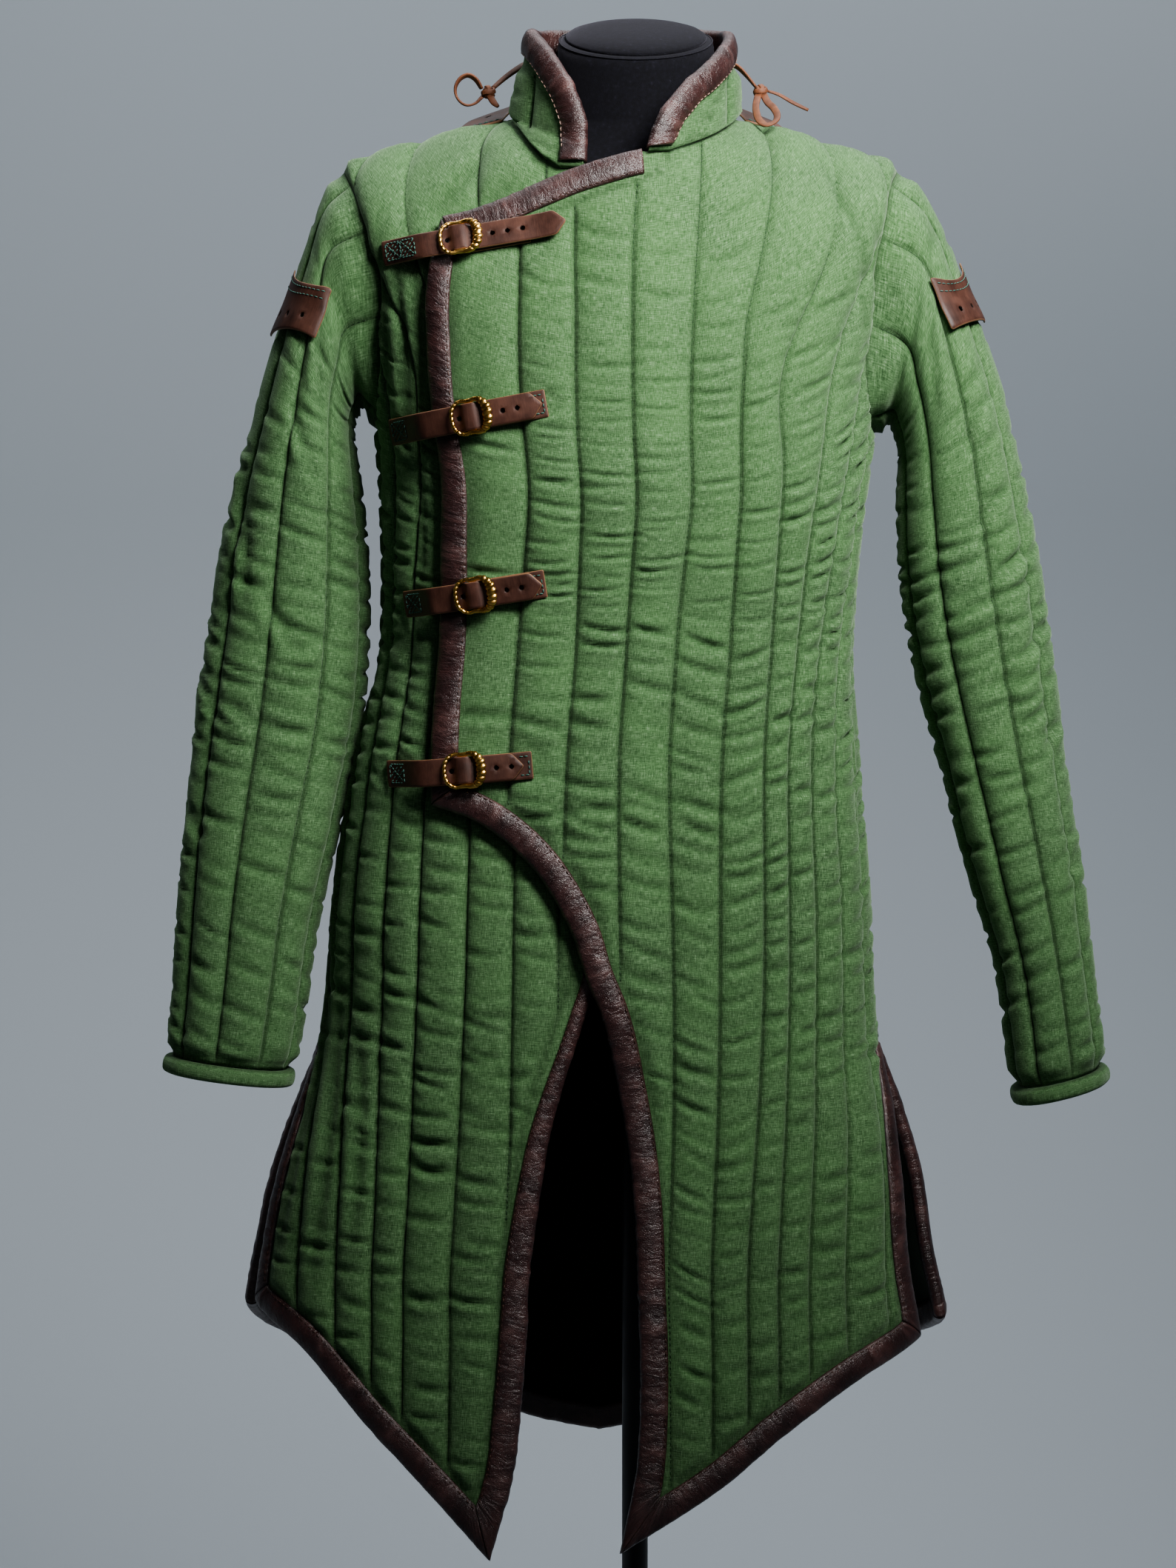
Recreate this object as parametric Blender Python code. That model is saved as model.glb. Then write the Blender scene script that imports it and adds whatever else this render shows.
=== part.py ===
"""A quilted gambeson standing on a limbless dress form.

Metres, +Z up.  The stand's axis is x = 0, y = 0, the floor is z = 0 and the coat faces -Y.
The coat is worked out on one surface, the inner face of its cloth.  A place on it is
(round, down): the cloth distance round from the front's centre line, positive towards +X,
and the cloth distance down from the neck seam.
"""
import math

import bpy
import numpy as np
from mathutils import Vector
from mathutils.geometry import delaunay_2d_cdt

# ------------------------------------------------------------------ driving sizes

GAP = 0.0004            # between pieces that touch
PAD = 0.0080            # padded wall at a channel's crown
LINE_WALL = 0.0035      # padded wall under a quilting line
EDGE_WALL = 0.0045      # wall inside a binding
PRESSED = 0.0050        # the underlap's thickness where the overlap presses on it
LAP_LIFT = 0.0115       # how far the overlap lies outside the underlap
BINDING = 0.017         # width of the leather binding
LEATHER = 0.0018        # its thickness
STATION = 0.030         # spacing of the points along an edge
# the rows of points, down from the neck seam, and up the collar
ROWS = (0.022, 0.050, 0.085, 0.120, 0.165, 0.215, 0.270, 0.335, 0.400, 0.470, 0.540, 0.610, 0.680, 0.750,
        0.820, 0.885, 0.950, 1.015, 1.065)
COLLAR_GRID = (-0.014, -0.030, -0.042)
NECK_FADE = 0.024       # the wall thins towards the collar over this distance
VENT_TOP = 0.765        # where the side vents begin, down from the neck seam
ARMPIT = 0.318          # where the side seams begin
SHOULDER = 0.125        # where the shoulder seams end

# The coat's outside, row by row.  drop: distance down from the neck seam; the z columns: height at
# the side, front and back; mid: centre across; half: half width; front, back: depth from the axis;
# square: 2 is an ellipse, more is squarer
BODY_ROWS = (
    # drop, z_side, z_front, z_back, mid, half, front, back, square
    (0.000, 1.500, 1.478, 1.512, -0.008, 0.083, 0.098, 0.058, 2.0),
    (0.040, 1.490, 1.434, 1.490, -0.010, 0.122, 0.112, 0.085, 2.1),
    (0.082, 1.479, 1.393, 1.456, -0.011, 0.163, 0.122, 0.103, 2.2),
    (0.125, 1.464, 1.356, 1.415, -0.011, 0.205, 0.130, 0.115, 2.3),
    (0.175, 1.415, 1.318, 1.370, -0.011, 0.198, 0.136, 0.122, 2.4),
    (0.245, 1.347, 1.272, 1.310, -0.010, 0.189, 0.139, 0.124, 2.5),
    (0.315, 1.278, 1.228, 1.250, -0.008, 0.181, 0.139, 0.122, 2.6),
    (0.375, 1.218, 1.190, 1.200, -0.010, 0.175, 0.135, 0.114, 2.8),
    (0.430, 1.165, 1.155, 1.157, -0.012, 0.172, 0.131, 0.108, 2.9),
    (0.485, 1.110, 1.110, 1.110, -0.015, 0.172, 0.130, 0.108, 3.0),
    (0.550, 1.045, 1.045, 1.045, -0.021, 0.183, 0.134, 0.116, 3.0),
    (0.660, 0.935, 0.935, 0.935, -0.025, 0.196, 0.144, 0.134, 2.9),
    (0.763, 0.832, 0.832, 0.832, -0.025, 0.204, 0.153, 0.150, 2.8),
    (0.810, 0.785, 0.785, 0.785, -0.025, 0.221, 0.157, 0.157, 2.7),
    (0.860, 0.735, 0.735, 0.735, -0.026, 0.237, 0.162, 0.165, 2.6),
    (0.920, 0.675, 0.675, 0.675, -0.027, 0.247, 0.168, 0.174, 2.5),
    (0.960, 0.635, 0.635, 0.635, -0.026, 0.255, 0.172, 0.180, 2.5),
    (1.120, 0.475, 0.475, 0.475, -0.026, 0.270, 0.184, 0.196, 2.4),
)

# How much wider the coat's left side stands than its right, as a share, at these distances down
LEFT_FLARE = ((0.000, 0.000), (0.700, 0.000), (0.763, 0.016), (0.810, 0.020), (0.860, 0.024), (0.920, 0.034),
              (1.120, 0.036))

# Quilting lines: how far each lies from the front's centre line at these distances down
LINE_DOWN = (0.00, 0.06, 0.13, 0.19, 0.295, 0.485, 0.69, 0.90, 1.12)
OVERLAP_LINES = (
    (-0.160, -0.165, -0.170, -0.170, -0.170, -0.170, -0.170, -0.170, -0.170),
    (-0.066, -0.070, -0.071, -0.070, -0.066, -0.068, -0.064, -0.064, -0.060),
    (-0.030, -0.032, -0.032, -0.032, -0.031, -0.029, -0.027, -0.025, -0.022),
    (+0.010, +0.008, +0.007, +0.007, +0.007, +0.006, +0.013, +0.015, +0.018),
    (+0.060, +0.055, +0.050, +0.048, +0.046, +0.041, +0.050, +0.049, +0.049),
    (+0.165, +0.123, +0.092, +0.086, +0.081, +0.079, +0.083, +0.079, +0.078),
    (+0.290, +0.225, +0.155, +0.120, +0.113, +0.109, +0.115, +0.105, +0.103),
    (+0.360, +0.300, +0.235, +0.180, +0.148, +0.129, +0.134, +0.127, +0.125),
    (+0.430, +0.370, +0.300, +0.235, +0.185, +0.149, +0.156, +0.150, +0.148),
    (+0.500, +0.440, +0.360, +0.290, +0.222, +0.174, +0.182, +0.179, +0.178),
    (+0.570, +0.510, +0.420, +0.340, +0.260, +0.205, +0.215, +0.215, +0.218),
    (+0.640, +0.580, +0.480, +0.390, +0.300, +0.240, +0.250, +0.252, +0.260),
    (+0.710, +0.650, +0.540, +0.440, +0.340, +0.280, +0.295, +0.300, +0.310),
)
UNDERLAP_LINES = (
    (+0.030, +0.030, +0.030, +0.030, +0.030, +0.030, +0.030, +0.030, +0.030),
    (-0.030, -0.030, -0.030, -0.030, -0.030, -0.030, -0.030, -0.030, -0.030),
    (-0.058, -0.056, -0.054, -0.055, -0.060, -0.062, -0.062, -0.064, -0.066),
    (-0.150, -0.115, -0.092, -0.090, -0.092, -0.094, -0.095, -0.101, -0.105),
    (-0.290, -0.225, -0.155, -0.125, -0.125, -0.127, -0.130, -0.134, -0.138),
    (-0.360, -0.300, -0.235, -0.170, -0.155, -0.152, -0.158, -0.157, -0.160),
    (-0.430, -0.370, -0.300, -0.225, -0.190, -0.180, -0.190, -0.185, -0.190),
    (-0.500, -0.440, -0.370, -0.280, -0.225, -0.212, -0.225, -0.219, -0.222),
    (-0.570, -0.510, -0.440, -0.330, -0.260, -0.245, -0.257, -0.255, -0.262),
    (-0.640, -0.580, -0.510, -0.380, -0.300, -0.285, -0.292, -0.292, -0.302),
    (-0.710, -0.650, -0.580, -0.430, -0.340, -0.330, -0.330, -0.335, -0.345),
)
BACK_PITCH = 0.040      # the back's lines stand this far apart, either side of its centre
COLLAR_LINES = np.array([-0.02, 0.092, 0.150, 0.205, 0.271, 0.326, 0.384, 0.52])

# The armholes: how far the seam lies in from the side line, at each distance down
ARMHOLE_ROWS = (
    # down, front_right, front_left, back
    (0.125, 0.000, 0.000, 0.000),
    (0.127, 0.050, 0.058, 0.045),
    (0.145, 0.067, 0.088, 0.060),
    (0.180, 0.065, 0.086, 0.062),
    (0.215, 0.064, 0.075, 0.060),
    (0.255, 0.062, 0.062, 0.055),
    (0.290, 0.052, 0.047, 0.042),
    (0.310, 0.025, 0.022, 0.020),
    (0.318, 0.000, 0.000, 0.000),
)

# The neck seam hangs below the neck's ring at the front: how far, at these distances round
NECK_DROP = ((-0.138, 0.0000), (-0.120, 0.0030), (-0.100, 0.0060), (-0.080, 0.0115), (-0.060, 0.0180),
             (-0.045, 0.0205), (-0.036, 0.0190), (-0.028, 0.0165), (-0.020, 0.0165), (0.0107, 0.0088),
             (0.0235, 0.0100), (0.030, 0.0090), (0.040, 0.0070), (0.050, 0.0050), (0.060, 0.0048),
             (0.075, 0.0045), (0.100, 0.0035), (0.138, 0.0000))

# Free edges of the panels, as (round, down)
NECKLINE = ((0.0107, 0.0088), (0.0031, 0.0102), (-0.0105, 0.0145), (-0.0323, 0.0243), (-0.0617, 0.0428),
            (-0.0878, 0.0620), (-0.1090, 0.0772), (-0.1360, 0.0955))
CLOSING_EDGE = ((-0.1360, 0.0955), (-0.1385, 0.130), (-0.1375, 0.170), (-0.1335, 0.235), (-0.1265, 0.300),
                (-0.1225, 0.370), (-0.1195, 0.455), (-0.1195, 0.513), (-0.1165, 0.581))
SWEEP = ((-0.1165, 0.581), (-0.0920, 0.589), (-0.068, 0.604), (-0.047, 0.624), (-0.029, 0.650),
         (-0.017, 0.674), (-0.009, 0.700), (0.003, 0.731), (0.015, 0.786), (0.023, 0.834),
         (0.028, 0.882), (0.030, 0.942), (0.030, 1.000), (0.027, 1.050), (0.017, 1.100))
HEM_OVERLAP = ((0.017, 1.100), (0.085, 1.057), (0.128, 1.023), (0.187, 0.987), (0.247, 0.965))
VENT_OVERLAP = ((0.247, 0.965), (0.241, 0.920), (0.236, 0.870), (0.239, 0.815), (0.258, VENT_TOP))
LAP_OUTLINE = NECKLINE + CLOSING_EDGE[1:] + SWEEP[1:8] + ((0.050, 0.740), (0.050, 0.000))
UNDERLAP_EDGE = ((-0.020, 0.0165), (-0.020, 0.180), (-0.020, 0.420), (-0.018, 0.580), (-0.003, 0.692),
                 (-0.014, 0.734), (-0.026, 0.772), (-0.037, 0.812), (-0.043, 0.854), (-0.048, 0.898),
                 (-0.051, 0.944), (-0.055, 0.990), (-0.061, 1.048), (-0.076, 1.106))
HEM_UNDERLAP = ((-0.076, 1.106), (-0.112, 1.066), (-0.158, 1.020), (-0.215, 0.966), (-0.273, 0.944))
VENT_UNDERLAP = ((-0.273, 0.944), (-0.270, 0.905), (-0.266, 0.870), (-0.261, 0.832), (-0.260, 0.800),
                 (-0.270, VENT_TOP))
# the back's edges are measured from its own centre line, the same on both sides but for the vents
HEM_BACK = ((0.000, 1.085), (0.050, 1.074), (0.110, 1.046), (0.225, 1.004))
VENT_BACK_LEFT = ((0.332, 0.958), (0.318, 0.905), (0.307, 0.855), (0.298, 0.812), (0.287, VENT_TOP))
VENT_BACK_RIGHT = ((0.350, 0.966), (0.332, 0.905), (0.316, 0.855), (0.302, 0.812), (0.287, VENT_TOP))


# ------------------------------------------------------------------ curves and surfaces

def smooth(x, xs, ys):
    """Value at x of the smooth curve through the points xs, ys."""
    xs, ys, x = np.asarray(xs, float), np.asarray(ys, float), np.asarray(x, float)
    steps = np.diff(ys) / np.diff(xs)
    slope = np.concatenate([steps[:1], (steps[:-1] + steps[1:]) / 2, steps[-1:]])
    k = np.clip(np.searchsorted(xs, x) - 1, 0, len(xs) - 2)
    wide = xs[k + 1] - xs[k]
    t = np.clip((x - xs[k]) / wide, 0, 1)
    return ((2 * t**3 - 3 * t**2 + 1) * ys[k] + (t**3 - 2 * t**2 + t) * wide * slope[k]
            + (3 * t**2 - 2 * t**3) * ys[k + 1] + (t**3 - t**2) * wide * slope[k + 1])


def step(x, low, high):
    """0 below low, 1 above high, smooth between; low may be the larger one."""
    t = np.clip((np.asarray(x, float) - low) / (high - low), 0, 1)
    return t * t * (3 - 2 * t)


def resample(points, spacing):
    """Even points along the smooth curve through the given ones, both ends kept."""
    p = np.asarray(points, float)
    along = np.concatenate([[0], np.cumsum(np.linalg.norm(np.diff(p, axis=0), axis=1))])
    dense = np.linspace(0, along[-1], 400)
    curve = np.stack([smooth(dense, along, p[:, k]) for k in range(p.shape[1])], axis=1)
    along = np.concatenate([[0], np.cumsum(np.linalg.norm(np.diff(curve, axis=0), axis=1))])
    count = max(2, int(round(along[-1] / spacing)) + 1)
    places = np.linspace(0, along[-1], count)
    return np.stack([np.interp(places, along, curve[:, k]) for k in range(p.shape[1])], axis=1)


LEVELS = np.linspace(0, BODY_ROWS[-1][0], 225)
TURN = np.radians(np.linspace(0, 180, 241))


def ring_table():
    """Half of each level's ring, from the front's centre to the back's, and the length along it."""
    rows = np.array(BODY_ROWS)
    z_side, z_front, z_back, mid, half, front, back, square = (
        smooth(LEVELS, rows[:, 0], rows[:, k])[:, None] for k in range(1, 9))
    power = 2 / square
    ahead, behind = np.maximum(np.cos(TURN), 0), np.maximum(-np.cos(TURN), 0)
    across = (half - PAD) * np.sin(TURN)**power
    depth = (back - PAD) * behind**power - (front - PAD) * ahead**power
    height = z_side + (z_front - z_side) * ahead**1.5 + (z_back - z_side) * behind**1.5
    piece = np.sqrt(np.diff(across)**2 + np.diff(depth)**2 + np.diff(height)**2)
    length = np.concatenate([np.zeros((len(LEVELS), 1)), np.cumsum(piece, axis=1)], axis=1)
    return mid[:, 0], across, depth, height, length


MID, ACROSS, DEPTH, HEIGHT, LENGTH = ring_table()
SIDE_LENGTH, WHOLE_LENGTH = LENGTH[:, 120], LENGTH[:, -1]
LEFT_SHARE = 1 + np.interp(LEVELS, *np.array(LEFT_FLARE).T)


def side(down):
    """Distance round from the front's centre line to the side line."""
    return np.interp(down, LEVELS, SIDE_LENGTH)


def whole(down):
    """Distance round from the front's centre line to the back's."""
    return np.interp(down, LEVELS, WHOLE_LENGTH)


def skin(s, h):
    """Points of the cloth's inner face at s round and h down."""
    s, h = np.asarray(s, float), np.asarray(h, float)
    shape = np.broadcast(s, h).shape
    s, h = np.broadcast_to(s, shape).ravel(), np.broadcast_to(h, shape).ravel()
    place = np.clip(h / LEVELS[-1], 0, 1) * (len(LEVELS) - 1)
    low = np.minimum(place.astype(int), len(LEVELS) - 2)
    part = place - low
    out = np.zeros((len(s), 3))
    for k in np.unique(low):
        pick = low == k
        for row, weight in ((k, 1 - part[pick]), (k + 1, part[pick])):
            a = np.abs(s[pick])
            past = a > WHOLE_LENGTH[row]
            a = np.where(past, 2 * WHOLE_LENGTH[row] - a, a)
            sign = np.where(past, -1, 1) * np.where(s[pick] < 0, -1, 1)
            wide = np.where(sign < 0, -LEFT_SHARE[row], 1.0)
            out[pick, 0] += weight * (MID[row] + wide * np.interp(a, LENGTH[row], ACROSS[row]))
            out[pick, 1] += weight * np.interp(a, LENGTH[row], DEPTH[row])
            out[pick, 2] += weight * np.interp(a, LENGTH[row], HEIGHT[row])
    above = h < 0
    if above.any():
        start = skin(s[above], 0.0)
        out[above] = start + (skin(s[above], 0.004) - start) * (h[above] / 0.004)[:, None]
    return out.reshape(shape + (3,))


def unit(v):
    return v / np.maximum(np.linalg.norm(v, axis=-1, keepdims=True), 1e-9)


def normal(s, h, reach=0.004):
    """Direction out of the cloth."""
    s, h = np.asarray(s, float), np.asarray(h, float)
    across = skin(s + reach, h) - skin(s - reach, h)
    down = skin(s, h + reach) - skin(s, h - reach)
    return unit(np.cross(down, across))


def on_coat(s, h, out):
    return skin(s, h) + normal(s, np.maximum(h, 0.004)) * np.asarray(out, float)[..., None]


def either_side(s):
    """Distances round from the front's centre line, negative past the back's."""
    return np.where(s > whole(0.0), s - 2 * whole(0.0), s)


def neck_drop(s):
    """How far the neck seam hangs below the neck's ring."""
    return np.interp(either_side(s), *np.array(NECK_DROP).T)


def collar_foot(s, below=0.0):
    """Where the collar's inner face stands on the coat's neck, and lies on the coat below the ring."""
    over = LAP_LIFT * step(s, 0.058, 0.006)
    return on_coat(either_side(s), np.full_like(s, 0.001) + below, over + LINE_WALL + 2.6 * GAP)


def on_collar(s, up, out):
    """Points of the collar, up from the neck's ring and out from its inner face."""
    s, up = (v.astype(float) for v in np.broadcast_arrays(s, up))
    foot = collar_foot(s)
    run = unit(collar_foot(s + 0.003) - collar_foot(s - 0.003))
    corner = np.abs(foot[..., 0] + 0.008) * np.abs(foot[..., 1]) / (0.055 * 0.045)
    less = 1 - 0.6 * np.clip(corner, 0, 1)
    lean = np.stack([0.046 - 2.4 * foot[..., 0] * less, -0.8 * (foot[..., 1] + 0.010) * less,
                     np.ones_like(s)], axis=-1)
    face = unit(np.cross(run, np.broadcast_to((0.0, 0.0, 1.0), run.shape)))
    rise = unit(lean)
    below = np.maximum(-up, 0.0)
    laid = np.clip(below / 0.008, 0, 1)[..., None]
    face = unit(face * (1 - laid) + normal(either_side(s), np.maximum(below, 0.004)) * laid)
    foot = collar_foot(s, below)
    return foot + rise * (np.maximum(up, 0.0) + 0.0005)[..., None] + face * np.asarray(out, float)[..., None]


def place(kind, s, h, out):
    """A point of any panel: the back's places are measured round from its own centre line, and
    the collar's have their height as a negative distance down."""
    if kind == "collar":
        return on_collar(s, -np.asarray(h, float), out)
    if kind == "back":
        return on_coat(s + whole(h), h, out)
    return on_coat(s, h, out)


def on_front(x, z, level, out):
    """Points out from the coat's inner face, over the places where the surface that lies level out
    from it has x and z as seen from -Y."""
    x, z, level = np.broadcast_arrays(*(np.asarray(v, float) for v in (x, z, level)))
    s, h = x.copy(), np.interp(-z, [-1.5, -1.11, -0.45], [0.0, 0.485, 1.11]).astype(float)
    e = 0.0005
    for _ in range(24):
        p = on_coat(s, h, level)
        ds, dh = (on_coat(s + e, h, level) - p) / e, (on_coat(s, h + e, level) - p) / e
        a, b, c, d = ds[..., 0], dh[..., 0], ds[..., 2], dh[..., 2]
        det = a * d - b * c
        ex, ez = x - p[..., 0], z - p[..., 2]
        s = s + np.clip((d * ex - b * ez) / det, -0.02, 0.02)
        h = np.clip(h + np.clip((a * ez - c * ex) / det, -0.02, 0.02), 0, LEVELS[-1] - 0.001)
    return on_coat(s, h, out)


# ------------------------------------------------------------------ quilting

def line_places(lines, h):
    """Each quilting line's distance round at h, sorted from -X to +X."""
    places = np.array([smooth(h, LINE_DOWN, row) for row in lines])
    return np.sort(places, axis=0)


def lines_of(kind, h):
    h = np.atleast_1d(np.asarray(h, float))
    if kind == "back":
        return (np.arange(-10, 10) + 0.5)[:, None] * BACK_PITCH * np.ones_like(h)
    if kind == "collar":
        return COLLAR_LINES[:, None] * np.ones_like(h)
    return line_places(OVERLAP_LINES if kind == "overlap" else UNDERLAP_LINES, h)


def channel(kind, s, h):
    """How far across its channel each place is, from 0 at one line to 1 at the next."""
    places = lines_of(kind, h)
    out = np.zeros_like(s)
    for a, b in zip(places[:-1], places[1:]):
        out = np.where((s >= a) & (s < b), (s - a) / np.maximum(b - a, 1e-6), out)
    return out


def lift(kind, s, h):
    """How far a panel's inner face lies out from the coat's own inner face."""
    if kind != "overlap":
        return np.zeros_like(np.asarray(s, float))
    return LAP_LIFT * step(s, 0.058, 0.006) * step(h, 0.800, 0.720)


def edge_distance(points, edge):
    """Distance of each point from a line through points."""
    best = np.full(len(points), 1e9)
    for a, b in zip(edge[:-1], edge[1:]):
        d = b - a
        t = np.clip(((points - a) @ d) / max(d @ d, 1e-12), 0, 1)
        best = np.minimum(best, np.linalg.norm(points - a - t[:, None] * d, axis=1))
    return best


def wall(panel, points):
    """Thickness of the padded wall: full between the lines, flat inside a binding."""
    s, h = points[:, 0], points[:, 1]
    u = channel(panel["kind"], s, h)
    crown = np.sqrt(np.clip(np.sin(np.pi * u), 0, 1))
    thick = LINE_WALL + (PAD - LINE_WALL) * crown
    if panel["kind"] == "underlap":
        rim = np.array(LAP_OUTLINE)
        off = np.where(inside(points, rim), 0.0, edge_distance(points, rim[:-2]))
        thick += (np.minimum(thick, PRESSED) - thick) * step(off, 0.018, 0.003)
    for name, bound, edge, _ in panel["edges"]:
        away = edge_distance(points, edge)
        if bound:
            thick = EDGE_WALL + (thick - EDGE_WALL) * step(away, BINDING * 1.1, BINDING * 1.7)
        else:
            thick = LINE_WALL + (thick - LINE_WALL) * step(away, 0.0, NECK_FADE if name == "neck" else 0.010)
    return thick


# ------------------------------------------------------------------ meshes

def clear_scene():
    for ob in list(bpy.data.objects):
        bpy.data.objects.remove(ob, do_unlink=True)


def material(name, colour, roughness, metallic=0.0):
    mat = bpy.data.materials.get(name) or bpy.data.materials.new(name)
    mat.use_nodes = True
    shader = mat.node_tree.nodes["Principled BSDF"]
    shader.inputs["Base Color"].default_value = (*colour, 1)
    shader.inputs["Roughness"].default_value = roughness
    shader.inputs["Metallic"].default_value = metallic
    return mat


LINEN = ("linen", (0.075, 0.190, 0.065), 0.90)
BINDING_LEATHER = ("binding_leather", (0.050, 0.024, 0.024), 0.50)
STRAP_LEATHER = ("strap_leather", (0.095, 0.045, 0.032), 0.60)
LACE_LEATHER = ("lace_leather", (0.330, 0.140, 0.065), 0.65)
BRASS = ("brass", (0.720, 0.440, 0.130), 0.30, 1.0)
FORM_CLOTH = ("form_cloth", (0.012, 0.012, 0.018), 0.90)
STAND_STEEL = ("stand_steel", (0.030, 0.030, 0.032), 0.45, 1.0)


def add_mesh(name, verts, faces, look, sharp=40):
    mesh = bpy.data.meshes.new(name)
    mesh.from_pydata([tuple(map(float, v)) for v in verts], [], [tuple(map(int, f)) for f in faces])
    mesh.update()
    mesh.shade_smooth()
    mesh.set_sharp_from_angle(angle=math.radians(sharp))
    ob = bpy.data.objects.new(name, mesh)
    bpy.context.collection.objects.link(ob)
    mesh.materials.append(material(*look))
    return ob


def signed_volume(verts, faces):
    v = np.asarray(verts, float)
    total = 0.0
    for f in faces:
        for k in range(1, len(f) - 1):
            total += np.dot(v[f[0]], np.cross(v[f[k]], v[f[k + 1]]))
    return total / 6


def outward(verts, faces):
    """The faces, turned round if they point inwards."""
    if signed_volume(verts, faces) < 0:
        return [tuple(reversed(f)) for f in faces]
    return faces


def triangulate(outline, inner, ties=()):
    """Triangles over an outline and the points inside it; ties are edges that must stay."""
    count = len(outline)
    coords = [Vector((float(x), float(y))) for x, y in list(outline) + list(inner)]
    ties = [(a + count, b + count) for a, b in ties]
    verts, _, faces, origin, _, _ = delaunay_2d_cdt(coords, ties, [list(range(count))], 1, 1e-7)
    back = [min(group) if group else -1 for group in origin]
    return [tuple(back[k] for k in face) for face in faces]


def inside(points, outline):
    """Which points lie inside a closed outline."""
    x, y = points[:, 0], points[:, 1]
    odd = np.zeros(len(points), bool)
    for (x0, y0), (x1, y1) in zip(outline, np.roll(outline, -1, axis=0)):
        cross = (y0 > y) != (y1 > y)
        odd ^= cross & (x < (x1 - x0) * (y - y0) / (y1 - y0 + 1e-15) + x0)
    return odd


def crosses(a, b, outline):
    """Whether the line from a to b crosses an outline."""
    c, d = outline, np.roll(outline, -1, axis=0)

    def turn(p, q, r):
        return (q[..., 0] - p[..., 0]) * (r[..., 1] - p[..., 1]) - (q[..., 1] - p[..., 1]) * (r[..., 0] - p[..., 0])

    return ((turn(a, b, c) * turn(a, b, d) < 0) & (turn(c, d, a) * turn(c, d, b) < 0)).any()


def closed_outline(panel):
    return np.concatenate([edge[2][:-1] for edge in panel["edges"]])


def inner_outline(panel):
    """The outline with each bound edge drawn in to the inner line of its binding."""
    edges, points = panel["edges"], []
    for k, (name, bound, line, inner) in enumerate(edges):
        if bound:
            points.append(inner if not edges[k - 1][1] else inner[1:])
        else:
            before, after = edges[k - 1][3], edges[(k + 1) % len(edges)][3]
            start = 1 if before is None else 2 if np.allclose(line[1], before[-1]) else 0
            end = len(line) - (2 if after is not None and np.allclose(line[-2], after[0]) else 0)
            points.append(line[start:end])
    return np.concatenate(points)


def channel_grid(panel, outline):
    """Points of the outer face: along each quilting line and twice between lines, row by row."""
    rows = COLLAR_GRID if panel["kind"] == "collar" else ROWS
    points, ties, index, on_lines = [], [], {}, []
    for j, h in enumerate(rows):
        places = lines_of(panel["kind"], h)[:, 0]
        for k, (a, b) in enumerate(zip(places[:-1], places[1:])):
            for part in ((0, 1 / 4, 3 / 4) if b - a > 0.015 else (0,)):
                s = a + (b - a) * part
                index[(j, k, part)] = len(points)
                points.append((s, h))
                on_lines.append(part == 0)
    points = np.array(points)
    keep = inside(points, outline) & (edge_distance(points, np.vstack([outline, outline[:1]])) > 0.011)
    number = np.cumsum(keep) - 1
    for (j, k, part), here in index.items():
        below = index.get((j + 1, k, part))
        if below is not None and keep[here] and keep[below]:
            if not crosses(points[here], points[below], outline):
                ties.append((number[here], number[below]))
    return points[keep], ties, points[keep & np.array(on_lines)]


def layer(outline, inner, grid, ties, panel):
    """One face of a panel: points and triangles, flat strips under the bindings and the rest inside."""
    points = np.vstack([outline, inner, grid]) if len(grid) else np.vstack([outline, inner])
    start = len(outline)
    faces = [tuple(k + start for k in f) for f in triangulate(inner, grid, ties)]
    where = {(round(p[0], 6), round(p[1], 6)): k for k, p in reversed(list(enumerate(points[:start + len(inner)])))}

    def number(p, first):
        near = np.linalg.norm(points[first:start + len(inner)] - p, axis=1)
        return first + int(near.argmin())

    turn = np.sign(polygon_area(outline))
    for _, bound, line, line_in in panel["edges"]:
        if bound:
            out_ids = [number(p, 0) for p in line]
            in_ids = [number(p, start) for p in line_in]
            for k in range(len(line) - 1):
                pair = [(out_ids[k], out_ids[k + 1], in_ids[k + 1]), (out_ids[k], in_ids[k + 1], in_ids[k])]
                faces += pair if turn > 0 else [tuple(reversed(f)) for f in pair]
    return points, faces


def flat_wall(panel, points):
    """The wall's thickness, even under the bindings."""
    thick = wall(panel, points)
    for _, bound, line, line_in in panel["edges"]:
        if bound:
            for p in np.vstack([line, line_in]):
                thick[np.linalg.norm(points - p, axis=1) < 1e-6] = EDGE_WALL
    return thick


def cloth_panel(name, panel):
    """A padded panel: quilted outside, plain inside, closed round its outline."""
    kind = panel["kind"]
    outline, inner = closed_outline(panel), inner_outline(panel)
    grid, ties, plain = channel_grid(panel, inner)
    outer, faces = layer(outline, inner, grid, ties, panel)
    within, within_faces = layer(outline, inner, plain, (), panel)
    outside = place(kind, *outer.T, lift(kind, *outer.T) + flat_wall(panel, outer))
    inside_points = place(kind, *within.T, lift(kind, *within.T))
    start = len(outer)
    faces += [tuple(k + start for k in reversed(f)) for f in within_faces]
    order = np.sign(polygon_area(outline))
    count = len(outline)
    for k in range(count):
        n = (k + 1) % count
        quad = (k, k + start, n + start, n)
        faces.append(quad if order > 0 else tuple(reversed(quad)))
    verts = np.vstack([outside, inside_points])
    verts, faces = tidy(verts, faces)
    return add_mesh(name, verts, outward(verts, faces), LINEN)


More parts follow.
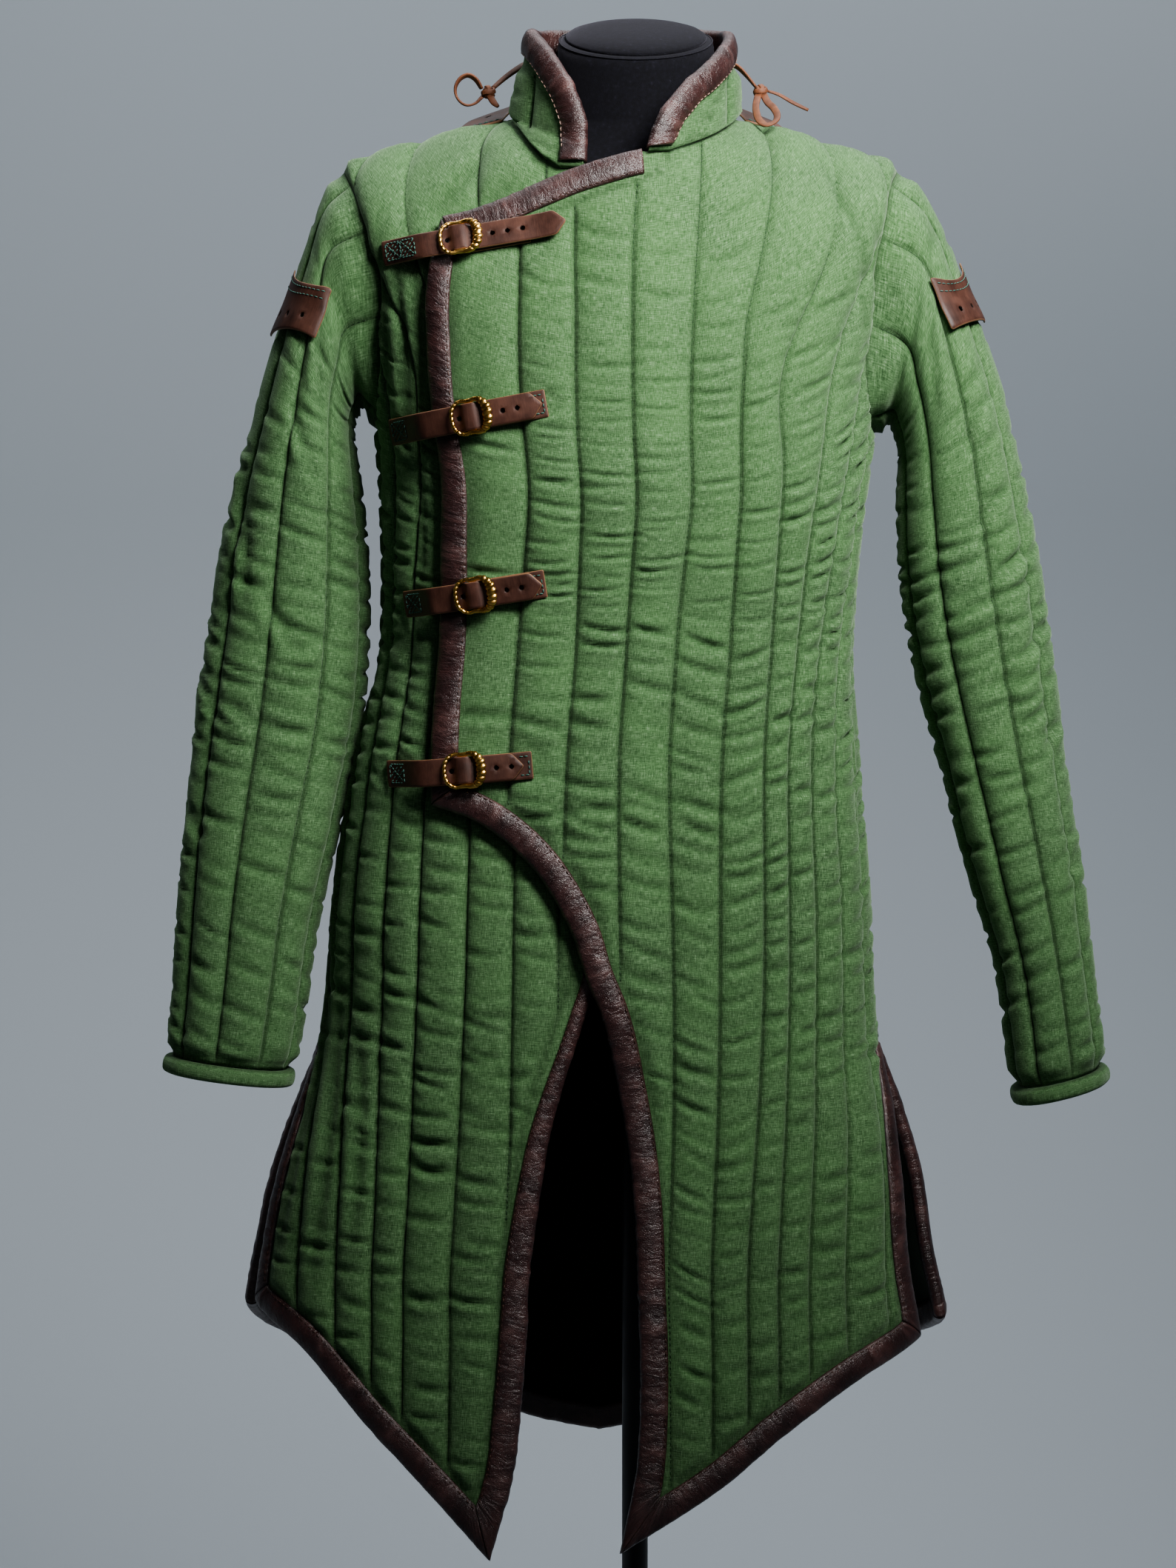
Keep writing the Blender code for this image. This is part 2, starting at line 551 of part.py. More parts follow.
def tidy(verts, faces):
    """One vertex a place, and no unused ones."""
    keys, keep, renamed = {}, [], []
    for v in verts:
        key = tuple(np.round(v, 7))
        if key not in keys:
            keys[key] = len(keep)
            keep.append(v)
        renamed.append(keys[key])
    out = [tuple(renamed[k] for k in f) for f in faces]
    out = [f for f in out if len(set(f)) == len(f)]
    used = sorted({k for f in out for k in f})
    new = {k: n for n, k in enumerate(used)}
    return np.array([keep[k] for k in used]), [tuple(new[k] for k in f) for f in out]


def polygon_area(p):
    q = np.roll(p, -1, axis=0)
    return 0.5 * np.sum(p[:, 0] * q[:, 1] - q[:, 0] * p[:, 1])


def tube(rings, closed=False):
    """Faces over rings of equal counts, with flat ends unless the last joins the first."""
    count, size = len(rings), len(rings[0])
    faces = []
    for j in range(count if closed else count - 1):
        a, b = j * size, (j + 1) % count * size
        for k in range(size):
            n = (k + 1) % size
            faces.append((a + k, a + n, b + n, b + k))
    if not closed:
        faces.append(tuple(reversed(range(size))))
        faces.append(tuple((count - 1) * size + k for k in range(size)))
    verts = np.concatenate(rings)
    return verts, outward(verts, faces)


# ------------------------------------------------------------------ the body's panels

def armhole(column, sign, back=False):
    """The armhole's seam from the shoulder to the armpit, as (round, down)."""
    rows = np.array(ARMHOLE_ROWS)
    curve = resample(rows[:, [column, 0]], STATION)
    inset = curve[:, 0] * (-1 if back else 1)
    return np.stack([sign * (side(curve[:, 1]) - inset - (-GAP / 2 if back else GAP / 2)), curve[:, 1]], 1)


def side_line(top, bottom, sign, shift):
    """A seam down the side line, moved round by shift."""
    h = np.linspace(top, bottom, max(2, int(abs(bottom - top) / STATION) + 1))
    return np.stack([sign * (side(h) + shift), h], axis=1)


def neck_line(start, end):
    s = np.linspace(start, end, max(2, int(abs(end - start) / 0.012) + 1))
    return np.stack([s, neck_drop(s)], axis=1)


def left_of(d):
    return np.array([-d[1], d[0]])


def inward(edges, index):
    """Directions into the panel at each point of an edge, mitred where it meets its neighbours."""
    points = edges[index][2]
    before, after = edges[index - 1], edges[(index + 1) % len(edges)]
    turn = np.sign(polygon_area(np.concatenate([edge[2][:-1] for edge in edges])))
    runs = unit(np.diff(points, axis=0))
    sides = turn * np.array([left_of(d) for d in runs])
    out = np.vstack([sides[:1], unit(sides[:-1] + sides[1:]), sides[-1:]])
    for end, other in ((0, before), (-1, after)):
        run = unit(other[2][-1] - other[2][-2] if end == 0 else other[2][1] - other[2][0])
        if other[1]:
            both = sides[end] + turn * left_of(run)
            out[end] = both / max(both @ sides[end], 0.15)
        else:
            run = -run if end == 0 else run
            if run @ sides[end] > 0.95:
                out[end] = run / (run @ sides[end])
    return out


def per_metre(kind, points, into):
    """Real distance covered by each step of a direction in the panel's own measure."""
    reach = points + unit(into) * 0.004
    real = np.linalg.norm(place(kind, *reach.T, 0.0) - place(kind, *points.T, 0.0), axis=1)
    return np.maximum(real / 0.004, 0.6)


def on_line(point, start, way):
    """Whether a point lies along the line from start towards way."""
    return unit(point - start) @ unit(way - start) > 0.9999


def inner_line(kind, edges, index):
    """The line that a binding's inner edge follows."""
    points = edges[index][2]
    into = inward(edges, index)
    return points + into * (BINDING / per_metre(kind, points, into))[:, None]


def bound_panel(kind, given):
    """A closed panel: its edges in order, each (name, bound, points, inner line of its binding)."""
    edges = [[name, bound, np.array(points, float)] for name, bound, points in given]
    for k, edge in enumerate(edges):
        edge[2][0] = edges[k - 1][2][-1]
    for k, edge in enumerate(edges):
        if edge[1]:
            points = edge[2]
            into = inward(edges, k)
            along = np.concatenate([[0], np.cumsum(np.linalg.norm(np.diff(points, axis=0), axis=1))])
            first = abs(into[0] @ unit(points[1] - points[0])) * BINDING + 0.007
            last = abs(into[-1] @ unit(points[-1] - points[-2])) * BINDING + 0.007
            keep = (along > first) & (along < along[-1] - last)
            keep[0] = keep[-1] = True
            edge[2] = points[keep]
    lines = [inner_line(kind, edges, k) if edge[1] else None for k, edge in enumerate(edges)]
    out = []
    for k, (name, bound, points) in enumerate(edges):
        if not bound:
            before, after = lines[k - 1], lines[(k + 1) % len(edges)]
            if before is not None and on_line(before[-1], points[0], points[1]):
                far = np.linalg.norm(points - points[0], axis=1) > BINDING + 0.008
                points = np.vstack([points[:1], before[-1:], points[far]])
            if after is not None and on_line(after[0], points[-1], points[-2]):
                far = np.linalg.norm(points - points[-1], axis=1) > BINDING + 0.008
                points = np.vstack([points[far], after[:1], points[-1:]])
        out.append((name, bound, points, lines[k]))
    return dict(kind=kind, edges=out)


def overlap_panel():
    return bound_panel("overlap", (
        ("neckline", True, resample(NECKLINE, STATION)),
        ("closing", True, resample(CLOSING_EDGE, STATION)),
        ("sweep", True, resample(SWEEP, STATION)),
        ("hem", True, resample(HEM_OVERLAP, STATION)),
        ("vent", True, resample(VENT_OVERLAP, STATION)),
        ("side", False, side_line(VENT_TOP, ARMPIT, 1, -GAP)),
        ("armhole", False, armhole(1, 1)[::-1]),
        ("shoulder", False, side_line(SHOULDER, 0.0, 1, -GAP)),
        ("neck", False, neck_line(side(0.0) - GAP, NECKLINE[0][0])),
    ))


def underlap_panel():
    return bound_panel("underlap", (
        ("edge", True, resample(UNDERLAP_EDGE, STATION)),
        ("hem", True, resample(HEM_UNDERLAP, STATION)),
        ("vent", True, resample(VENT_UNDERLAP, STATION)),
        ("side", False, side_line(VENT_TOP, ARMPIT, -1, -GAP)),
        ("armhole", False, armhole(2, -1)[::-1]),
        ("shoulder", False, side_line(SHOULDER, 0.0, -1, -GAP)),
        ("neck", False, neck_line(-(side(0.0) - GAP), UNDERLAP_EDGE[0][0])),
    ))


def from_centre(points, sign=1):
    """Places measured from the back's centre line; the left side's are carried round to it."""
    p = np.array(points, float)
    p[:, 0] = p[:, 0] - whole(p[:, 1]) if sign > 0 else p[:, 0] + whole(p[:, 1])
    return p


def back_panel():
    mirror = np.array([-1, 1])
    hem_left = resample(HEM_BACK + VENT_BACK_LEFT[:1], STATION)
    hem_right = resample(HEM_BACK + VENT_BACK_RIGHT[:1], STATION)
    vent_right = resample(VENT_BACK_RIGHT, STATION)
    reach = whole(0.0) - side(0.0) - GAP
    neck_s = np.linspace(reach, -reach, 12)
    return bound_panel("back", (
        ("hem", True, np.vstack([hem_right[::-1] * mirror, hem_left[1:]])),
        ("vent_left", True, resample(VENT_BACK_LEFT, STATION)),
        ("side_left", False, from_centre(side_line(VENT_TOP, ARMPIT, -1, GAP), -1)),
        ("armhole_left", False, from_centre(armhole(3, -1, True)[::-1], -1)),
        ("shoulder_left", False, from_centre(side_line(SHOULDER, 0.0, -1, GAP), -1)),
        ("neck", False, np.stack([neck_s, np.zeros_like(neck_s)], axis=1)),
        ("shoulder_right", False, from_centre(side_line(0.0, SHOULDER, 1, GAP))),
        ("armhole_right", False, from_centre(armhole(3, 1, True))),
        ("side_right", False, from_centre(side_line(ARMPIT, VENT_TOP, 1, GAP))),
        ("vent_right", True, vent_right[::-1] * mirror),
    ))


# ------------------------------------------------------------------ bindings

# The folded leather's section: in is the distance from the cloth's edge over the panel, and out is
# the distance off the wall's middle, as a share of the wall and an addition
BINDING_SECTION = (
    # in / width, share of the wall, addition
    (1.00, 1.0, GAP),
    (1.00, 1.0, GAP + LEATHER),
    (0.05, 1.0, GAP + LEATHER),
    (-0.14, 0.85, 0.0),
    (-0.14, 0.15, 0.0),
    (0.05, 0.0, -GAP - LEATHER),
    (1.00, 0.0, -GAP - LEATHER),
    (1.00, 0.0, -GAP),
    (-0.02, 0.0, -GAP),
    (-0.02, 1.0, GAP),
)


def binding(name, panel, edge_name, trim=(0.0006, 0.0006)):
    """The leather folded over one free edge of a panel."""
    kind, edges = panel["kind"], panel["edges"]
    index = [edge[0] for edge in edges].index(edge_name)
    points = edges[index][2].copy()
    into = edges[index][3] - points
    for end, cut in ((0, trim[0]), (-1, trim[1])):
        neighbour = points[1] if end == 0 else points[-2]
        points[end] += unit(neighbour - points[end]) * cut
    rings = []
    for point, across in zip(points, into):
        ring = []
        for share_in, share_wall, extra in BINDING_SECTION:
            s, h = (point + across * share_in)[:, None]
            out = lift(kind, s, h) + share_wall * EDGE_WALL + extra
            ring.append(place(kind, s, h, out)[0])
        rings.append(np.array(ring))
    size = len(BINDING_SECTION)
    verts = np.concatenate(rings)
    faces = [tuple(reversed(range(size))), tuple(len(verts) - size + k for k in range(size))]
    for j in range(len(rings) - 1):
        a, b = j * size, (j + 1) * size
        for k in range(size):
            n = (k + 1) % size
            if BINDING_SECTION[k][0] <= BINDING_SECTION[n][0]:
                faces += [(a + k, a + n, b + n), (a + k, b + n, b + k)]
            else:
                faces += [(a + k, a + n, b + k), (a + n, b + n, b + k)]
    return add_mesh(name, verts, outward(verts, faces), BINDING_LEATHER)


# ------------------------------------------------------------------ the collar

# its free edge from each front end round to the side, as distance round and up from the neck's ring
COLLAR_RIGHT = ((0.0140, 0.0000), (0.0150, -0.002), (0.0171, 0.0076), (0.0203, 0.0165), (0.0262, 0.0225),
                (0.0400, 0.0370), (0.0580, 0.0445), (0.0780, 0.0510), (0.1000, 0.0570), (0.1235, 0.0600),
                (0.1735, 0.0570))
COLLAR_LEFT = ((-0.0280, 0.0000), (-0.0280, 0.0010), (-0.0290, 0.012), (-0.0340, 0.024), (-0.0420, 0.037),
               (-0.0560, 0.049), (-0.0720, 0.058), (-0.0930, 0.063), (-0.1280, 0.062), (-0.1780, 0.057))
COLLAR_BACK = 0.054     # its height at the back


def collar_panel():
    around = 2 * whole(0.0)
    right, left = np.array(COLLAR_RIGHT), np.array(COLLAR_LEFT)[::-1]
    right[0, 1], left[-1, 1] = -neck_drop(right[0, 0]), -neck_drop(left[-1, 0])
    left[:, 0] += around
    middle = ((right[-1, 0] + left[0, 0]) / 2, COLLAR_BACK)
    free = resample(np.vstack([right, middle, left]) * (1, -1), 0.015)
    foot = np.linspace(free[-1, 0], free[0, 0], 28)
    return bound_panel("collar", (
        ("free", True, free),
        ("foot", False, np.stack([foot, neck_drop(foot)], axis=1)),
    ))


# ------------------------------------------------------------------ the sleeves

# Each ring's outermost and innermost points as seen from the front, its middle's y and half its depth
SLEEVE_ROWS = {
    -1: (
        # x_out, z_out, x_in, z_in, y, deep
        (-0.226, 1.448, -0.196, 1.293, 0.000, 0.068),
        (-0.239, 1.411, -0.201, 1.289, 0.000, 0.070),
        (-0.256, 1.360, -0.204, 1.281, -0.002, 0.070),
        (-0.275, 1.295, -0.202, 1.256, -0.004, 0.070),
        (-0.291, 1.241, -0.197, 1.217, -0.008, 0.064),
        (-0.301, 1.193, -0.194, 1.176, -0.012, 0.058),
        (-0.310, 1.136, -0.194, 1.121, -0.018, 0.052),
        (-0.319, 1.074, -0.200, 1.058, -0.024, 0.049),
        (-0.326, 1.009, -0.214, 0.995, -0.032, 0.048),
        (-0.331, 0.944, -0.228, 0.931, -0.040, 0.046),
        (-0.335, 0.879, -0.238, 0.867, -0.047, 0.043),
        (-0.340, 0.830, -0.246, 0.818, -0.052, 0.040),
    ),
    1: (
        (0.212, 1.444, 0.182, 1.282, 0.000, 0.066),
        (0.233, 1.398, 0.187, 1.276, 0.000, 0.068),
        (0.249, 1.355, 0.190, 1.266, -0.002, 0.068),
        (0.266, 1.306, 0.191, 1.250, -0.004, 0.067),
        (0.280, 1.249, 0.190, 1.220, -0.008, 0.064),
        (0.291, 1.192, 0.192, 1.174, -0.012, 0.060),
        (0.300, 1.135, 0.200, 1.117, -0.018, 0.057),
        (0.310, 1.052, 0.219, 1.041, -0.026, 0.055),
        (0.321, 0.977, 0.238, 0.968, -0.036, 0.053),
        (0.330, 0.896, 0.261, 0.885, -0.044, 0.050),
        (0.340, 0.823, 0.271, 0.805, -0.052, 0.047),
    ),
}
SLEEVE_CHANNELS = 9
SLEEVE_SQUARE = 2.2
CUFF_ROLL = 0.013       # height of the roll at the sleeve's end


class Sleeve:
    """A sleeve's inner face: round it in degrees (0 outermost, 90 front), and along it in metres."""

    def __init__(self, sign):
        self.sign = sign
        rows = np.array(SLEEVE_ROWS[sign])
        top = rows[:, [0, 1]]
        bottom = rows[:, [2, 3]]
        middle = (top + bottom) / 2
        self.centre = np.stack([middle[:, 0], rows[:, 4], middle[:, 1]], axis=1)
        half = (top - bottom) / 2
        self.half = np.linalg.norm(half, axis=1)
        self.out = np.stack([half[:, 0], np.zeros(len(half)), half[:, 1]], axis=1) / self.half[:, None]
        self.deep = rows[:, 5]
        shoulder = on_coat(sign * side(SHOULDER), SHOULDER, 0.0)
        armpit = on_coat(sign * side(ARMPIT), ARMPIT, 0.0)
        first = (shoulder + armpit) / 2
        places = np.vstack([first[None, :], self.centre])
        self.along = np.concatenate([[0], np.cumsum(np.linalg.norm(np.diff(places, axis=0), axis=1))])
        self.length = self.along[-1]
        column = 1 if sign > 0 else 2
        self.loop = [self.half_loop(armhole(column, sign)), self.half_loop(armhole(3, sign, True))]

    def half_loop(self, seam_places):
        s, h = seam_places.T
        lower = on_coat(s, h, 0.0)
        share = np.concatenate([[0], np.cumsum(np.linalg.norm(np.diff(lower, axis=0), axis=1))])
        return share / share[-1], lower, normal(s, h)

    def start(self, turn):
        """The armhole's points and directions at each turn."""
        turn = np.asarray(turn, float) % 360
        point, face = np.zeros(turn.shape + (3,)), np.zeros(turn.shape + (3,))
        for half, pick in ((0, turn <= 180), (1, turn > 180)):
            share, lower, facing = self.loop[half]
            t = np.where(turn <= 180, turn, 360 - turn)[pick] / 180
            for k in range(3):
                point[pick, k] = np.interp(t, share, lower[:, k])
                face[pick, k] = np.interp(t, share, facing[:, k])
        point[..., 0] += self.sign * 0.0010
        return point, unit(face)

    def place(self, turn, along, out):
        """Points at a turn and a distance along, out from the inner face."""
        turn, along, out = np.broadcast_arrays(*(np.asarray(v, float) for v in (turn, along, out)))
        point0, face0 = self.start(turn)
        a = np.radians(turn)
        c, s = np.cos(a), np.sin(a)
        power = 2 / SLEEVE_SQUARE
        c, s = np.sign(c) * np.abs(c)**power, np.sign(s) * np.abs(s)**power
        forward = np.array([0.0, -1.0, 0.0])
        points, faces = [point0], [face0]
        for centre, half, out_way, deep in zip(self.centre, self.half, self.out, self.deep):
            points.append(centre + (half - PAD) * c[..., None] * out_way + (deep - PAD) * s[..., None] * forward)
            faces.append(unit(c[..., None] * out_way / half + s[..., None] * forward / deep))
        points, faces = np.array(points), np.array(faces)
        return self.blend(points, along) + unit(self.blend(faces, along)) * out[..., None]

    def blend(self, values, along):
        """The smooth curve through one value a ring, at each distance along."""
        xs = self.along
        wide = np.diff(xs).reshape((-1,) + (1,) * (values.ndim - 1))
        steps = np.diff(values, axis=0) / wide
        slope = np.concatenate([steps[:1], (steps[:-1] + steps[1:]) / 2, steps[-1:]])
        k = np.clip(np.searchsorted(xs, along) - 1, 0, len(xs) - 2)
        reach = xs[k + 1] - xs[k]
        t = np.clip((along - xs[k]) / reach, 0, 1)[..., None]
        reach = reach[..., None]
        low = tuple(np.indices(k.shape))
        v0, v1 = values[(k,) + low], values[(k + 1,) + low]
        m0, m1 = slope[(k,) + low], slope[(k + 1,) + low]
        return ((2 * t**3 - 3 * t**2 + 1) * v0 + (t**3 - 2 * t**2 + t) * reach * m0
                + (3 * t**2 - 2 * t**3) * v1 + (t**3 - t**2) * reach * m1)

    def wall(self, turn, along):
        u = (np.asarray(turn, float) / 360 * SLEEVE_CHANNELS) % 1
        crown = np.sqrt(np.clip(np.sin(np.pi * u), 0, 1))
        ends = step(along, 0.0, 0.014) * step(along, self.length, self.length - 0.010)
        return LINE_WALL + (PAD - LINE_WALL) * crown * ends


def sleeve_piece(name, sleeve):
    """A quilted tube: three columns a channel outside, the same rings plain inside."""
    step_turn = 360 / SLEEVE_CHANNELS
    turns = np.concatenate([[k * step_turn, (k + 0.25) * step_turn, (k + 0.75) * step_turn]
                            for k in range(SLEEVE_CHANNELS)])
    rows = np.concatenate([[0.0, 0.014], np.linspace(0.045, sleeve.length - 0.012, 13), [sleeve.length]])
    outer = [sleeve.place(turns, np.full_like(turns, w), sleeve.wall(turns, w)) for w in rows]
    inner = [sleeve.place(turns, np.full_like(turns, w), 0.0) for w in rows[::-1]]
    verts, faces = tube(outer + inner, closed=True)
    return add_mesh(name, verts, faces, LINEN)


def cuff_piece(name, sleeve):
    """The roll round the sleeve's end: a ring with a rounded section."""
    turns = np.arange(0, 360, 18.0)
    end = sleeve.length
    away = unit(sleeve.centre[-1] - sleeve.centre[-2])
    section = ((0.0006, -0.0004), (0.0006, 0.0062), (0.0040, 0.0088), (0.0095, 0.0088),
               (CUFF_ROLL, 0.0052), (CUFF_ROLL, 0.0012), (0.0095, -0.0014), (0.0040, -0.0014))
    rings = []
    for turn in turns:
        ring = [sleeve.place(turn, end, out) + away * below for below, out in section]
        rings.append(np.array(ring))
    verts, faces = tube(rings, closed=True)
    return add_mesh(name, verts, faces, LINEN)


# ------------------------------------------------------------------ straps and buckles

STRAP_WIDTH, STRAP_THICK = 0.0190, 0.0022
CHAPE_WIDTH, CHAPE_THICK = 0.0196, 0.0018
STRAP_OUT = 0.0225      # underside of the strap over the chape
HUMP = 0.0038           # its rise over the buckle's bar
RISE_END = (-0.149, -0.142)     # where a long strap and a short one reach it
# strap: sewn end and tip as seen from the front, the buckle's place along it, the chape's end
STRAPS = (
    # x_sewn, z_sewn, x_tip, z_tip, buckle, chape_end, undersides of its sewn end and of its chape
    (-0.179, 1.402, -0.049, 1.423, 0.421, 0.790, 0.0084, 0.0188),
    (-0.174, 1.276, -0.066, 1.296, 0.540, 1.021, 0.0084, 0.0193),
    (-0.164, 1.154, -0.066, 1.170, 0.519, 1.016, 0.0084, 0.0199),
    (-0.176, 1.034, -0.079, 1.043, 0.564, 1.055, 0.0080, 0.0190),
)


def run_of(row):
    """Real length of a strap for its whole share, measured at its buckle."""
    ends = strap_point(row, np.array([row[4] - 0.05, row[4] + 0.05]), 0.0, STRAP_OUT)
    return np.linalg.norm(ends[1] - ends[0]) / 0.1


def strap_rise(row, t):
    """How a strap rises from its sewn end on the cloth to its run over the lap."""
    x = row[0] + (row[2] - row[0]) * t
    return row[6] + (STRAP_OUT - row[6]) * step(x, row[0] + 0.003, RISE_END[row[0] > -0.17])


def strap_height(row, t):
    """Underside of a strap at a share t of its length."""
    off = np.abs(t - row[4]) * run_of(row)
    hump = HUMP * step(off, 0.0080, 0.0035)
    tip = (0.0025 if row[5] < 1 else 0.0) * step(t, 0.80, 1.0)
    return strap_rise(row, t) + hump + tip


def strap_point(row, t, across, out):
    """A point at a share t of the strap's length, off its middle line and out from the coat."""
    x0, z0, x1, z1 = row[:4]
    along = np.array([x1 - x0, z1 - z0])
    cross = np.array([-along[1], along[0]]) / np.linalg.norm(along)
    x, z = x0 + along[0] * row[4], z0 + along[1] * row[4] + np.array([0.01, -0.01])
    steep = np.linalg.norm(np.diff(on_front(x, z, STRAP_OUT, STRAP_OUT), axis=0)) / 0.02
    t, across = np.asarray(t, float), np.asarray(across, float) / steep
    return on_front(x0 + along[0] * t + cross[0] * across, z0 + along[1] * t + cross[1] * across,
                    strap_rise(row, t), out)


def strip(name, row, places, widths, bottoms, thick, look):
    rings = []
    for t, wide, low in zip(places, widths, bottoms):
        side_offsets = np.array([-wide / 2, wide / 2, wide / 2, -wide / 2])
        outs = np.array([low, low, low + thick, low + thick])
        rings.append(strap_point(row, np.full(4, t), side_offsets, outs))
    verts, faces = tube(rings)
    return add_mesh(name, verts, faces, look, sharp=30)


def strap_piece(name, row):
    buckle = row[4]
    length = run_of(row)
    near = [buckle + d / length for d in (-0.012, -0.008, -0.0035, 0.0, 0.0035, 0.008, 0.012)]
    places = np.array(sorted([0.0, 0.07, 0.15, 0.23] + [p for p in near if p > 0.25] + [0.80, 0.88, 0.999]))
    point = 1 - STRAP_WIDTH * 0.45 / length
    widths = np.where(places < point, STRAP_WIDTH, STRAP_WIDTH * np.clip((1 - places) / (1 - point), 0.08, 1))
    return strip(name, row, places, widths, strap_height(row, places), STRAP_THICK, STRAP_LEATHER)


def chape_piece(name, row):
    buckle, end = row[4], row[5]
    length = run_of(row)
    places = np.linspace(buckle - 0.0035 / length, end, 5)
    flat = np.full(len(places), row[7])
    return strip(name, row, places, np.full(len(places), CHAPE_WIDTH), flat, CHAPE_THICK, STRAP_LEATHER)


def buckle_piece(name, row):
    """A cast frame with two lobes, its right bar thick, and the bar that the chape holds."""
    t = row[4]
    length = run_of(row)
    level = STRAP_OUT
    ahead = unit(strap_point(row, t + 0.010 / length, 0.0, level) - strap_point(row, t - 0.010 / length, 0.0, level))
    up = unit(strap_point(row, t, 0.010, level) - strap_point(row, t, -0.010, level))
    out = unit(np.cross(ahead, up))
    out = -out if out[1] > 0 else out
    up = np.cross(out, ahead)
    origin = strap_point(row, t, 0.0, level) - out * level
    rings = []
    for k in range(24):
        a = 2 * math.pi * k / 24
        c, s = math.cos(a), math.sin(a)
        pinch = 1 - 0.06 * math.exp(-(c / 0.22)**2)
        x = (0.0138 if c > 0 else 0.0132) * math.copysign(abs(c)**0.75, c)
        y = 0.0122 * pinch * math.copysign(abs(s)**0.75, s)
        thick = 0.0013 + 0.0007 * max(c, 0)**0.7
        high = STRAP_OUT + STRAP_THICK + 0.0020 + thick - 0.0016 * abs(s)**3
        radial = np.array([c, s])
        centre = origin + ahead * x + up * y + out * high
        way = unit(ahead * radial[0] + up * radial[1])
        rings.append(np.array([centre + thick * (math.cos(b) * way + math.sin(b) * out)
                               for b in np.radians(np.arange(0, 360, 60))]))
    verts, faces = tube(rings, closed=True)
    frame = add_mesh(name, verts, faces, BRASS, sharp=80)
    bar_high = STRAP_OUT + 0.0012
    ends = [origin + up * y + out * (bar_high + rise) for y, rise in
            ((-0.0117, 0.0012), (-0.0100, 0.0), (0.0100, 0.0), (0.0117, 0.0012))]
    ring = [0.0014 * (math.cos(b) * ahead + math.sin(b) * out) for b in np.radians(np.arange(0, 360, 60))]
    verts, faces = tube([np.array([end + r for r in ring]) for end in ends])
    bar = add_mesh(name + "_bar", verts, faces, BRASS)
    bar.hide_render = True
    bar.display_type = "WIRE"
    union = frame.modifiers.new("bar", "BOOLEAN")
    union.operation = "UNION"
    union.object = bar
    return frame


# ------------------------------------------------------------------ tabs, anchors and laces

# Tabs on the sleeves: the turn of the outer side and its ends' distances along, then the inner side's
TABS = {
    -1: ((12.0, 0.050, 0.082), (84.0, 0.021, 0.055)),
    1: ((6.0, 0.052, 0.082), (70.0, 0.031, 0.063)),
}
TAB_THICK = 0.0020
TAB_OUT = 0.0095        # its underside, and the rise of its free end
TAB_RISE = 0.0025
TAB_BOW = np.array([0.0, 0.0115, 0.0030])       # how much lower its ends lie at its middle
# Anchors on the shoulders: distance back from the shoulder seam of the two sides, and down of the ends
ANCHOR_BACK, ANCHOR_DOWN = (0.004, 0.040), (0.012, 0.044)


def tab_piece(name, sleeve):
    outer, inner = np.array(TABS[sleeve.sign])
    rings = []
    for share in np.linspace(0, 1, 8):
        turn, top, bottom = outer + (inner - outer) * share + TAB_BOW * 4 * share * (1 - share)
        rows = np.array([top, (top + bottom) / 2, bottom])
        low = TAB_OUT + np.array([0.0, 0.0, TAB_RISE])
        under = sleeve.place(turn, rows, low)
        over = sleeve.place(turn, rows, low + TAB_THICK)
        rings.append(np.vstack([under, over[::-1]]))
    verts, faces = tube(rings)
    return add_mesh(name, verts, faces, STRAP_LEATHER, sharp=30)


def anchor_piece(name, sign):
    rings = []
    for back in np.linspace(ANCHOR_BACK[0], ANCHOR_BACK[1], 4):
        h = np.linspace(ANCHOR_DOWN[0], ANCHOR_DOWN[1], 3)
        s = sign * (side(h) + back)
        rise = PAD - 0.0040 + 0.012 * (back / ANCHOR_BACK[1])**1.5
        under = on_coat(s, h, np.full(3, rise))
        over = on_coat(s, h, np.full(3, rise + 0.0020))
        rings.append(np.vstack([under, over[::-1]]))
    verts, faces = tube(rings)
    return add_mesh(name, verts, faces, STRAP_LEATHER, sharp=30)


LACE_RADIUS = 0.0020
KNOTS = {-1: (-0.107, 0.015, 1.5235), 1: (0.0907, 0.012, 1.5240)}
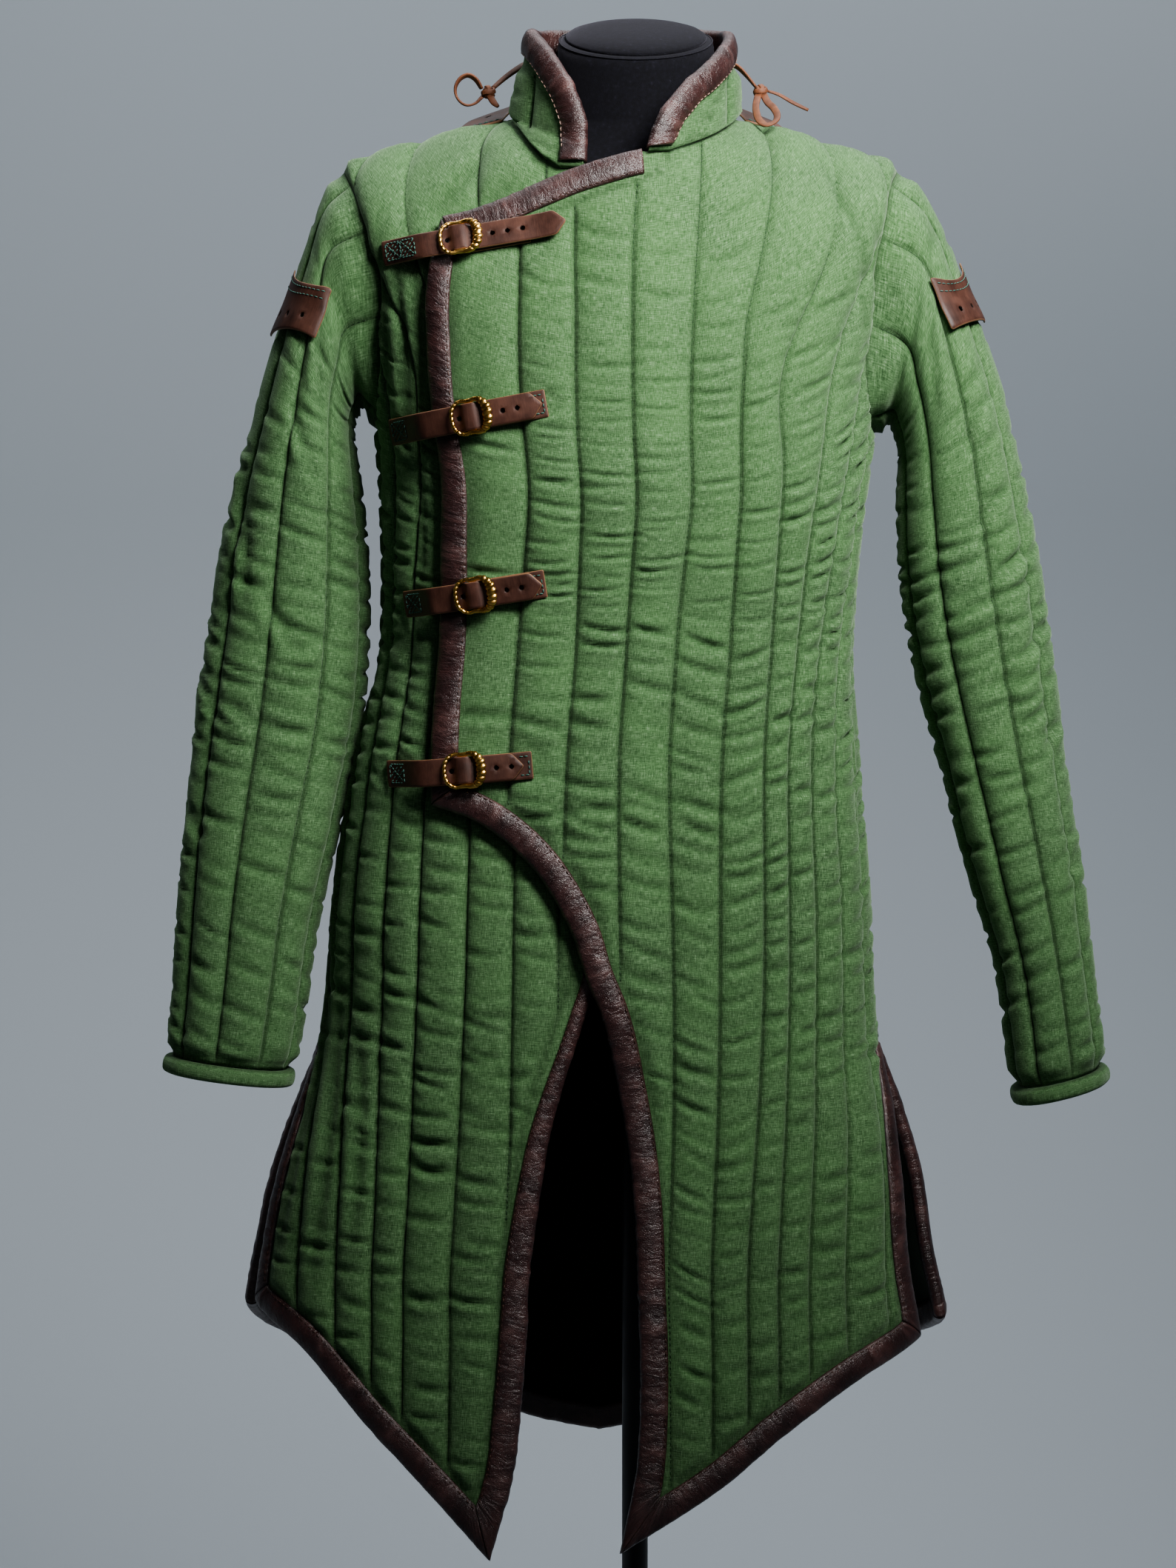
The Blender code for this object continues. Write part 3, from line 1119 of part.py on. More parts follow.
# Routes of the laces, in metres from the knot's middle
LACE_ROUTES = {
    "lace_left_loop": (-1, ((-0.0050, -0.0004, 0.0026), (-0.0092, -0.002, 0.0092), (-0.0145, -0.003, 0.0122),
                            (-0.0200, -0.003, 0.0100), (-0.0240, -0.002, 0.0030), (-0.0225, -0.001, -0.0045),
                            (-0.0165, 0.000, -0.0092), (-0.0100, 0.001, -0.0080), (-0.0044, 0.0006, -0.0029))),
    "lace_left_strand": (-1, ((0.0032, 0.0020, 0.0032), (0.0120, 0.0046, 0.0110), (0.0210, 0.0060, 0.0175),
                              (0.0273, 0.0099, 0.0212), (0.0336, 0.0194, 0.0205))),
    "lace_left_tail": (-1, ((0.0012, -0.0036, -0.0029), (0.0040, -0.0080, -0.0078), (0.0072, -0.0110, -0.0110))),
    "lace_right_loop": (1, ((-0.0018, -0.0036, -0.0027), (-0.0037, -0.0150, -0.0105), (-0.0039, -0.0280, -0.0170),
                            (-0.0018, -0.0400, -0.0240), (0.0028, -0.0470, -0.0275), (0.0085, -0.0450, -0.0252),
                            (0.0108, -0.0360, -0.0200), (0.0085, -0.0240, -0.0135), (0.0050, -0.0130, -0.0090),
                            (0.0021, -0.0036, -0.0026))),
    "lace_right_strand": (1, ((-0.0032, 0.0021, 0.0032), (-0.0108, 0.0040, 0.0125), (-0.0165, 0.0046, 0.0180),
                              (-0.0208, 0.0069, 0.0200), (-0.0256, 0.0170, 0.0190))),
    "lace_right_tail": (1, ((0.0051, 0.0008, 0.0004), (0.0130, 0.002, -0.0020), (0.0230, 0.003, -0.0075),
                            (0.0349, 0.003, -0.0133))),
}


def lace_piece(name, sign, route):
    """A round-bodied thong along a smooth curve through its route's points."""
    points = resample(np.array(route) + np.array(KNOTS[sign]), 0.0045)
    curve = bpy.data.curves.new(name, "CURVE")
    curve.dimensions = "3D"
    curve.bevel_depth = LACE_RADIUS
    curve.bevel_resolution = 2
    curve.use_fill_caps = True
    spline = curve.splines.new("POLY")
    spline.points.add(len(points) - 1)
    for target, point in zip(spline.points, points):
        target.co = (*point, 1)
    curve.materials.append(material(*LACE_LEATHER))
    ob = bpy.data.objects.new(name, curve)
    bpy.context.collection.objects.link(ob)
    return ob


def ball(name, centre, radii, look, rows=7, columns=10):
    """A closed round solid of stacked rings."""
    rings = []
    for k in range(1, rows):
        a = math.pi * k / rows
        rings.append(np.array([[centre[0] + radii[0] * math.sin(a) * math.cos(b),
                                centre[1] + radii[1] * math.sin(a) * math.sin(b),
                                centre[2] + radii[2] * math.cos(a)]
                               for b in 2 * math.pi * np.arange(columns) / columns]))
    verts, faces = tube(rings)
    return add_mesh(name, verts, faces, look, sharp=60)


# ------------------------------------------------------------------ the dress form and its stand

# Down from the neck seam, how far the form is inside the coat: the coat rests on the shoulders
FORM_ROWS = ((0.018, 0.0160), (0.045, 0.0074), (0.085, 0.0056), (0.125, 0.0092), (0.180, 0.0140), (0.250, 0.0180),
             (0.320, 0.0180), (0.400, 0.0180), (0.480, 0.0330), (0.560, 0.0550))
FORM_END = (0.840, 0.148, 0.112, 0.106, 2.4)    # its lower end: z, half, front, back, square
FORM_COLUMNS = 24
NECK_HALF, NECK_BACK = 0.0565, 0.047
NECK_TILT = 0.33        # the neck's top falls this much per metre towards the front
NECK_TOP = 1.561        # height of its rim over the axis
POLE_RADIUS, BASE_RADIUS, BASE_HIGH = 0.0095, 0.200, 0.012


def form_ring(z, half, front, back, square, columns=FORM_COLUMNS, tilt=0.0):
    a = 2 * math.pi * np.arange(columns) / columns
    c, s = np.cos(a), np.sin(a)
    x = half * np.sign(s) * np.abs(s)**(2 / square)
    y = np.where(c > 0, -front, back) * np.abs(c)**(2 / square)
    return np.stack([x, y, z + tilt * y], axis=1)


def form_pieces():
    neck = [(NECK_TOP - 0.0000, 0.0520), (NECK_TOP - 0.0020, 0.0552), (NECK_TOP - 0.0065, NECK_HALF)]
    rings = [form_ring(z, r, r, r - 0.0095, 2.0, tilt=NECK_TILT) for z, r in neck]
    rings += [form_ring(1.502, NECK_HALF, NECK_HALF, NECK_BACK, 2.0, tilt=0.10)]
    turns = np.arange(FORM_COLUMNS) / FORM_COLUMNS
    for h, inset in FORM_ROWS:
        s = 2 * whole(h) * turns
        rings.append(on_coat(s, np.full_like(s, h), np.full_like(s, -inset)))
    rings.append(form_ring(*FORM_END))
    verts, faces = tube(rings)
    body = add_mesh("form_body", verts, faces, FORM_CLOTH)
    dome = [(NECK_TOP + GAP, 0.0515), (NECK_TOP + 0.0042, 0.0480), (NECK_TOP + 0.0080, 0.0330), (NECK_TOP + 0.0094, 0.0150)]
    verts, faces = tube([form_ring(z, r, r, r - 0.0095, 2.0, tilt=NECK_TILT) for z, r in dome])
    cap = add_mesh("form_cap", verts, faces, FORM_CLOTH)
    foot = FORM_END[0] - 0.0003
    rings = [form_ring(z, POLE_RADIUS, POLE_RADIUS, POLE_RADIUS, 2.0, 16) for z in (foot, BASE_HIGH + 0.0003)]
    verts, faces = tube(rings)
    pole = add_mesh("form_pole", verts, faces, STAND_STEEL)
    plate = [(BASE_HIGH, 0.020), (BASE_HIGH, 0.060), (0.007, BASE_RADIUS - 0.004), (0.005, BASE_RADIUS),
             (0.000, BASE_RADIUS)]
    verts, faces = tube([form_ring(z, r, r, r, 2.0, 30) for z, r in plate])
    base = add_mesh("form_base", verts, faces, STAND_STEEL)
    return body, cap, pole, base


# ------------------------------------------------------------------ the whole

def build():
    clear_scene()
    overlap, underlap, back = overlap_panel(), underlap_panel(), back_panel()
    collar = collar_panel()
    cloth_panel("front_overlap", overlap)
    cloth_panel("front_underlap", underlap)
    cloth_panel("back", back)
    cloth_panel("collar", collar)
    binding("neckline_binding", overlap, "neckline")
    binding("closing_binding", overlap, "closing")
    binding("sweep_binding", overlap, "sweep")
    binding("hem_binding_overlap", overlap, "hem")
    binding("vent_binding_overlap", overlap, "vent")
    binding("edge_binding_underlap", underlap, "edge", (0.0060, 0.0006))
    binding("hem_binding_underlap", underlap, "hem")
    binding("vent_binding_underlap", underlap, "vent")
    binding("hem_binding_back", back, "hem")
    binding("vent_binding_back_left", back, "vent_left")
    binding("vent_binding_back_right", back, "vent_right")
    binding("collar_binding", collar, "free", (0.0022, 0.0022))
    for word, sign in (("left", -1), ("right", 1)):
        sleeve = Sleeve(sign)
        sleeve_piece("sleeve_" + word, sleeve)
        cuff_piece("cuff_" + word, sleeve)
        tab_piece("tab_" + word, sleeve)
        anchor_piece("anchor_" + word, sign)
        ball("knot_" + word, KNOTS[sign], (0.0045, 0.0042, 0.0046), LACE_LEATHER)
    for name, (sign, route) in LACE_ROUTES.items():
        lace_piece(name, sign, route)
    for k, row in enumerate(STRAPS, start=1):
        strap_piece("strap_%d" % k, row)
        chape_piece("chape_%d" % k, row)
        buckle_piece("buckle_%d" % k, row)
    form_pieces()


build()
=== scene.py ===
"""Looks of a quilted gambeson on a limbless dress form: cloth, leather, brass, thread and light.

Metres, +Z up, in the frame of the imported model.  A place on the coat is (round, down): the cloth
distance round from the front's centre line, positive towards +X, and down from the neck seam.
The same named sizes and rows give the fine surfaces here and the plain solids of the frame.
"""
import math

import bpy
import numpy as np
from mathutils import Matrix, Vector
from mathutils.geometry import delaunay_2d_cdt


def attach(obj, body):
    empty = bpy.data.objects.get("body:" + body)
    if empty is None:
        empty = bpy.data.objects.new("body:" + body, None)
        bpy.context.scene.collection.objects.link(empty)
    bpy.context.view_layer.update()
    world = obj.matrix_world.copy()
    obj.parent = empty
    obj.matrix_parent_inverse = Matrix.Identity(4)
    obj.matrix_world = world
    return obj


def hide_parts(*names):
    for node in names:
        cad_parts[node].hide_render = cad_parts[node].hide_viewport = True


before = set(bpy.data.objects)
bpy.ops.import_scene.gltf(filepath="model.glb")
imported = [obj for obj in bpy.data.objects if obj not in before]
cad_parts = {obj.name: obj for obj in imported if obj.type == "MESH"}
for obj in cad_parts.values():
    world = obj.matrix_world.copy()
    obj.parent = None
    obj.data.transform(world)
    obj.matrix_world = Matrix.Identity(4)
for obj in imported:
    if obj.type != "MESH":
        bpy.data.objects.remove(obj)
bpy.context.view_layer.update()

# ------------------------------------------------------------------ driving sizes

GAP = 0.0004            # between pieces that touch
PAD = 0.0080            # padded wall at a channel's crown
LINE_WALL = 0.0035      # padded wall under a quilting line
EDGE_WALL = 0.0045      # wall inside a binding
PRESSED = 0.0050        # the underlap's thickness where the overlap presses on it
LAP_LIFT = 0.0115       # how far the overlap lies outside the underlap
BINDING = 0.017         # width of the leather binding
LEATHER = 0.0018        # its thickness
STATION = 0.004         # spacing of the points along an edge
NECK_FADE = 0.024       # the wall thins towards the collar over this distance
VENT_TOP = 0.765        # where the side vents begin, down from the neck seam
ARMPIT = 0.318          # where the side seams begin
SHOULDER = 0.125        # where the shoulder seams end
# The coat's outside, row by row.  drop: distance down from the neck seam; the z columns: height at
# the side, front and back; mid: centre across; half: half width; front, back: depth from the axis;
# square: 2 is an ellipse, more is squarer
BODY_ROWS = (
    # drop, z_side, z_front, z_back, mid, half, front, back, square
    (0.000, 1.500, 1.478, 1.512, -0.008, 0.083, 0.098, 0.058, 2.0),
    (0.040, 1.490, 1.434, 1.490, -0.010, 0.122, 0.112, 0.085, 2.1),
    (0.082, 1.479, 1.393, 1.456, -0.011, 0.163, 0.122, 0.103, 2.2),
    (0.125, 1.464, 1.356, 1.415, -0.011, 0.205, 0.130, 0.115, 2.3),
    (0.175, 1.415, 1.318, 1.370, -0.011, 0.198, 0.136, 0.122, 2.4),
    (0.245, 1.347, 1.272, 1.310, -0.010, 0.189, 0.139, 0.124, 2.5),
    (0.315, 1.278, 1.228, 1.250, -0.008, 0.181, 0.139, 0.122, 2.6),
    (0.375, 1.218, 1.190, 1.200, -0.010, 0.175, 0.135, 0.114, 2.8),
    (0.430, 1.165, 1.155, 1.157, -0.012, 0.172, 0.131, 0.108, 2.9),
    (0.485, 1.110, 1.110, 1.110, -0.015, 0.172, 0.130, 0.108, 3.0),
    (0.550, 1.045, 1.045, 1.045, -0.021, 0.183, 0.134, 0.116, 3.0),
    (0.660, 0.935, 0.935, 0.935, -0.025, 0.196, 0.144, 0.134, 2.9),
    (0.763, 0.832, 0.832, 0.832, -0.025, 0.204, 0.153, 0.150, 2.8),
    (0.810, 0.785, 0.785, 0.785, -0.025, 0.221, 0.157, 0.157, 2.7),
    (0.860, 0.735, 0.735, 0.735, -0.026, 0.237, 0.162, 0.165, 2.6),
    (0.920, 0.675, 0.675, 0.675, -0.027, 0.247, 0.168, 0.174, 2.5),
    (0.960, 0.635, 0.635, 0.635, -0.026, 0.255, 0.172, 0.180, 2.5),
    (1.120, 0.475, 0.475, 0.475, -0.026, 0.270, 0.184, 0.196, 2.4),
)
# How much wider the coat's left side stands than its right, as a share, at these distances down
LEFT_FLARE = ((0.000, 0.000), (0.700, 0.000), (0.763, 0.016), (0.810, 0.020), (0.860, 0.024), (0.920, 0.034),
              (1.120, 0.036))
# Quilting lines: how far each lies from the front's centre line at these distances down
LINE_DOWN = (0.00, 0.06, 0.13, 0.19, 0.295, 0.485, 0.69, 0.90, 1.12)
OVERLAP_LINES = (
    (-0.160, -0.165, -0.170, -0.170, -0.170, -0.170, -0.170, -0.170, -0.170),
    (-0.066, -0.070, -0.071, -0.070, -0.066, -0.068, -0.064, -0.064, -0.060),
    (-0.030, -0.032, -0.032, -0.032, -0.031, -0.029, -0.027, -0.025, -0.022),
    (+0.010, +0.008, +0.007, +0.007, +0.007, +0.006, +0.013, +0.015, +0.018),
    (+0.060, +0.055, +0.050, +0.048, +0.046, +0.041, +0.050, +0.049, +0.049),
    (+0.165, +0.123, +0.092, +0.086, +0.081, +0.079, +0.083, +0.079, +0.078),
    (+0.290, +0.225, +0.155, +0.120, +0.113, +0.109, +0.115, +0.105, +0.103),
    (+0.360, +0.300, +0.235, +0.180, +0.148, +0.129, +0.134, +0.127, +0.125),
    (+0.430, +0.370, +0.300, +0.235, +0.185, +0.149, +0.156, +0.150, +0.148),
    (+0.500, +0.440, +0.360, +0.290, +0.222, +0.174, +0.182, +0.179, +0.178),
    (+0.570, +0.510, +0.420, +0.340, +0.260, +0.205, +0.215, +0.215, +0.218),
    (+0.640, +0.580, +0.480, +0.390, +0.300, +0.240, +0.250, +0.252, +0.260),
    (+0.710, +0.650, +0.540, +0.440, +0.340, +0.280, +0.295, +0.300, +0.310),
)
UNDERLAP_LINES = (
    (+0.030, +0.030, +0.030, +0.030, +0.030, +0.030, +0.030, +0.030, +0.030),
    (-0.030, -0.030, -0.030, -0.030, -0.030, -0.030, -0.030, -0.030, -0.030),
    (-0.058, -0.056, -0.054, -0.055, -0.060, -0.062, -0.062, -0.064, -0.066),
    (-0.150, -0.115, -0.092, -0.090, -0.092, -0.094, -0.095, -0.101, -0.105),
    (-0.290, -0.225, -0.155, -0.125, -0.125, -0.127, -0.130, -0.134, -0.138),
    (-0.360, -0.300, -0.235, -0.170, -0.155, -0.152, -0.158, -0.157, -0.160),
    (-0.430, -0.370, -0.300, -0.225, -0.190, -0.180, -0.190, -0.185, -0.190),
    (-0.500, -0.440, -0.370, -0.280, -0.225, -0.212, -0.225, -0.219, -0.222),
    (-0.570, -0.510, -0.440, -0.330, -0.260, -0.245, -0.257, -0.255, -0.262),
    (-0.640, -0.580, -0.510, -0.380, -0.300, -0.285, -0.292, -0.292, -0.302),
    (-0.710, -0.650, -0.580, -0.430, -0.340, -0.330, -0.330, -0.335, -0.345),
)
BACK_PITCH = 0.040      # the back's lines stand this far apart, either side of its centre
COLLAR_LINES = np.array([-0.02, 0.092, 0.150, 0.205, 0.271, 0.326, 0.384, 0.52])
# The armholes: how far the seam lies in from the side line, at each distance down
ARMHOLE_ROWS = (
    # down, front_right, front_left, back
    (0.125, 0.000, 0.000, 0.000),
    (0.127, 0.050, 0.058, 0.045),
    (0.145, 0.067, 0.088, 0.060),
    (0.180, 0.065, 0.086, 0.062),
    (0.215, 0.064, 0.075, 0.060),
    (0.255, 0.062, 0.062, 0.055),
    (0.290, 0.052, 0.047, 0.042),
    (0.310, 0.025, 0.022, 0.020),
    (0.318, 0.000, 0.000, 0.000),
)
# The neck seam hangs below the neck's ring at the front: how far, at these distances round
NECK_DROP = ((-0.138, 0.0000), (-0.120, 0.0030), (-0.100, 0.0060), (-0.080, 0.0115), (-0.060, 0.0180),
             (-0.045, 0.0205), (-0.036, 0.0190), (-0.028, 0.0165), (-0.020, 0.0165), (0.0107, 0.0088),
             (0.0235, 0.0100), (0.030, 0.0090), (0.040, 0.0070), (0.050, 0.0050), (0.060, 0.0048),
             (0.075, 0.0045), (0.100, 0.0035), (0.138, 0.0000))
# Free edges of the panels, as (round, down)
NECKLINE = ((0.0107, 0.0088), (0.0031, 0.0102), (-0.0105, 0.0145), (-0.0323, 0.0243), (-0.0617, 0.0428),
            (-0.0878, 0.0620), (-0.1090, 0.0772), (-0.1360, 0.0955))
CLOSING_EDGE = ((-0.1360, 0.0955), (-0.1385, 0.130), (-0.1375, 0.170), (-0.1335, 0.235), (-0.1265, 0.300),
                (-0.1225, 0.370), (-0.1195, 0.455), (-0.1195, 0.513), (-0.1165, 0.581))
SWEEP = ((-0.1165, 0.581), (-0.0920, 0.589), (-0.068, 0.604), (-0.047, 0.624), (-0.029, 0.650),
         (-0.017, 0.674), (-0.009, 0.700), (0.003, 0.731), (0.015, 0.786), (0.023, 0.834),
         (0.028, 0.882), (0.030, 0.942), (0.030, 1.000), (0.027, 1.050), (0.017, 1.100))
HEM_OVERLAP = ((0.017, 1.100), (0.085, 1.057), (0.128, 1.023), (0.187, 0.987), (0.247, 0.965))
VENT_OVERLAP = ((0.247, 0.965), (0.241, 0.920), (0.236, 0.870), (0.239, 0.815), (0.258, VENT_TOP))
LAP_OUTLINE = NECKLINE + CLOSING_EDGE[1:] + SWEEP[1:8] + ((0.050, 0.740), (0.050, 0.000))
UNDERLAP_EDGE = ((-0.020, 0.0165), (-0.020, 0.180), (-0.020, 0.420), (-0.018, 0.580), (-0.003, 0.692),
                 (-0.014, 0.734), (-0.026, 0.772), (-0.037, 0.812), (-0.043, 0.854), (-0.048, 0.898),
                 (-0.051, 0.944), (-0.055, 0.990), (-0.061, 1.048), (-0.076, 1.106))
HEM_UNDERLAP = ((-0.076, 1.106), (-0.112, 1.066), (-0.158, 1.020), (-0.215, 0.966), (-0.273, 0.944))
VENT_UNDERLAP = ((-0.273, 0.944), (-0.270, 0.905), (-0.266, 0.870), (-0.261, 0.832), (-0.260, 0.800),
                 (-0.270, VENT_TOP))
# the back's edges are measured from its own centre line, the same on both sides but for the vents
HEM_BACK = ((0.000, 1.085), (0.050, 1.074), (0.110, 1.046), (0.225, 1.004))
VENT_BACK_LEFT = ((0.332, 0.958), (0.318, 0.905), (0.307, 0.855), (0.298, 0.812), (0.287, VENT_TOP))
VENT_BACK_RIGHT = ((0.350, 0.966), (0.332, 0.905), (0.316, 0.855), (0.302, 0.812), (0.287, VENT_TOP))


# ------------------------------------------------------------------ curves and surfaces


def smooth(x, xs, ys):
    """Value at x of the smooth curve through the points xs, ys."""
    xs, ys, x = np.asarray(xs, float), np.asarray(ys, float), np.asarray(x, float)
    steps = np.diff(ys) / np.diff(xs)
    slope = np.concatenate([steps[:1], (steps[:-1] + steps[1:]) / 2, steps[-1:]])
    k = np.clip(np.searchsorted(xs, x) - 1, 0, len(xs) - 2)
    wide = xs[k + 1] - xs[k]
    t = np.clip((x - xs[k]) / wide, 0, 1)
    return ((2 * t**3 - 3 * t**2 + 1) * ys[k] + (t**3 - 2 * t**2 + t) * wide * slope[k]
            + (3 * t**2 - 2 * t**3) * ys[k + 1] + (t**3 - t**2) * wide * slope[k + 1])


def step(x, low, high):
    """0 below low, 1 above high, smooth between; low may be the larger one."""
    t = np.clip((np.asarray(x, float) - low) / (high - low), 0, 1)
    return t * t * (3 - 2 * t)


def resample(points, spacing):
    """Even points along the smooth curve through the given ones, both ends kept."""
    p = np.asarray(points, float)
    along = np.concatenate([[0], np.cumsum(np.linalg.norm(np.diff(p, axis=0), axis=1))])
    dense = np.linspace(0, along[-1], 400)
    curve = np.stack([smooth(dense, along, p[:, k]) for k in range(p.shape[1])], axis=1)
    along = np.concatenate([[0], np.cumsum(np.linalg.norm(np.diff(curve, axis=0), axis=1))])
    count = max(2, int(round(along[-1] / spacing)) + 1)
    places = np.linspace(0, along[-1], count)
    return np.stack([np.interp(places, along, curve[:, k]) for k in range(p.shape[1])], axis=1)
LEVELS = np.linspace(0, BODY_ROWS[-1][0], 225)
TURN = np.radians(np.linspace(0, 180, 241))


def ring_table():
    """Half of each level's ring, from the front's centre to the back's, and the length along it."""
    rows = np.array(BODY_ROWS)
    z_side, z_front, z_back, mid, half, front, back, square = (
        smooth(LEVELS, rows[:, 0], rows[:, k])[:, None] for k in range(1, 9))
    power = 2 / square
    ahead, behind = np.maximum(np.cos(TURN), 0), np.maximum(-np.cos(TURN), 0)
    across = (half - PAD) * np.sin(TURN)**power
    depth = (back - PAD) * behind**power - (front - PAD) * ahead**power
    height = z_side + (z_front - z_side) * ahead**1.5 + (z_back - z_side) * behind**1.5
    piece = np.sqrt(np.diff(across)**2 + np.diff(depth)**2 + np.diff(height)**2)
    length = np.concatenate([np.zeros((len(LEVELS), 1)), np.cumsum(piece, axis=1)], axis=1)
    return mid[:, 0], across, depth, height, length
MID, ACROSS, DEPTH, HEIGHT, LENGTH = ring_table()
SIDE_LENGTH, WHOLE_LENGTH = LENGTH[:, 120], LENGTH[:, -1]
LEFT_SHARE = 1 + np.interp(LEVELS, *np.array(LEFT_FLARE).T)


def side(down):
    """Distance round from the front's centre line to the side line."""
    return np.interp(down, LEVELS, SIDE_LENGTH)


def whole(down):
    """Distance round from the front's centre line to the back's."""
    return np.interp(down, LEVELS, WHOLE_LENGTH)


def skin(s, h):
    """Points of the cloth's inner face at s round and h down."""
    s, h = np.asarray(s, float), np.asarray(h, float)
    shape = np.broadcast(s, h).shape
    s, h = np.broadcast_to(s, shape).ravel(), np.broadcast_to(h, shape).ravel()
    place = np.clip(h / LEVELS[-1], 0, 1) * (len(LEVELS) - 1)
    low = np.minimum(place.astype(int), len(LEVELS) - 2)
    part = place - low
    out = np.zeros((len(s), 3))
    for k in np.unique(low):
        pick = low == k
        for row, weight in ((k, 1 - part[pick]), (k + 1, part[pick])):
            a = np.abs(s[pick])
            past = a > WHOLE_LENGTH[row]
            a = np.where(past, 2 * WHOLE_LENGTH[row] - a, a)
            sign = np.where(past, -1, 1) * np.where(s[pick] < 0, -1, 1)
            wide = np.where(sign < 0, -LEFT_SHARE[row], 1.0)
            out[pick, 0] += weight * (MID[row] + wide * np.interp(a, LENGTH[row], ACROSS[row]))
            out[pick, 1] += weight * np.interp(a, LENGTH[row], DEPTH[row])
            out[pick, 2] += weight * np.interp(a, LENGTH[row], HEIGHT[row])
    above = h < 0
    if above.any():
        start = skin(s[above], 0.0)
        out[above] = start + (skin(s[above], 0.004) - start) * (h[above] / 0.004)[:, None]
    return out.reshape(shape + (3,))


def unit(v):
    return v / np.maximum(np.linalg.norm(v, axis=-1, keepdims=True), 1e-9)


def normal(s, h, reach=0.004):
    """Direction out of the cloth."""
    s, h = np.asarray(s, float), np.asarray(h, float)
    across = skin(s + reach, h) - skin(s - reach, h)
    down = skin(s, h + reach) - skin(s, h - reach)
    return unit(np.cross(down, across))


def on_coat(s, h, out):
    return skin(s, h) + normal(s, np.maximum(h, 0.004)) * np.asarray(out, float)[..., None]


def either_side(s):
    """Distances round from the front's centre line, negative past the back's."""
    return np.where(s > whole(0.0), s - 2 * whole(0.0), s)


def neck_drop(s):
    """How far the neck seam hangs below the neck's ring."""
    return np.interp(either_side(s), *np.array(NECK_DROP).T)


def collar_foot(s, below=0.0):
    """Where the collar's inner face stands on the coat's neck, and lies on the coat below the ring."""
    over = LAP_LIFT * step(s, 0.058, 0.006)
    return on_coat(either_side(s), np.full_like(s, 0.001) + below, over + LINE_WALL + 2.6 * GAP)


def on_collar(s, up, out):
    """Points of the collar, up from the neck's ring and out from its inner face."""
    s, up = (v.astype(float) for v in np.broadcast_arrays(s, up))
    foot = collar_foot(s)
    run = unit(collar_foot(s + 0.003) - collar_foot(s - 0.003))
    corner = np.abs(foot[..., 0] + 0.008) * np.abs(foot[..., 1]) / (0.055 * 0.045)
    less = 1 - 0.6 * np.clip(corner, 0, 1)
    lean = np.stack([0.046 - 2.4 * foot[..., 0] * less, -0.8 * (foot[..., 1] + 0.010) * less,
                     np.ones_like(s)], axis=-1)
    face = unit(np.cross(run, np.broadcast_to((0.0, 0.0, 1.0), run.shape)))
    rise = unit(lean)
    below = np.maximum(-up, 0.0)
    laid = np.clip(below / 0.008, 0, 1)[..., None]
    face = unit(face * (1 - laid) + normal(either_side(s), np.maximum(below, 0.004)) * laid)
    foot = collar_foot(s, below)
    return foot + rise * (np.maximum(up, 0.0) + 0.0005)[..., None] + face * np.asarray(out, float)[..., None]


def place(kind, s, h, out):
    """A point of any panel: the back's places are measured round from its own centre line, and
    the collar's have their height as a negative distance down."""
    if kind == "collar":
        return on_collar(s, -np.asarray(h, float), out)
    if kind == "back":
        return on_coat(s + whole(h), h, out)
    return on_coat(s, h, out)


# ------------------------------------------------------------------ panels of the coat


def line_places(lines, h):
    """Each quilting line's distance round at h, sorted from -X to +X."""
    places = np.array([smooth(h, LINE_DOWN, row) for row in lines])
    return np.sort(places, axis=0)


def lines_of(kind, h):
    h = np.atleast_1d(np.asarray(h, float))
    if kind == "back":
        return (np.arange(-10, 10) + 0.5)[:, None] * BACK_PITCH * np.ones_like(h)
    if kind == "collar":
        return COLLAR_LINES[:, None] * np.ones_like(h)
    return line_places(OVERLAP_LINES if kind == "overlap" else UNDERLAP_LINES, h)


def lift(kind, s, h):
    """How far a panel's inner face lies out from the coat's own inner face."""
    if kind != "overlap":
        return np.zeros_like(np.asarray(s, float))
    return LAP_LIFT * step(s, 0.058, 0.006) * step(h, 0.800, 0.720)


def edge_distance(points, edge):
    """Distance of each point from a line through points."""
    best = np.full(len(points), 1e9)
    for a, b in zip(edge[:-1], edge[1:]):
        d = b - a
        t = np.clip(((points - a) @ d) / max(d @ d, 1e-12), 0, 1)
        best = np.minimum(best, np.linalg.norm(points - a - t[:, None] * d, axis=1))
    return best


def inside(points, outline):
    """Which points lie inside a closed outline."""
    x, y = points[:, 0], points[:, 1]
    odd = np.zeros(len(points), bool)
    for (x0, y0), (x1, y1) in zip(outline, np.roll(outline, -1, axis=0)):
        cross = (y0 > y) != (y1 > y)
        odd ^= cross & (x < (x1 - x0) * (y - y0) / (y1 - y0 + 1e-15) + x0)
    return odd


def closed_outline(panel):
    return np.concatenate([edge[2][:-1] for edge in panel["edges"]])


def polygon_area(p):
    q = np.roll(p, -1, axis=0)
    return 0.5 * np.sum(p[:, 0] * q[:, 1] - q[:, 0] * p[:, 1])


def armhole(column, sign, back=False):
    """The armhole's seam from the shoulder to the armpit, as (round, down)."""
    rows = np.array(ARMHOLE_ROWS)
    curve = resample(rows[:, [column, 0]], STATION)
    inset = curve[:, 0] * (-1 if back else 1)
    return np.stack([sign * (side(curve[:, 1]) - inset - (-GAP / 2 if back else GAP / 2)), curve[:, 1]], 1)


def side_line(top, bottom, sign, shift):
    """A seam down the side line, moved round by shift."""
    h = np.linspace(top, bottom, max(2, int(abs(bottom - top) / STATION) + 1))
    return np.stack([sign * (side(h) + shift), h], axis=1)


def neck_line(start, end):
    s = np.linspace(start, end, max(2, int(abs(end - start) / 0.012) + 1))
    return np.stack([s, neck_drop(s)], axis=1)


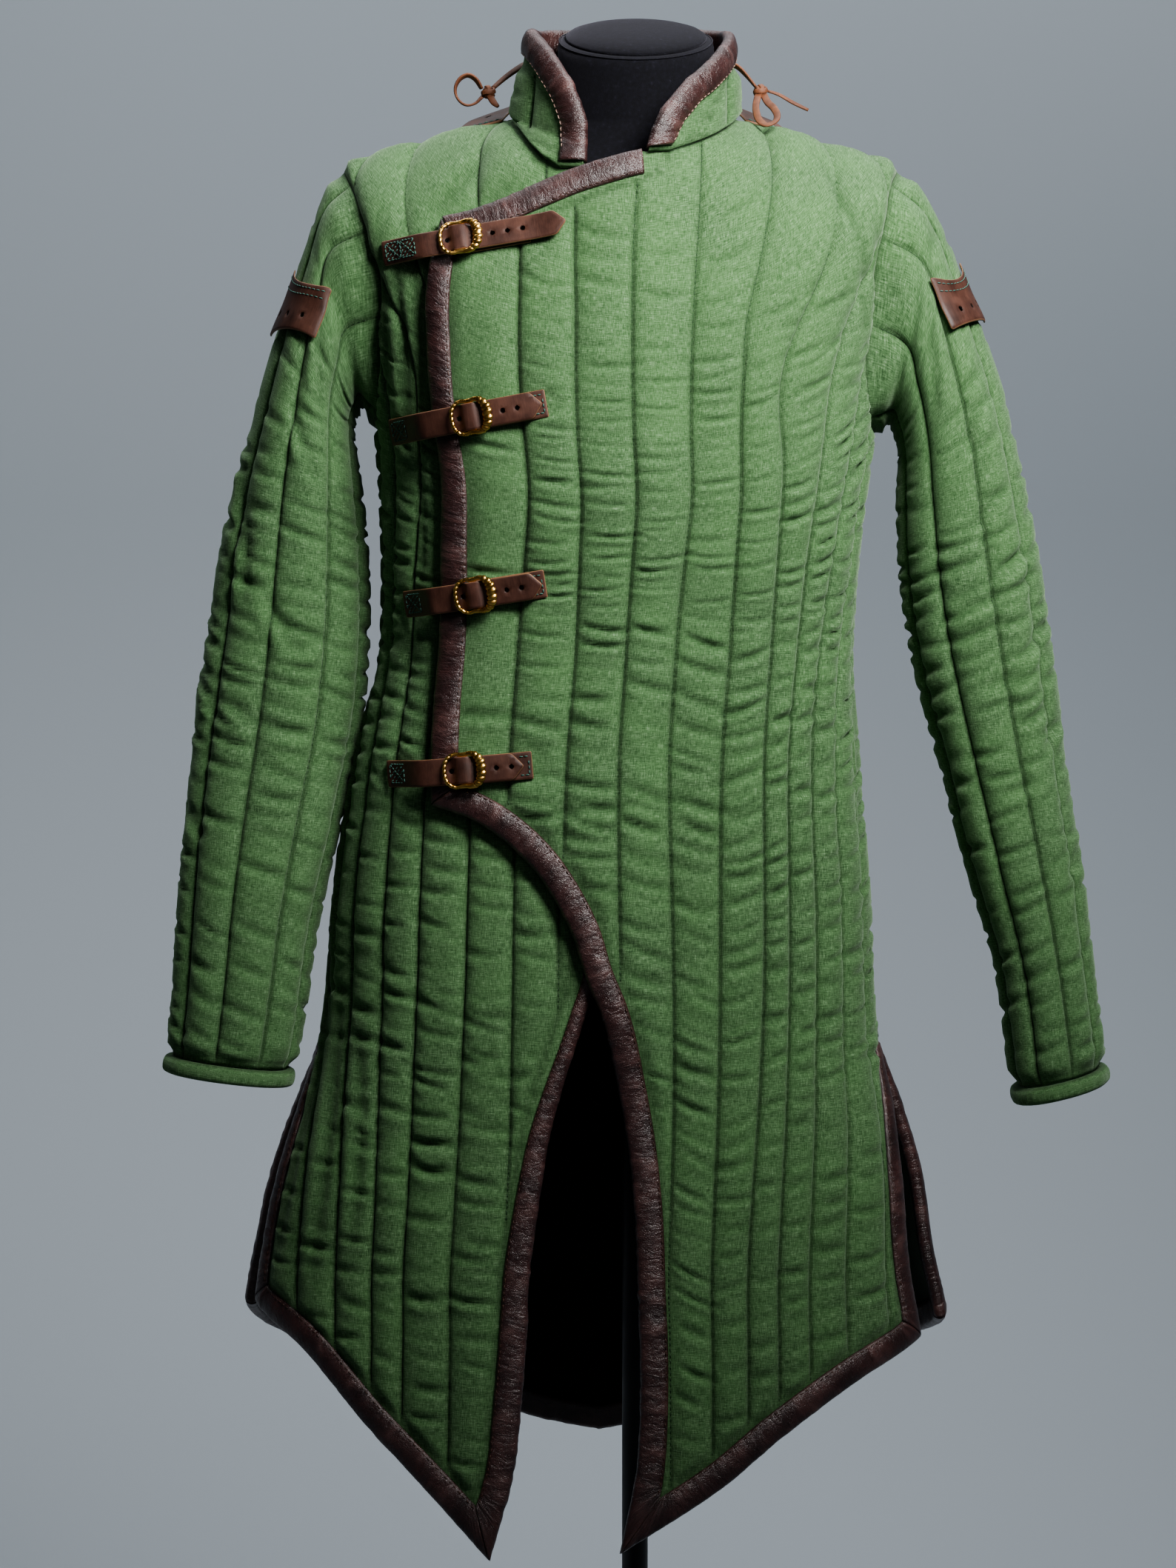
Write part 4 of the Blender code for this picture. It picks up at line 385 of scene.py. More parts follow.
def left_of(d):
    return np.array([-d[1], d[0]])


def inward(edges, index):
    """Directions into the panel at each point of an edge, mitred where it meets its neighbours."""
    points = edges[index][2]
    before, after = edges[index - 1], edges[(index + 1) % len(edges)]
    turn = np.sign(polygon_area(np.concatenate([edge[2][:-1] for edge in edges])))
    runs = unit(np.diff(points, axis=0))
    sides = turn * np.array([left_of(d) for d in runs])
    out = np.vstack([sides[:1], unit(sides[:-1] + sides[1:]), sides[-1:]])
    for end, other in ((0, before), (-1, after)):
        run = unit(other[2][-1] - other[2][-2] if end == 0 else other[2][1] - other[2][0])
        if other[1]:
            both = sides[end] + turn * left_of(run)
            out[end] = both / max(both @ sides[end], 0.15)
        else:
            run = -run if end == 0 else run
            if run @ sides[end] > 0.95:
                out[end] = run / (run @ sides[end])
    return out


def per_metre(kind, points, into):
    """Real distance covered by each step of a direction in the panel's own measure."""
    reach = points + unit(into) * 0.004
    real = np.linalg.norm(place(kind, *reach.T, 0.0) - place(kind, *points.T, 0.0), axis=1)
    return np.maximum(real / 0.004, 0.6)


def on_line(point, start, way):
    """Whether a point lies along the line from start towards way."""
    return unit(point - start) @ unit(way - start) > 0.9999


def inner_line(kind, edges, index):
    """The line that a binding's inner edge follows."""
    points = edges[index][2]
    into = inward(edges, index)
    return points + into * (BINDING / per_metre(kind, points, into))[:, None]


def bound_panel(kind, given):
    """A closed panel: its edges in order, each (name, bound, points, inner line of its binding)."""
    edges = [[name, bound, np.array(points, float)] for name, bound, points in given]
    for k, edge in enumerate(edges):
        edge[2][0] = edges[k - 1][2][-1]
    for k, edge in enumerate(edges):
        if edge[1]:
            points = edge[2]
            into = inward(edges, k)
            along = np.concatenate([[0], np.cumsum(np.linalg.norm(np.diff(points, axis=0), axis=1))])
            first = abs(into[0] @ unit(points[1] - points[0])) * BINDING + 0.007
            last = abs(into[-1] @ unit(points[-1] - points[-2])) * BINDING + 0.007
            keep = (along > first) & (along < along[-1] - last)
            keep[0] = keep[-1] = True
            edge[2] = points[keep]
    lines = [inner_line(kind, edges, k) if edge[1] else None for k, edge in enumerate(edges)]
    out = []
    for k, (name, bound, points) in enumerate(edges):
        if not bound:
            before, after = lines[k - 1], lines[(k + 1) % len(edges)]
            if before is not None and on_line(before[-1], points[0], points[1]):
                far = np.linalg.norm(points - points[0], axis=1) > BINDING + 0.008
                points = np.vstack([points[:1], before[-1:], points[far]])
            if after is not None and on_line(after[0], points[-1], points[-2]):
                far = np.linalg.norm(points - points[-1], axis=1) > BINDING + 0.008
                points = np.vstack([points[far], after[:1], points[-1:]])
        out.append((name, bound, points, lines[k]))
    return dict(kind=kind, edges=out)


def overlap_panel():
    return bound_panel("overlap", (
        ("neckline", True, resample(NECKLINE, STATION)),
        ("closing", True, resample(CLOSING_EDGE, STATION)),
        ("sweep", True, resample(SWEEP, STATION)),
        ("hem", True, resample(HEM_OVERLAP, STATION)),
        ("vent", True, resample(VENT_OVERLAP, STATION)),
        ("side", False, side_line(VENT_TOP, ARMPIT, 1, -GAP)),
        ("armhole", False, armhole(1, 1)[::-1]),
        ("shoulder", False, side_line(SHOULDER, 0.0, 1, -GAP)),
        ("neck", False, neck_line(side(0.0) - GAP, NECKLINE[0][0])),
    ))


def underlap_panel():
    return bound_panel("underlap", (
        ("edge", True, resample(UNDERLAP_EDGE, STATION)),
        ("hem", True, resample(HEM_UNDERLAP, STATION)),
        ("vent", True, resample(VENT_UNDERLAP, STATION)),
        ("side", False, side_line(VENT_TOP, ARMPIT, -1, -GAP)),
        ("armhole", False, armhole(2, -1)[::-1]),
        ("shoulder", False, side_line(SHOULDER, 0.0, -1, -GAP)),
        ("neck", False, neck_line(-(side(0.0) - GAP), UNDERLAP_EDGE[0][0])),
    ))


def from_centre(points, sign=1):
    """Places measured from the back's centre line; the left side's are carried round to it."""
    p = np.array(points, float)
    p[:, 0] = p[:, 0] - whole(p[:, 1]) if sign > 0 else p[:, 0] + whole(p[:, 1])
    return p


def back_panel():
    mirror = np.array([-1, 1])
    hem_left = resample(HEM_BACK + VENT_BACK_LEFT[:1], STATION)
    hem_right = resample(HEM_BACK + VENT_BACK_RIGHT[:1], STATION)
    vent_right = resample(VENT_BACK_RIGHT, STATION)
    reach = whole(0.0) - side(0.0) - GAP
    neck_s = np.linspace(reach, -reach, 12)
    return bound_panel("back", (
        ("hem", True, np.vstack([hem_right[::-1] * mirror, hem_left[1:]])),
        ("vent_left", True, resample(VENT_BACK_LEFT, STATION)),
        ("side_left", False, from_centre(side_line(VENT_TOP, ARMPIT, -1, GAP), -1)),
        ("armhole_left", False, from_centre(armhole(3, -1, True)[::-1], -1)),
        ("shoulder_left", False, from_centre(side_line(SHOULDER, 0.0, -1, GAP), -1)),
        ("neck", False, np.stack([neck_s, np.zeros_like(neck_s)], axis=1)),
        ("shoulder_right", False, from_centre(side_line(0.0, SHOULDER, 1, GAP))),
        ("armhole_right", False, from_centre(armhole(3, 1, True))),
        ("side_right", False, from_centre(side_line(ARMPIT, VENT_TOP, 1, GAP))),
        ("vent_right", True, vent_right[::-1] * mirror),
    ))
# its free edge from each front end round to the side, as distance round and up from the neck's ring
COLLAR_RIGHT = ((0.0140, 0.0000), (0.0150, -0.002), (0.0171, 0.0076), (0.0203, 0.0165), (0.0262, 0.0225),
                (0.0400, 0.0370), (0.0580, 0.0445), (0.0780, 0.0510), (0.1000, 0.0570), (0.1235, 0.0600),
                (0.1735, 0.0570))
COLLAR_LEFT = ((-0.0280, 0.0000), (-0.0280, 0.0010), (-0.0290, 0.012), (-0.0340, 0.024), (-0.0420, 0.037),
               (-0.0560, 0.049), (-0.0720, 0.058), (-0.0930, 0.063), (-0.1280, 0.062), (-0.1780, 0.057))
COLLAR_BACK = 0.054     # its height at the back


def collar_panel():
    around = 2 * whole(0.0)
    right, left = np.array(COLLAR_RIGHT), np.array(COLLAR_LEFT)[::-1]
    right[0, 1], left[-1, 1] = -neck_drop(right[0, 0]), -neck_drop(left[-1, 0])
    left[:, 0] += around
    middle = ((right[-1, 0] + left[0, 0]) / 2, COLLAR_BACK)
    free = resample(np.vstack([right, middle, left]) * (1, -1), 0.015)
    foot = np.linspace(free[-1, 0], free[0, 0], 28)
    return bound_panel("collar", (
        ("free", True, free),
        ("foot", False, np.stack([foot, neck_drop(foot)], axis=1)),
    ))


# ------------------------------------------------------------------ the sleeves' form

# Each ring's outermost and innermost points as seen from the front, its middle's y and half its depth
SLEEVE_ROWS = {
    -1: (
        # x_out, z_out, x_in, z_in, y, deep
        (-0.226, 1.448, -0.196, 1.293, 0.000, 0.068),
        (-0.239, 1.411, -0.201, 1.289, 0.000, 0.070),
        (-0.256, 1.360, -0.204, 1.281, -0.002, 0.070),
        (-0.275, 1.295, -0.202, 1.256, -0.004, 0.070),
        (-0.291, 1.241, -0.197, 1.217, -0.008, 0.064),
        (-0.301, 1.193, -0.194, 1.176, -0.012, 0.058),
        (-0.310, 1.136, -0.194, 1.121, -0.018, 0.052),
        (-0.319, 1.074, -0.200, 1.058, -0.024, 0.049),
        (-0.326, 1.009, -0.214, 0.995, -0.032, 0.048),
        (-0.331, 0.944, -0.228, 0.931, -0.040, 0.046),
        (-0.335, 0.879, -0.238, 0.867, -0.047, 0.043),
        (-0.340, 0.830, -0.246, 0.818, -0.052, 0.040),
    ),
    1: (
        (0.212, 1.444, 0.182, 1.282, 0.000, 0.066),
        (0.233, 1.398, 0.187, 1.276, 0.000, 0.068),
        (0.249, 1.355, 0.190, 1.266, -0.002, 0.068),
        (0.266, 1.306, 0.191, 1.250, -0.004, 0.067),
        (0.280, 1.249, 0.190, 1.220, -0.008, 0.064),
        (0.291, 1.192, 0.192, 1.174, -0.012, 0.060),
        (0.300, 1.135, 0.200, 1.117, -0.018, 0.057),
        (0.310, 1.052, 0.219, 1.041, -0.026, 0.055),
        (0.321, 0.977, 0.238, 0.968, -0.036, 0.053),
        (0.330, 0.896, 0.261, 0.885, -0.044, 0.050),
        (0.340, 0.823, 0.271, 0.805, -0.052, 0.047),
    ),
}
SLEEVE_CHANNELS = 9
SLEEVE_SQUARE = 2.2
CUFF_ROLL = 0.013       # height of the roll at the sleeve's end


class Sleeve:
    """A sleeve's inner face: round it in degrees (0 outermost, 90 front), and along it in metres."""

    def __init__(self, sign):
        self.sign = sign
        rows = np.array(SLEEVE_ROWS[sign])
        top = rows[:, [0, 1]]
        bottom = rows[:, [2, 3]]
        middle = (top + bottom) / 2
        self.centre = np.stack([middle[:, 0], rows[:, 4], middle[:, 1]], axis=1)
        half = (top - bottom) / 2
        self.half = np.linalg.norm(half, axis=1)
        self.out = np.stack([half[:, 0], np.zeros(len(half)), half[:, 1]], axis=1) / self.half[:, None]
        self.deep = rows[:, 5]
        shoulder = on_coat(sign * side(SHOULDER), SHOULDER, 0.0)
        armpit = on_coat(sign * side(ARMPIT), ARMPIT, 0.0)
        first = (shoulder + armpit) / 2
        places = np.vstack([first[None, :], self.centre])
        self.along = np.concatenate([[0], np.cumsum(np.linalg.norm(np.diff(places, axis=0), axis=1))])
        self.length = self.along[-1]
        column = 1 if sign > 0 else 2
        self.loop = [self.half_loop(armhole(column, sign)), self.half_loop(armhole(3, sign, True))]

    def half_loop(self, seam_places):
        s, h = seam_places.T
        lower = on_coat(s, h, 0.0)
        share = np.concatenate([[0], np.cumsum(np.linalg.norm(np.diff(lower, axis=0), axis=1))])
        return share / share[-1], lower, normal(s, h)

    def start(self, turn):
        """The armhole's points and directions at each turn."""
        turn = np.asarray(turn, float) % 360
        point, face = np.zeros(turn.shape + (3,)), np.zeros(turn.shape + (3,))
        for half, pick in ((0, turn <= 180), (1, turn > 180)):
            share, lower, facing = self.loop[half]
            t = np.where(turn <= 180, turn, 360 - turn)[pick] / 180
            for k in range(3):
                point[pick, k] = np.interp(t, share, lower[:, k])
                face[pick, k] = np.interp(t, share, facing[:, k])
        point[..., 0] += self.sign * 0.0010
        return point, unit(face)

    def place(self, turn, along, out):
        """Points at a turn and a distance along, out from the inner face."""
        turn, along, out = np.broadcast_arrays(*(np.asarray(v, float) for v in (turn, along, out)))
        point0, face0 = self.start(turn)
        a = np.radians(turn)
        c, s = np.cos(a), np.sin(a)
        power = 2 / SLEEVE_SQUARE
        c, s = np.sign(c) * np.abs(c)**power, np.sign(s) * np.abs(s)**power
        forward = np.array([0.0, -1.0, 0.0])
        points, faces = [point0], [face0]
        for centre, half, out_way, deep in zip(self.centre, self.half, self.out, self.deep):
            points.append(centre + (half - PAD) * c[..., None] * out_way + (deep - PAD) * s[..., None] * forward)
            faces.append(unit(c[..., None] * out_way / half + s[..., None] * forward / deep))
        points, faces = np.array(points), np.array(faces)
        return self.blend(points, along) + unit(self.blend(faces, along)) * out[..., None]

    def blend(self, values, along):
        """The smooth curve through one value a ring, at each distance along."""
        xs = self.along
        wide = np.diff(xs).reshape((-1,) + (1,) * (values.ndim - 1))
        steps = np.diff(values, axis=0) / wide
        slope = np.concatenate([steps[:1], (steps[:-1] + steps[1:]) / 2, steps[-1:]])
        k = np.clip(np.searchsorted(xs, along) - 1, 0, len(xs) - 2)
        reach = xs[k + 1] - xs[k]
        t = np.clip((along - xs[k]) / reach, 0, 1)[..., None]
        reach = reach[..., None]
        low = tuple(np.indices(k.shape))
        v0, v1 = values[(k,) + low], values[(k + 1,) + low]
        m0, m1 = slope[(k,) + low], slope[(k + 1,) + low]
        return ((2 * t**3 - 3 * t**2 + 1) * v0 + (t**3 - 2 * t**2 + t) * reach * m0
                + (3 * t**2 - 2 * t**3) * v1 + (t**3 - t**2) * reach * m1)


# ------------------------------------------------------------------ straps, tabs, laces and form

STRAP_WIDTH, STRAP_THICK = 0.0190, 0.0022
CHAPE_WIDTH, CHAPE_THICK = 0.0196, 0.0018
STRAP_OUT = 0.0225      # underside of the strap over the chape
HUMP = 0.0038           # its rise over the buckle's bar
RISE_END = (-0.149, -0.142)     # where a long strap and a short one reach it
# strap: sewn end and tip as seen from the front, the buckle's place along it, the chape's end
STRAPS = (
    # x_sewn, z_sewn, x_tip, z_tip, buckle, chape_end, undersides of its sewn end and of its chape
    (-0.179, 1.402, -0.049, 1.423, 0.421, 0.790, 0.0084, 0.0188),
    (-0.174, 1.276, -0.066, 1.296, 0.540, 1.021, 0.0084, 0.0193),
    (-0.164, 1.154, -0.066, 1.170, 0.519, 1.016, 0.0084, 0.0199),
    (-0.176, 1.034, -0.079, 1.043, 0.564, 1.055, 0.0080, 0.0190),
)


def run_of(row):
    """Real length of a strap for its whole share, measured at its buckle."""
    ends = strap_point(row, np.array([row[4] - 0.05, row[4] + 0.05]), 0.0, STRAP_OUT)
    return np.linalg.norm(ends[1] - ends[0]) / 0.1


def strap_rise(row, t):
    """How a strap rises from its sewn end on the cloth to its run over the lap."""
    x = row[0] + (row[2] - row[0]) * t
    return row[6] + (STRAP_OUT - row[6]) * step(x, row[0] + 0.003, RISE_END[row[0] > -0.17])


def strap_height(row, t):
    """Underside of a strap at a share t of its length."""
    off = np.abs(t - row[4]) * run_of(row)
    hump = HUMP * step(off, 0.0080, 0.0035)
    tip = (0.0025 if row[5] < 1 else 0.0) * step(t, 0.80, 1.0)
    return strap_rise(row, t) + hump + tip


def strap_point(row, t, across, out):
    """A point at a share t of the strap's length, off its middle line and out from the coat."""
    x0, z0, x1, z1 = row[:4]
    along = np.array([x1 - x0, z1 - z0])
    cross = np.array([-along[1], along[0]]) / np.linalg.norm(along)
    x, z = x0 + along[0] * row[4], z0 + along[1] * row[4] + np.array([0.01, -0.01])
    steep = np.linalg.norm(np.diff(on_front(x, z, STRAP_OUT, STRAP_OUT), axis=0)) / 0.02
    t, across = np.asarray(t, float), np.asarray(across, float) / steep
    return on_front(x0 + along[0] * t + cross[0] * across, z0 + along[1] * t + cross[1] * across,
                    strap_rise(row, t), out)
# Tabs on the sleeves: the turn of the outer side and its ends' distances along, then the inner side's
TABS = {
    -1: ((12.0, 0.050, 0.082), (84.0, 0.021, 0.055)),
    1: ((6.0, 0.052, 0.082), (70.0, 0.031, 0.063)),
}
TAB_OUT = 0.0095        # a tab's underside
TAB_RISE = 0.0025       # the rise of its free end
TAB_BOW = np.array([0.0, 0.0115, 0.0030])       # how much lower its ends lie at its middle
# Anchors on the shoulders: distance back from the shoulder seam of the two sides, and down of the ends
ANCHOR_BACK, ANCHOR_DOWN = (0.004, 0.040), (0.012, 0.044)
KNOTS = {-1: (-0.107, 0.015, 1.5235), 1: (0.0907, 0.012, 1.5240)}
# Routes of the laces, in metres from the knot's middle
LACE_ROUTES = {
    "lace_left_loop": (-1, ((-0.0050, -0.0004, 0.0026), (-0.0092, -0.002, 0.0092), (-0.0145, -0.003, 0.0122),
                            (-0.0200, -0.003, 0.0100), (-0.0240, -0.002, 0.0030), (-0.0225, -0.001, -0.0045),
                            (-0.0165, 0.000, -0.0092), (-0.0100, 0.001, -0.0080), (-0.0044, 0.0006, -0.0029))),
    "lace_left_strand": (-1, ((0.0032, 0.0020, 0.0032), (0.0120, 0.0046, 0.0110), (0.0210, 0.0060, 0.0175),
                              (0.0273, 0.0099, 0.0212), (0.0336, 0.0194, 0.0205))),
    "lace_left_tail": (-1, ((0.0012, -0.0036, -0.0029), (0.0040, -0.0080, -0.0078), (0.0072, -0.0110, -0.0110))),
    "lace_right_loop": (1, ((-0.0018, -0.0036, -0.0027), (-0.0037, -0.0150, -0.0105), (-0.0039, -0.0280, -0.0170),
                            (-0.0018, -0.0400, -0.0240), (0.0028, -0.0470, -0.0275), (0.0085, -0.0450, -0.0252),
                            (0.0108, -0.0360, -0.0200), (0.0085, -0.0240, -0.0135), (0.0050, -0.0130, -0.0090),
                            (0.0021, -0.0036, -0.0026))),
    "lace_right_strand": (1, ((-0.0032, 0.0021, 0.0032), (-0.0108, 0.0040, 0.0125), (-0.0165, 0.0046, 0.0180),
                              (-0.0208, 0.0069, 0.0200), (-0.0256, 0.0170, 0.0190))),
    "lace_right_tail": (1, ((0.0051, 0.0008, 0.0004), (0.0130, 0.002, -0.0020), (0.0230, 0.003, -0.0075),
                            (0.0349, 0.003, -0.0133))),
}
# Down from the neck seam, how far the form is inside the coat: the coat rests on the shoulders
FORM_ROWS = ((0.018, 0.0160), (0.045, 0.0074), (0.085, 0.0056), (0.125, 0.0092), (0.180, 0.0140), (0.250, 0.0180),
             (0.320, 0.0180), (0.400, 0.0180), (0.480, 0.0330), (0.560, 0.0550))
FORM_END = (0.840, 0.148, 0.112, 0.106, 2.4)    # its lower end: z, half, front, back, square
FORM_COLUMNS = 24
NECK_HALF, NECK_BACK = 0.0565, 0.047
NECK_TILT = 0.33        # the neck's top falls this much per metre towards the front
NECK_TOP = 1.561        # height of its rim over the axis
POLE_RADIUS, BASE_RADIUS, BASE_HIGH = 0.0095, 0.200, 0.012


def form_ring(z, half, front, back, square, columns=FORM_COLUMNS, tilt=0.0):
    a = 2 * math.pi * np.arange(columns) / columns
    c, s = np.cos(a), np.sin(a)
    x = half * np.sign(s) * np.abs(s)**(2 / square)
    y = np.where(c > 0, -front, back) * np.abs(c)**(2 / square)
    return np.stack([x, y, z + tilt * y], axis=1)


# ------------------------------------------------------------------ materials

def srgb(r, g, b):
    """Linear colour of a display colour given from 0 to 255."""
    return tuple(v / 12.92 if v <= 0.04045 else ((v + 0.055) / 1.055)**2.4 for v in (r / 255, g / 255, b / 255))


class Look:
    """A material's node tree, built with short calls."""

    def __init__(self, name, roughness=0.6, **constants):
        self.material = bpy.data.materials.new(name)
        self.material.use_nodes = True
        self.tree = self.material.node_tree
        self.shader = self.tree.nodes["Principled BSDF"]
        self.shader.inputs["Roughness"].default_value = roughness
        for socket, value in constants.items():
            self.shader.inputs[socket.replace("_", " ")].default_value = value

    def node(self, kind, inputs=None, **settings):
        node = self.tree.nodes.new(kind)
        for key, value in settings.items():
            setattr(node, key, value)
        for key, value in (inputs or {}).items():
            if isinstance(value, bpy.types.NodeSocket):
                self.tree.links.new(value, node.inputs[key])
            else:
                node.inputs[key].default_value = value
        return node

    def places(self, scale, source="Object"):
        """Coordinates stretched by a scale along each axis."""
        coords = self.node("ShaderNodeTexCoord").outputs[source]
        return self.node("ShaderNodeMapping", {"Vector": coords, "Scale": scale}).outputs[0]

    def noise(self, scale, detail=3.0, source="Object", rough=0.55, distortion=0.0):
        stretched = self.places(scale, source)
        return self.node("ShaderNodeTexNoise", {"Vector": stretched, "Scale": 1.0, "Detail": detail,
                                                "Roughness": rough, "Distortion": distortion}).outputs[0]

    def cells(self, scale, source="Object", feature="DISTANCE_TO_EDGE"):
        return self.node("ShaderNodeTexVoronoi", {"Vector": self.places(scale, source), "Scale": 1.0},
                         feature=feature).outputs[0]

    def math(self, operation, a, b=0.0):
        return self.node("ShaderNodeMath", {0: a, 1: b}, operation=operation).outputs[0]

    def ramp(self, value, *stops):
        """A colour ramp through (place, colour or grey) stops."""
        node = self.node("ShaderNodeValToRGB", {"Fac": value})
        ramp = node.color_ramp
        while len(ramp.elements) < len(stops):
            ramp.elements.new(0.5)
        for element, (place_on, colour) in zip(ramp.elements, stops):
            element.position = place_on
            element.color = (*colour, 1) if hasattr(colour, "__len__") else (colour, colour, colour, 1)
        return node.outputs[0]

    def mix(self, share, a, b, mode="MIX"):
        node = self.node("ShaderNodeMix", data_type="RGBA", blend_type=mode)
        for socket, value in zip((node.inputs[0], node.inputs[6], node.inputs[7]), (share, a, b)):
            if isinstance(value, bpy.types.NodeSocket):
                self.tree.links.new(value, socket)
            else:
                socket.default_value = (*value, 1) if hasattr(value, "__len__") else value
        return node.outputs[2]

    def mark(self, name, channel_index=0):
        """One channel of a colour attribute that a mesh carries."""
        colour = self.node("ShaderNodeAttribute", attribute_name=name).outputs["Color"]
        return self.node("ShaderNodeSeparateColor", {"Color": colour}).outputs[channel_index]

    def finish(self, colour, *bumps, roughness=None):
        """Links the colour, the bumps as (height, strength, distance) and a roughness."""
        for socket, value in (("Base Color", colour), ("Roughness", roughness)):
            if isinstance(value, bpy.types.NodeSocket):
                self.tree.links.new(value, self.shader.inputs[socket])
            elif value is not None:
                self.shader.inputs[socket].default_value = (*value, 1) if hasattr(value, "__len__") else value
        last = None
        for height, strength, distance in bumps:
            inputs = {"Height": height, "Strength": strength, "Distance": distance}
            if last is not None:
                inputs["Normal"] = last
            last = self.node("ShaderNodeBump", inputs).outputs[0]
        if last is not None:
            self.tree.links.new(last, self.shader.inputs["Normal"])
        return self.material


THREAD = 1 / 0.00062         # threads to a metre in the linen


def linen_look(name="linen_cloth", tone=1.0):
    """Green linen in plain weave: pale and dark threads, slubs, and painted shade that darkens the grooves and creases.
    """
    look = Look(name, 0.88, Sheen_Weight=0.30, Sheen_Roughness=0.45, Sheen_Tint=(0.62, 0.80, 0.58, 1),
                Specular_IOR_Level=0.22)
    warp = look.noise((THREAD, THREAD / 9, 1), 2.0, "UV")
    weft = look.noise((THREAD / 9, THREAD, 1), 2.0, "UV")
    speck = look.noise((THREAD * 0.8, THREAD * 0.8, 1), 1.0, "UV")
    slub = look.noise((THREAD / 3, THREAD / 34, 1), 1.0, "UV")
    slub_across = look.noise((THREAD / 34, THREAD / 3, 1), 1.0, "UV")
    threads = look.math("ADD", look.math("MULTIPLY", warp, 0.36), look.math("MULTIPLY", weft, 0.38))
    threads = look.math("ADD", threads, look.math("MULTIPLY", speck, 0.16))
    threads = look.math("ADD", threads, look.math("MULTIPLY", slub, 0.05))
    threads = look.math("ADD", threads, look.math("MULTIPLY", slub_across, 0.06))
    dark, middle, pale = (tuple(tone * v for v in srgb(*c)) for c in ((46, 74, 42), (88, 119, 81), (139, 164, 132)))
    colour = look.ramp(threads, (0.40, dark), (0.54, middle), (0.70, pale))
    wear = look.noise((22, 22, 22), 4.0)
    colour = look.mix(look.ramp(wear, (0.35, 0.0), (0.75, 0.22)), colour, tuple(tone * v for v in srgb(92, 136, 80)),
                      "MIX")
    # painted shade: the quilting lines, seams and binding edges darkened towards deep green
    groove_shade = look.mark("shade", 0)
    colour = look.mix(look.math("MULTIPLY", groove_shade, 0.55), colour, tuple(tone * v for v in srgb(16, 34, 14)))
    # painted shade: the creases' hollows darkened
    crease_shade = look.mark("shade", 1)
    colour = look.mix(look.math("MULTIPLY", crease_shade, 0.35), colour, tuple(tone * v for v in srgb(34, 62, 30)))
    return look.finish(colour, (threads, 0.55, 0.0007))


def binding_look():
    """Dark red-brown leather: pebbled grain, cross wrinkles, and a painted highlight that makes the wrinkles' crests
    paler.
    """
    look = Look("binding_leather_grain", 0.34, Specular_IOR_Level=0.85)
    pebbles = look.cells((900, 900, 900))
    fine = look.noise((1500, 1500, 1500), 3.0)
    wrinkle = look.noise((110, 230, 1), 4.0, "UV", distortion=0.9)
    tone = look.noise((45, 45, 45), 4.0)
    colour = look.ramp(tone, (0.30, srgb(40, 23, 23)), (0.55, srgb(66, 39, 38)), (0.80, srgb(94, 62, 58)))
    colour = look.mix(look.ramp(pebbles, (0.02, 0.55), (0.12, 0.0)), colour, srgb(24, 13, 13))
    # painted highlight: the wrinkles' crests made paler
    ridge = look.mark("shade", 1)
    colour = look.mix(look.math("MULTIPLY", ridge, 0.30), colour, srgb(132, 96, 92))
    rough = look.ramp(wrinkle, (0.3, 0.28), (0.7, 0.48))
    return look.finish(colour, (look.ramp(pebbles, (0.0, 0.0), (0.25, 1.0)), 0.35, 0.0004),
                       (wrinkle, 0.80, 0.0014), (fine, 0.30, 0.0004), roughness=rough)


def strap_look():
    """Oiled brown leather with a soft nap, scuffs and darker pores."""
    look = Look("strap_leather_oiled", 0.55, Specular_IOR_Level=0.4)
    tone = look.noise((60, 60, 60), 5.0)
    streak = look.noise((900, 120, 1), 3.0, "UV")
    pores = look.noise((2200, 2200, 2200), 2.0)
    colour = look.ramp(tone, (0.30, srgb(50, 29, 23)), (0.52, srgb(72, 44, 35)), (0.78, srgb(96, 62, 50)))
    colour = look.mix(look.ramp(streak, (0.45, 0.0), (0.75, 0.22)), colour, srgb(110, 76, 62))
    colour = look.mix(look.math("MULTIPLY", look.mark("shade", 0), 0.85), colour, srgb(150, 112, 84))
    # painted shade: the holes' walls darkened
    colour = look.mix(look.math("MULTIPLY", look.mark("shade", 1), 0.90), colour, srgb(30, 18, 14))
    rough = look.ramp(tone, (0.3, 0.44), (0.7, 0.66))
    return look.finish(colour, (pores, 0.22, 0.0004), (streak, 0.18, 0.0004), roughness=rough)


def lace_look():
    look = Look("lace_leather_tan", 0.62)
    tone = look.noise((90, 90, 90), 4.0)
    pores = look.noise((2600, 2600, 2600), 2.0)
    colour = look.ramp(tone, (0.30, srgb(88, 50, 32)), (0.60, srgb(120, 74, 50)), (0.85, srgb(152, 104, 74)))
    return look.finish(colour, (pores, 0.35, 0.0004))


def thread_look(name, light, dark, roughness=0.6):
    look = Look(name, roughness)
    twist = look.noise((1800, 1800, 1800), 1.0)
    return look.finish(look.ramp(twist, (0.35, srgb(*dark)), (0.65, srgb(*light))), (twist, 0.4, 0.0003))


def brass_look():
    """Cast brass: bright on the ridges, brown in the hollows."""
    look = Look("brass_cast", 0.26, Metallic=1.0)
    cast = look.noise((700, 700, 700), 3.0)
    stain = look.noise((160, 160, 160), 4.0)
    colour = look.ramp(stain, (0.30, srgb(196, 146, 74)), (0.65, srgb(232, 190, 112)), (0.9, srgb(248, 220, 150)))
    colour = look.mix(look.math("MULTIPLY", look.mark("shade", 0), 0.8), colour, srgb(92, 54, 22))
    rough = look.ramp(stain, (0.3, 0.22), (0.8, 0.42))
    return look.finish(colour, (cast, 0.12, 0.0004), roughness=rough)


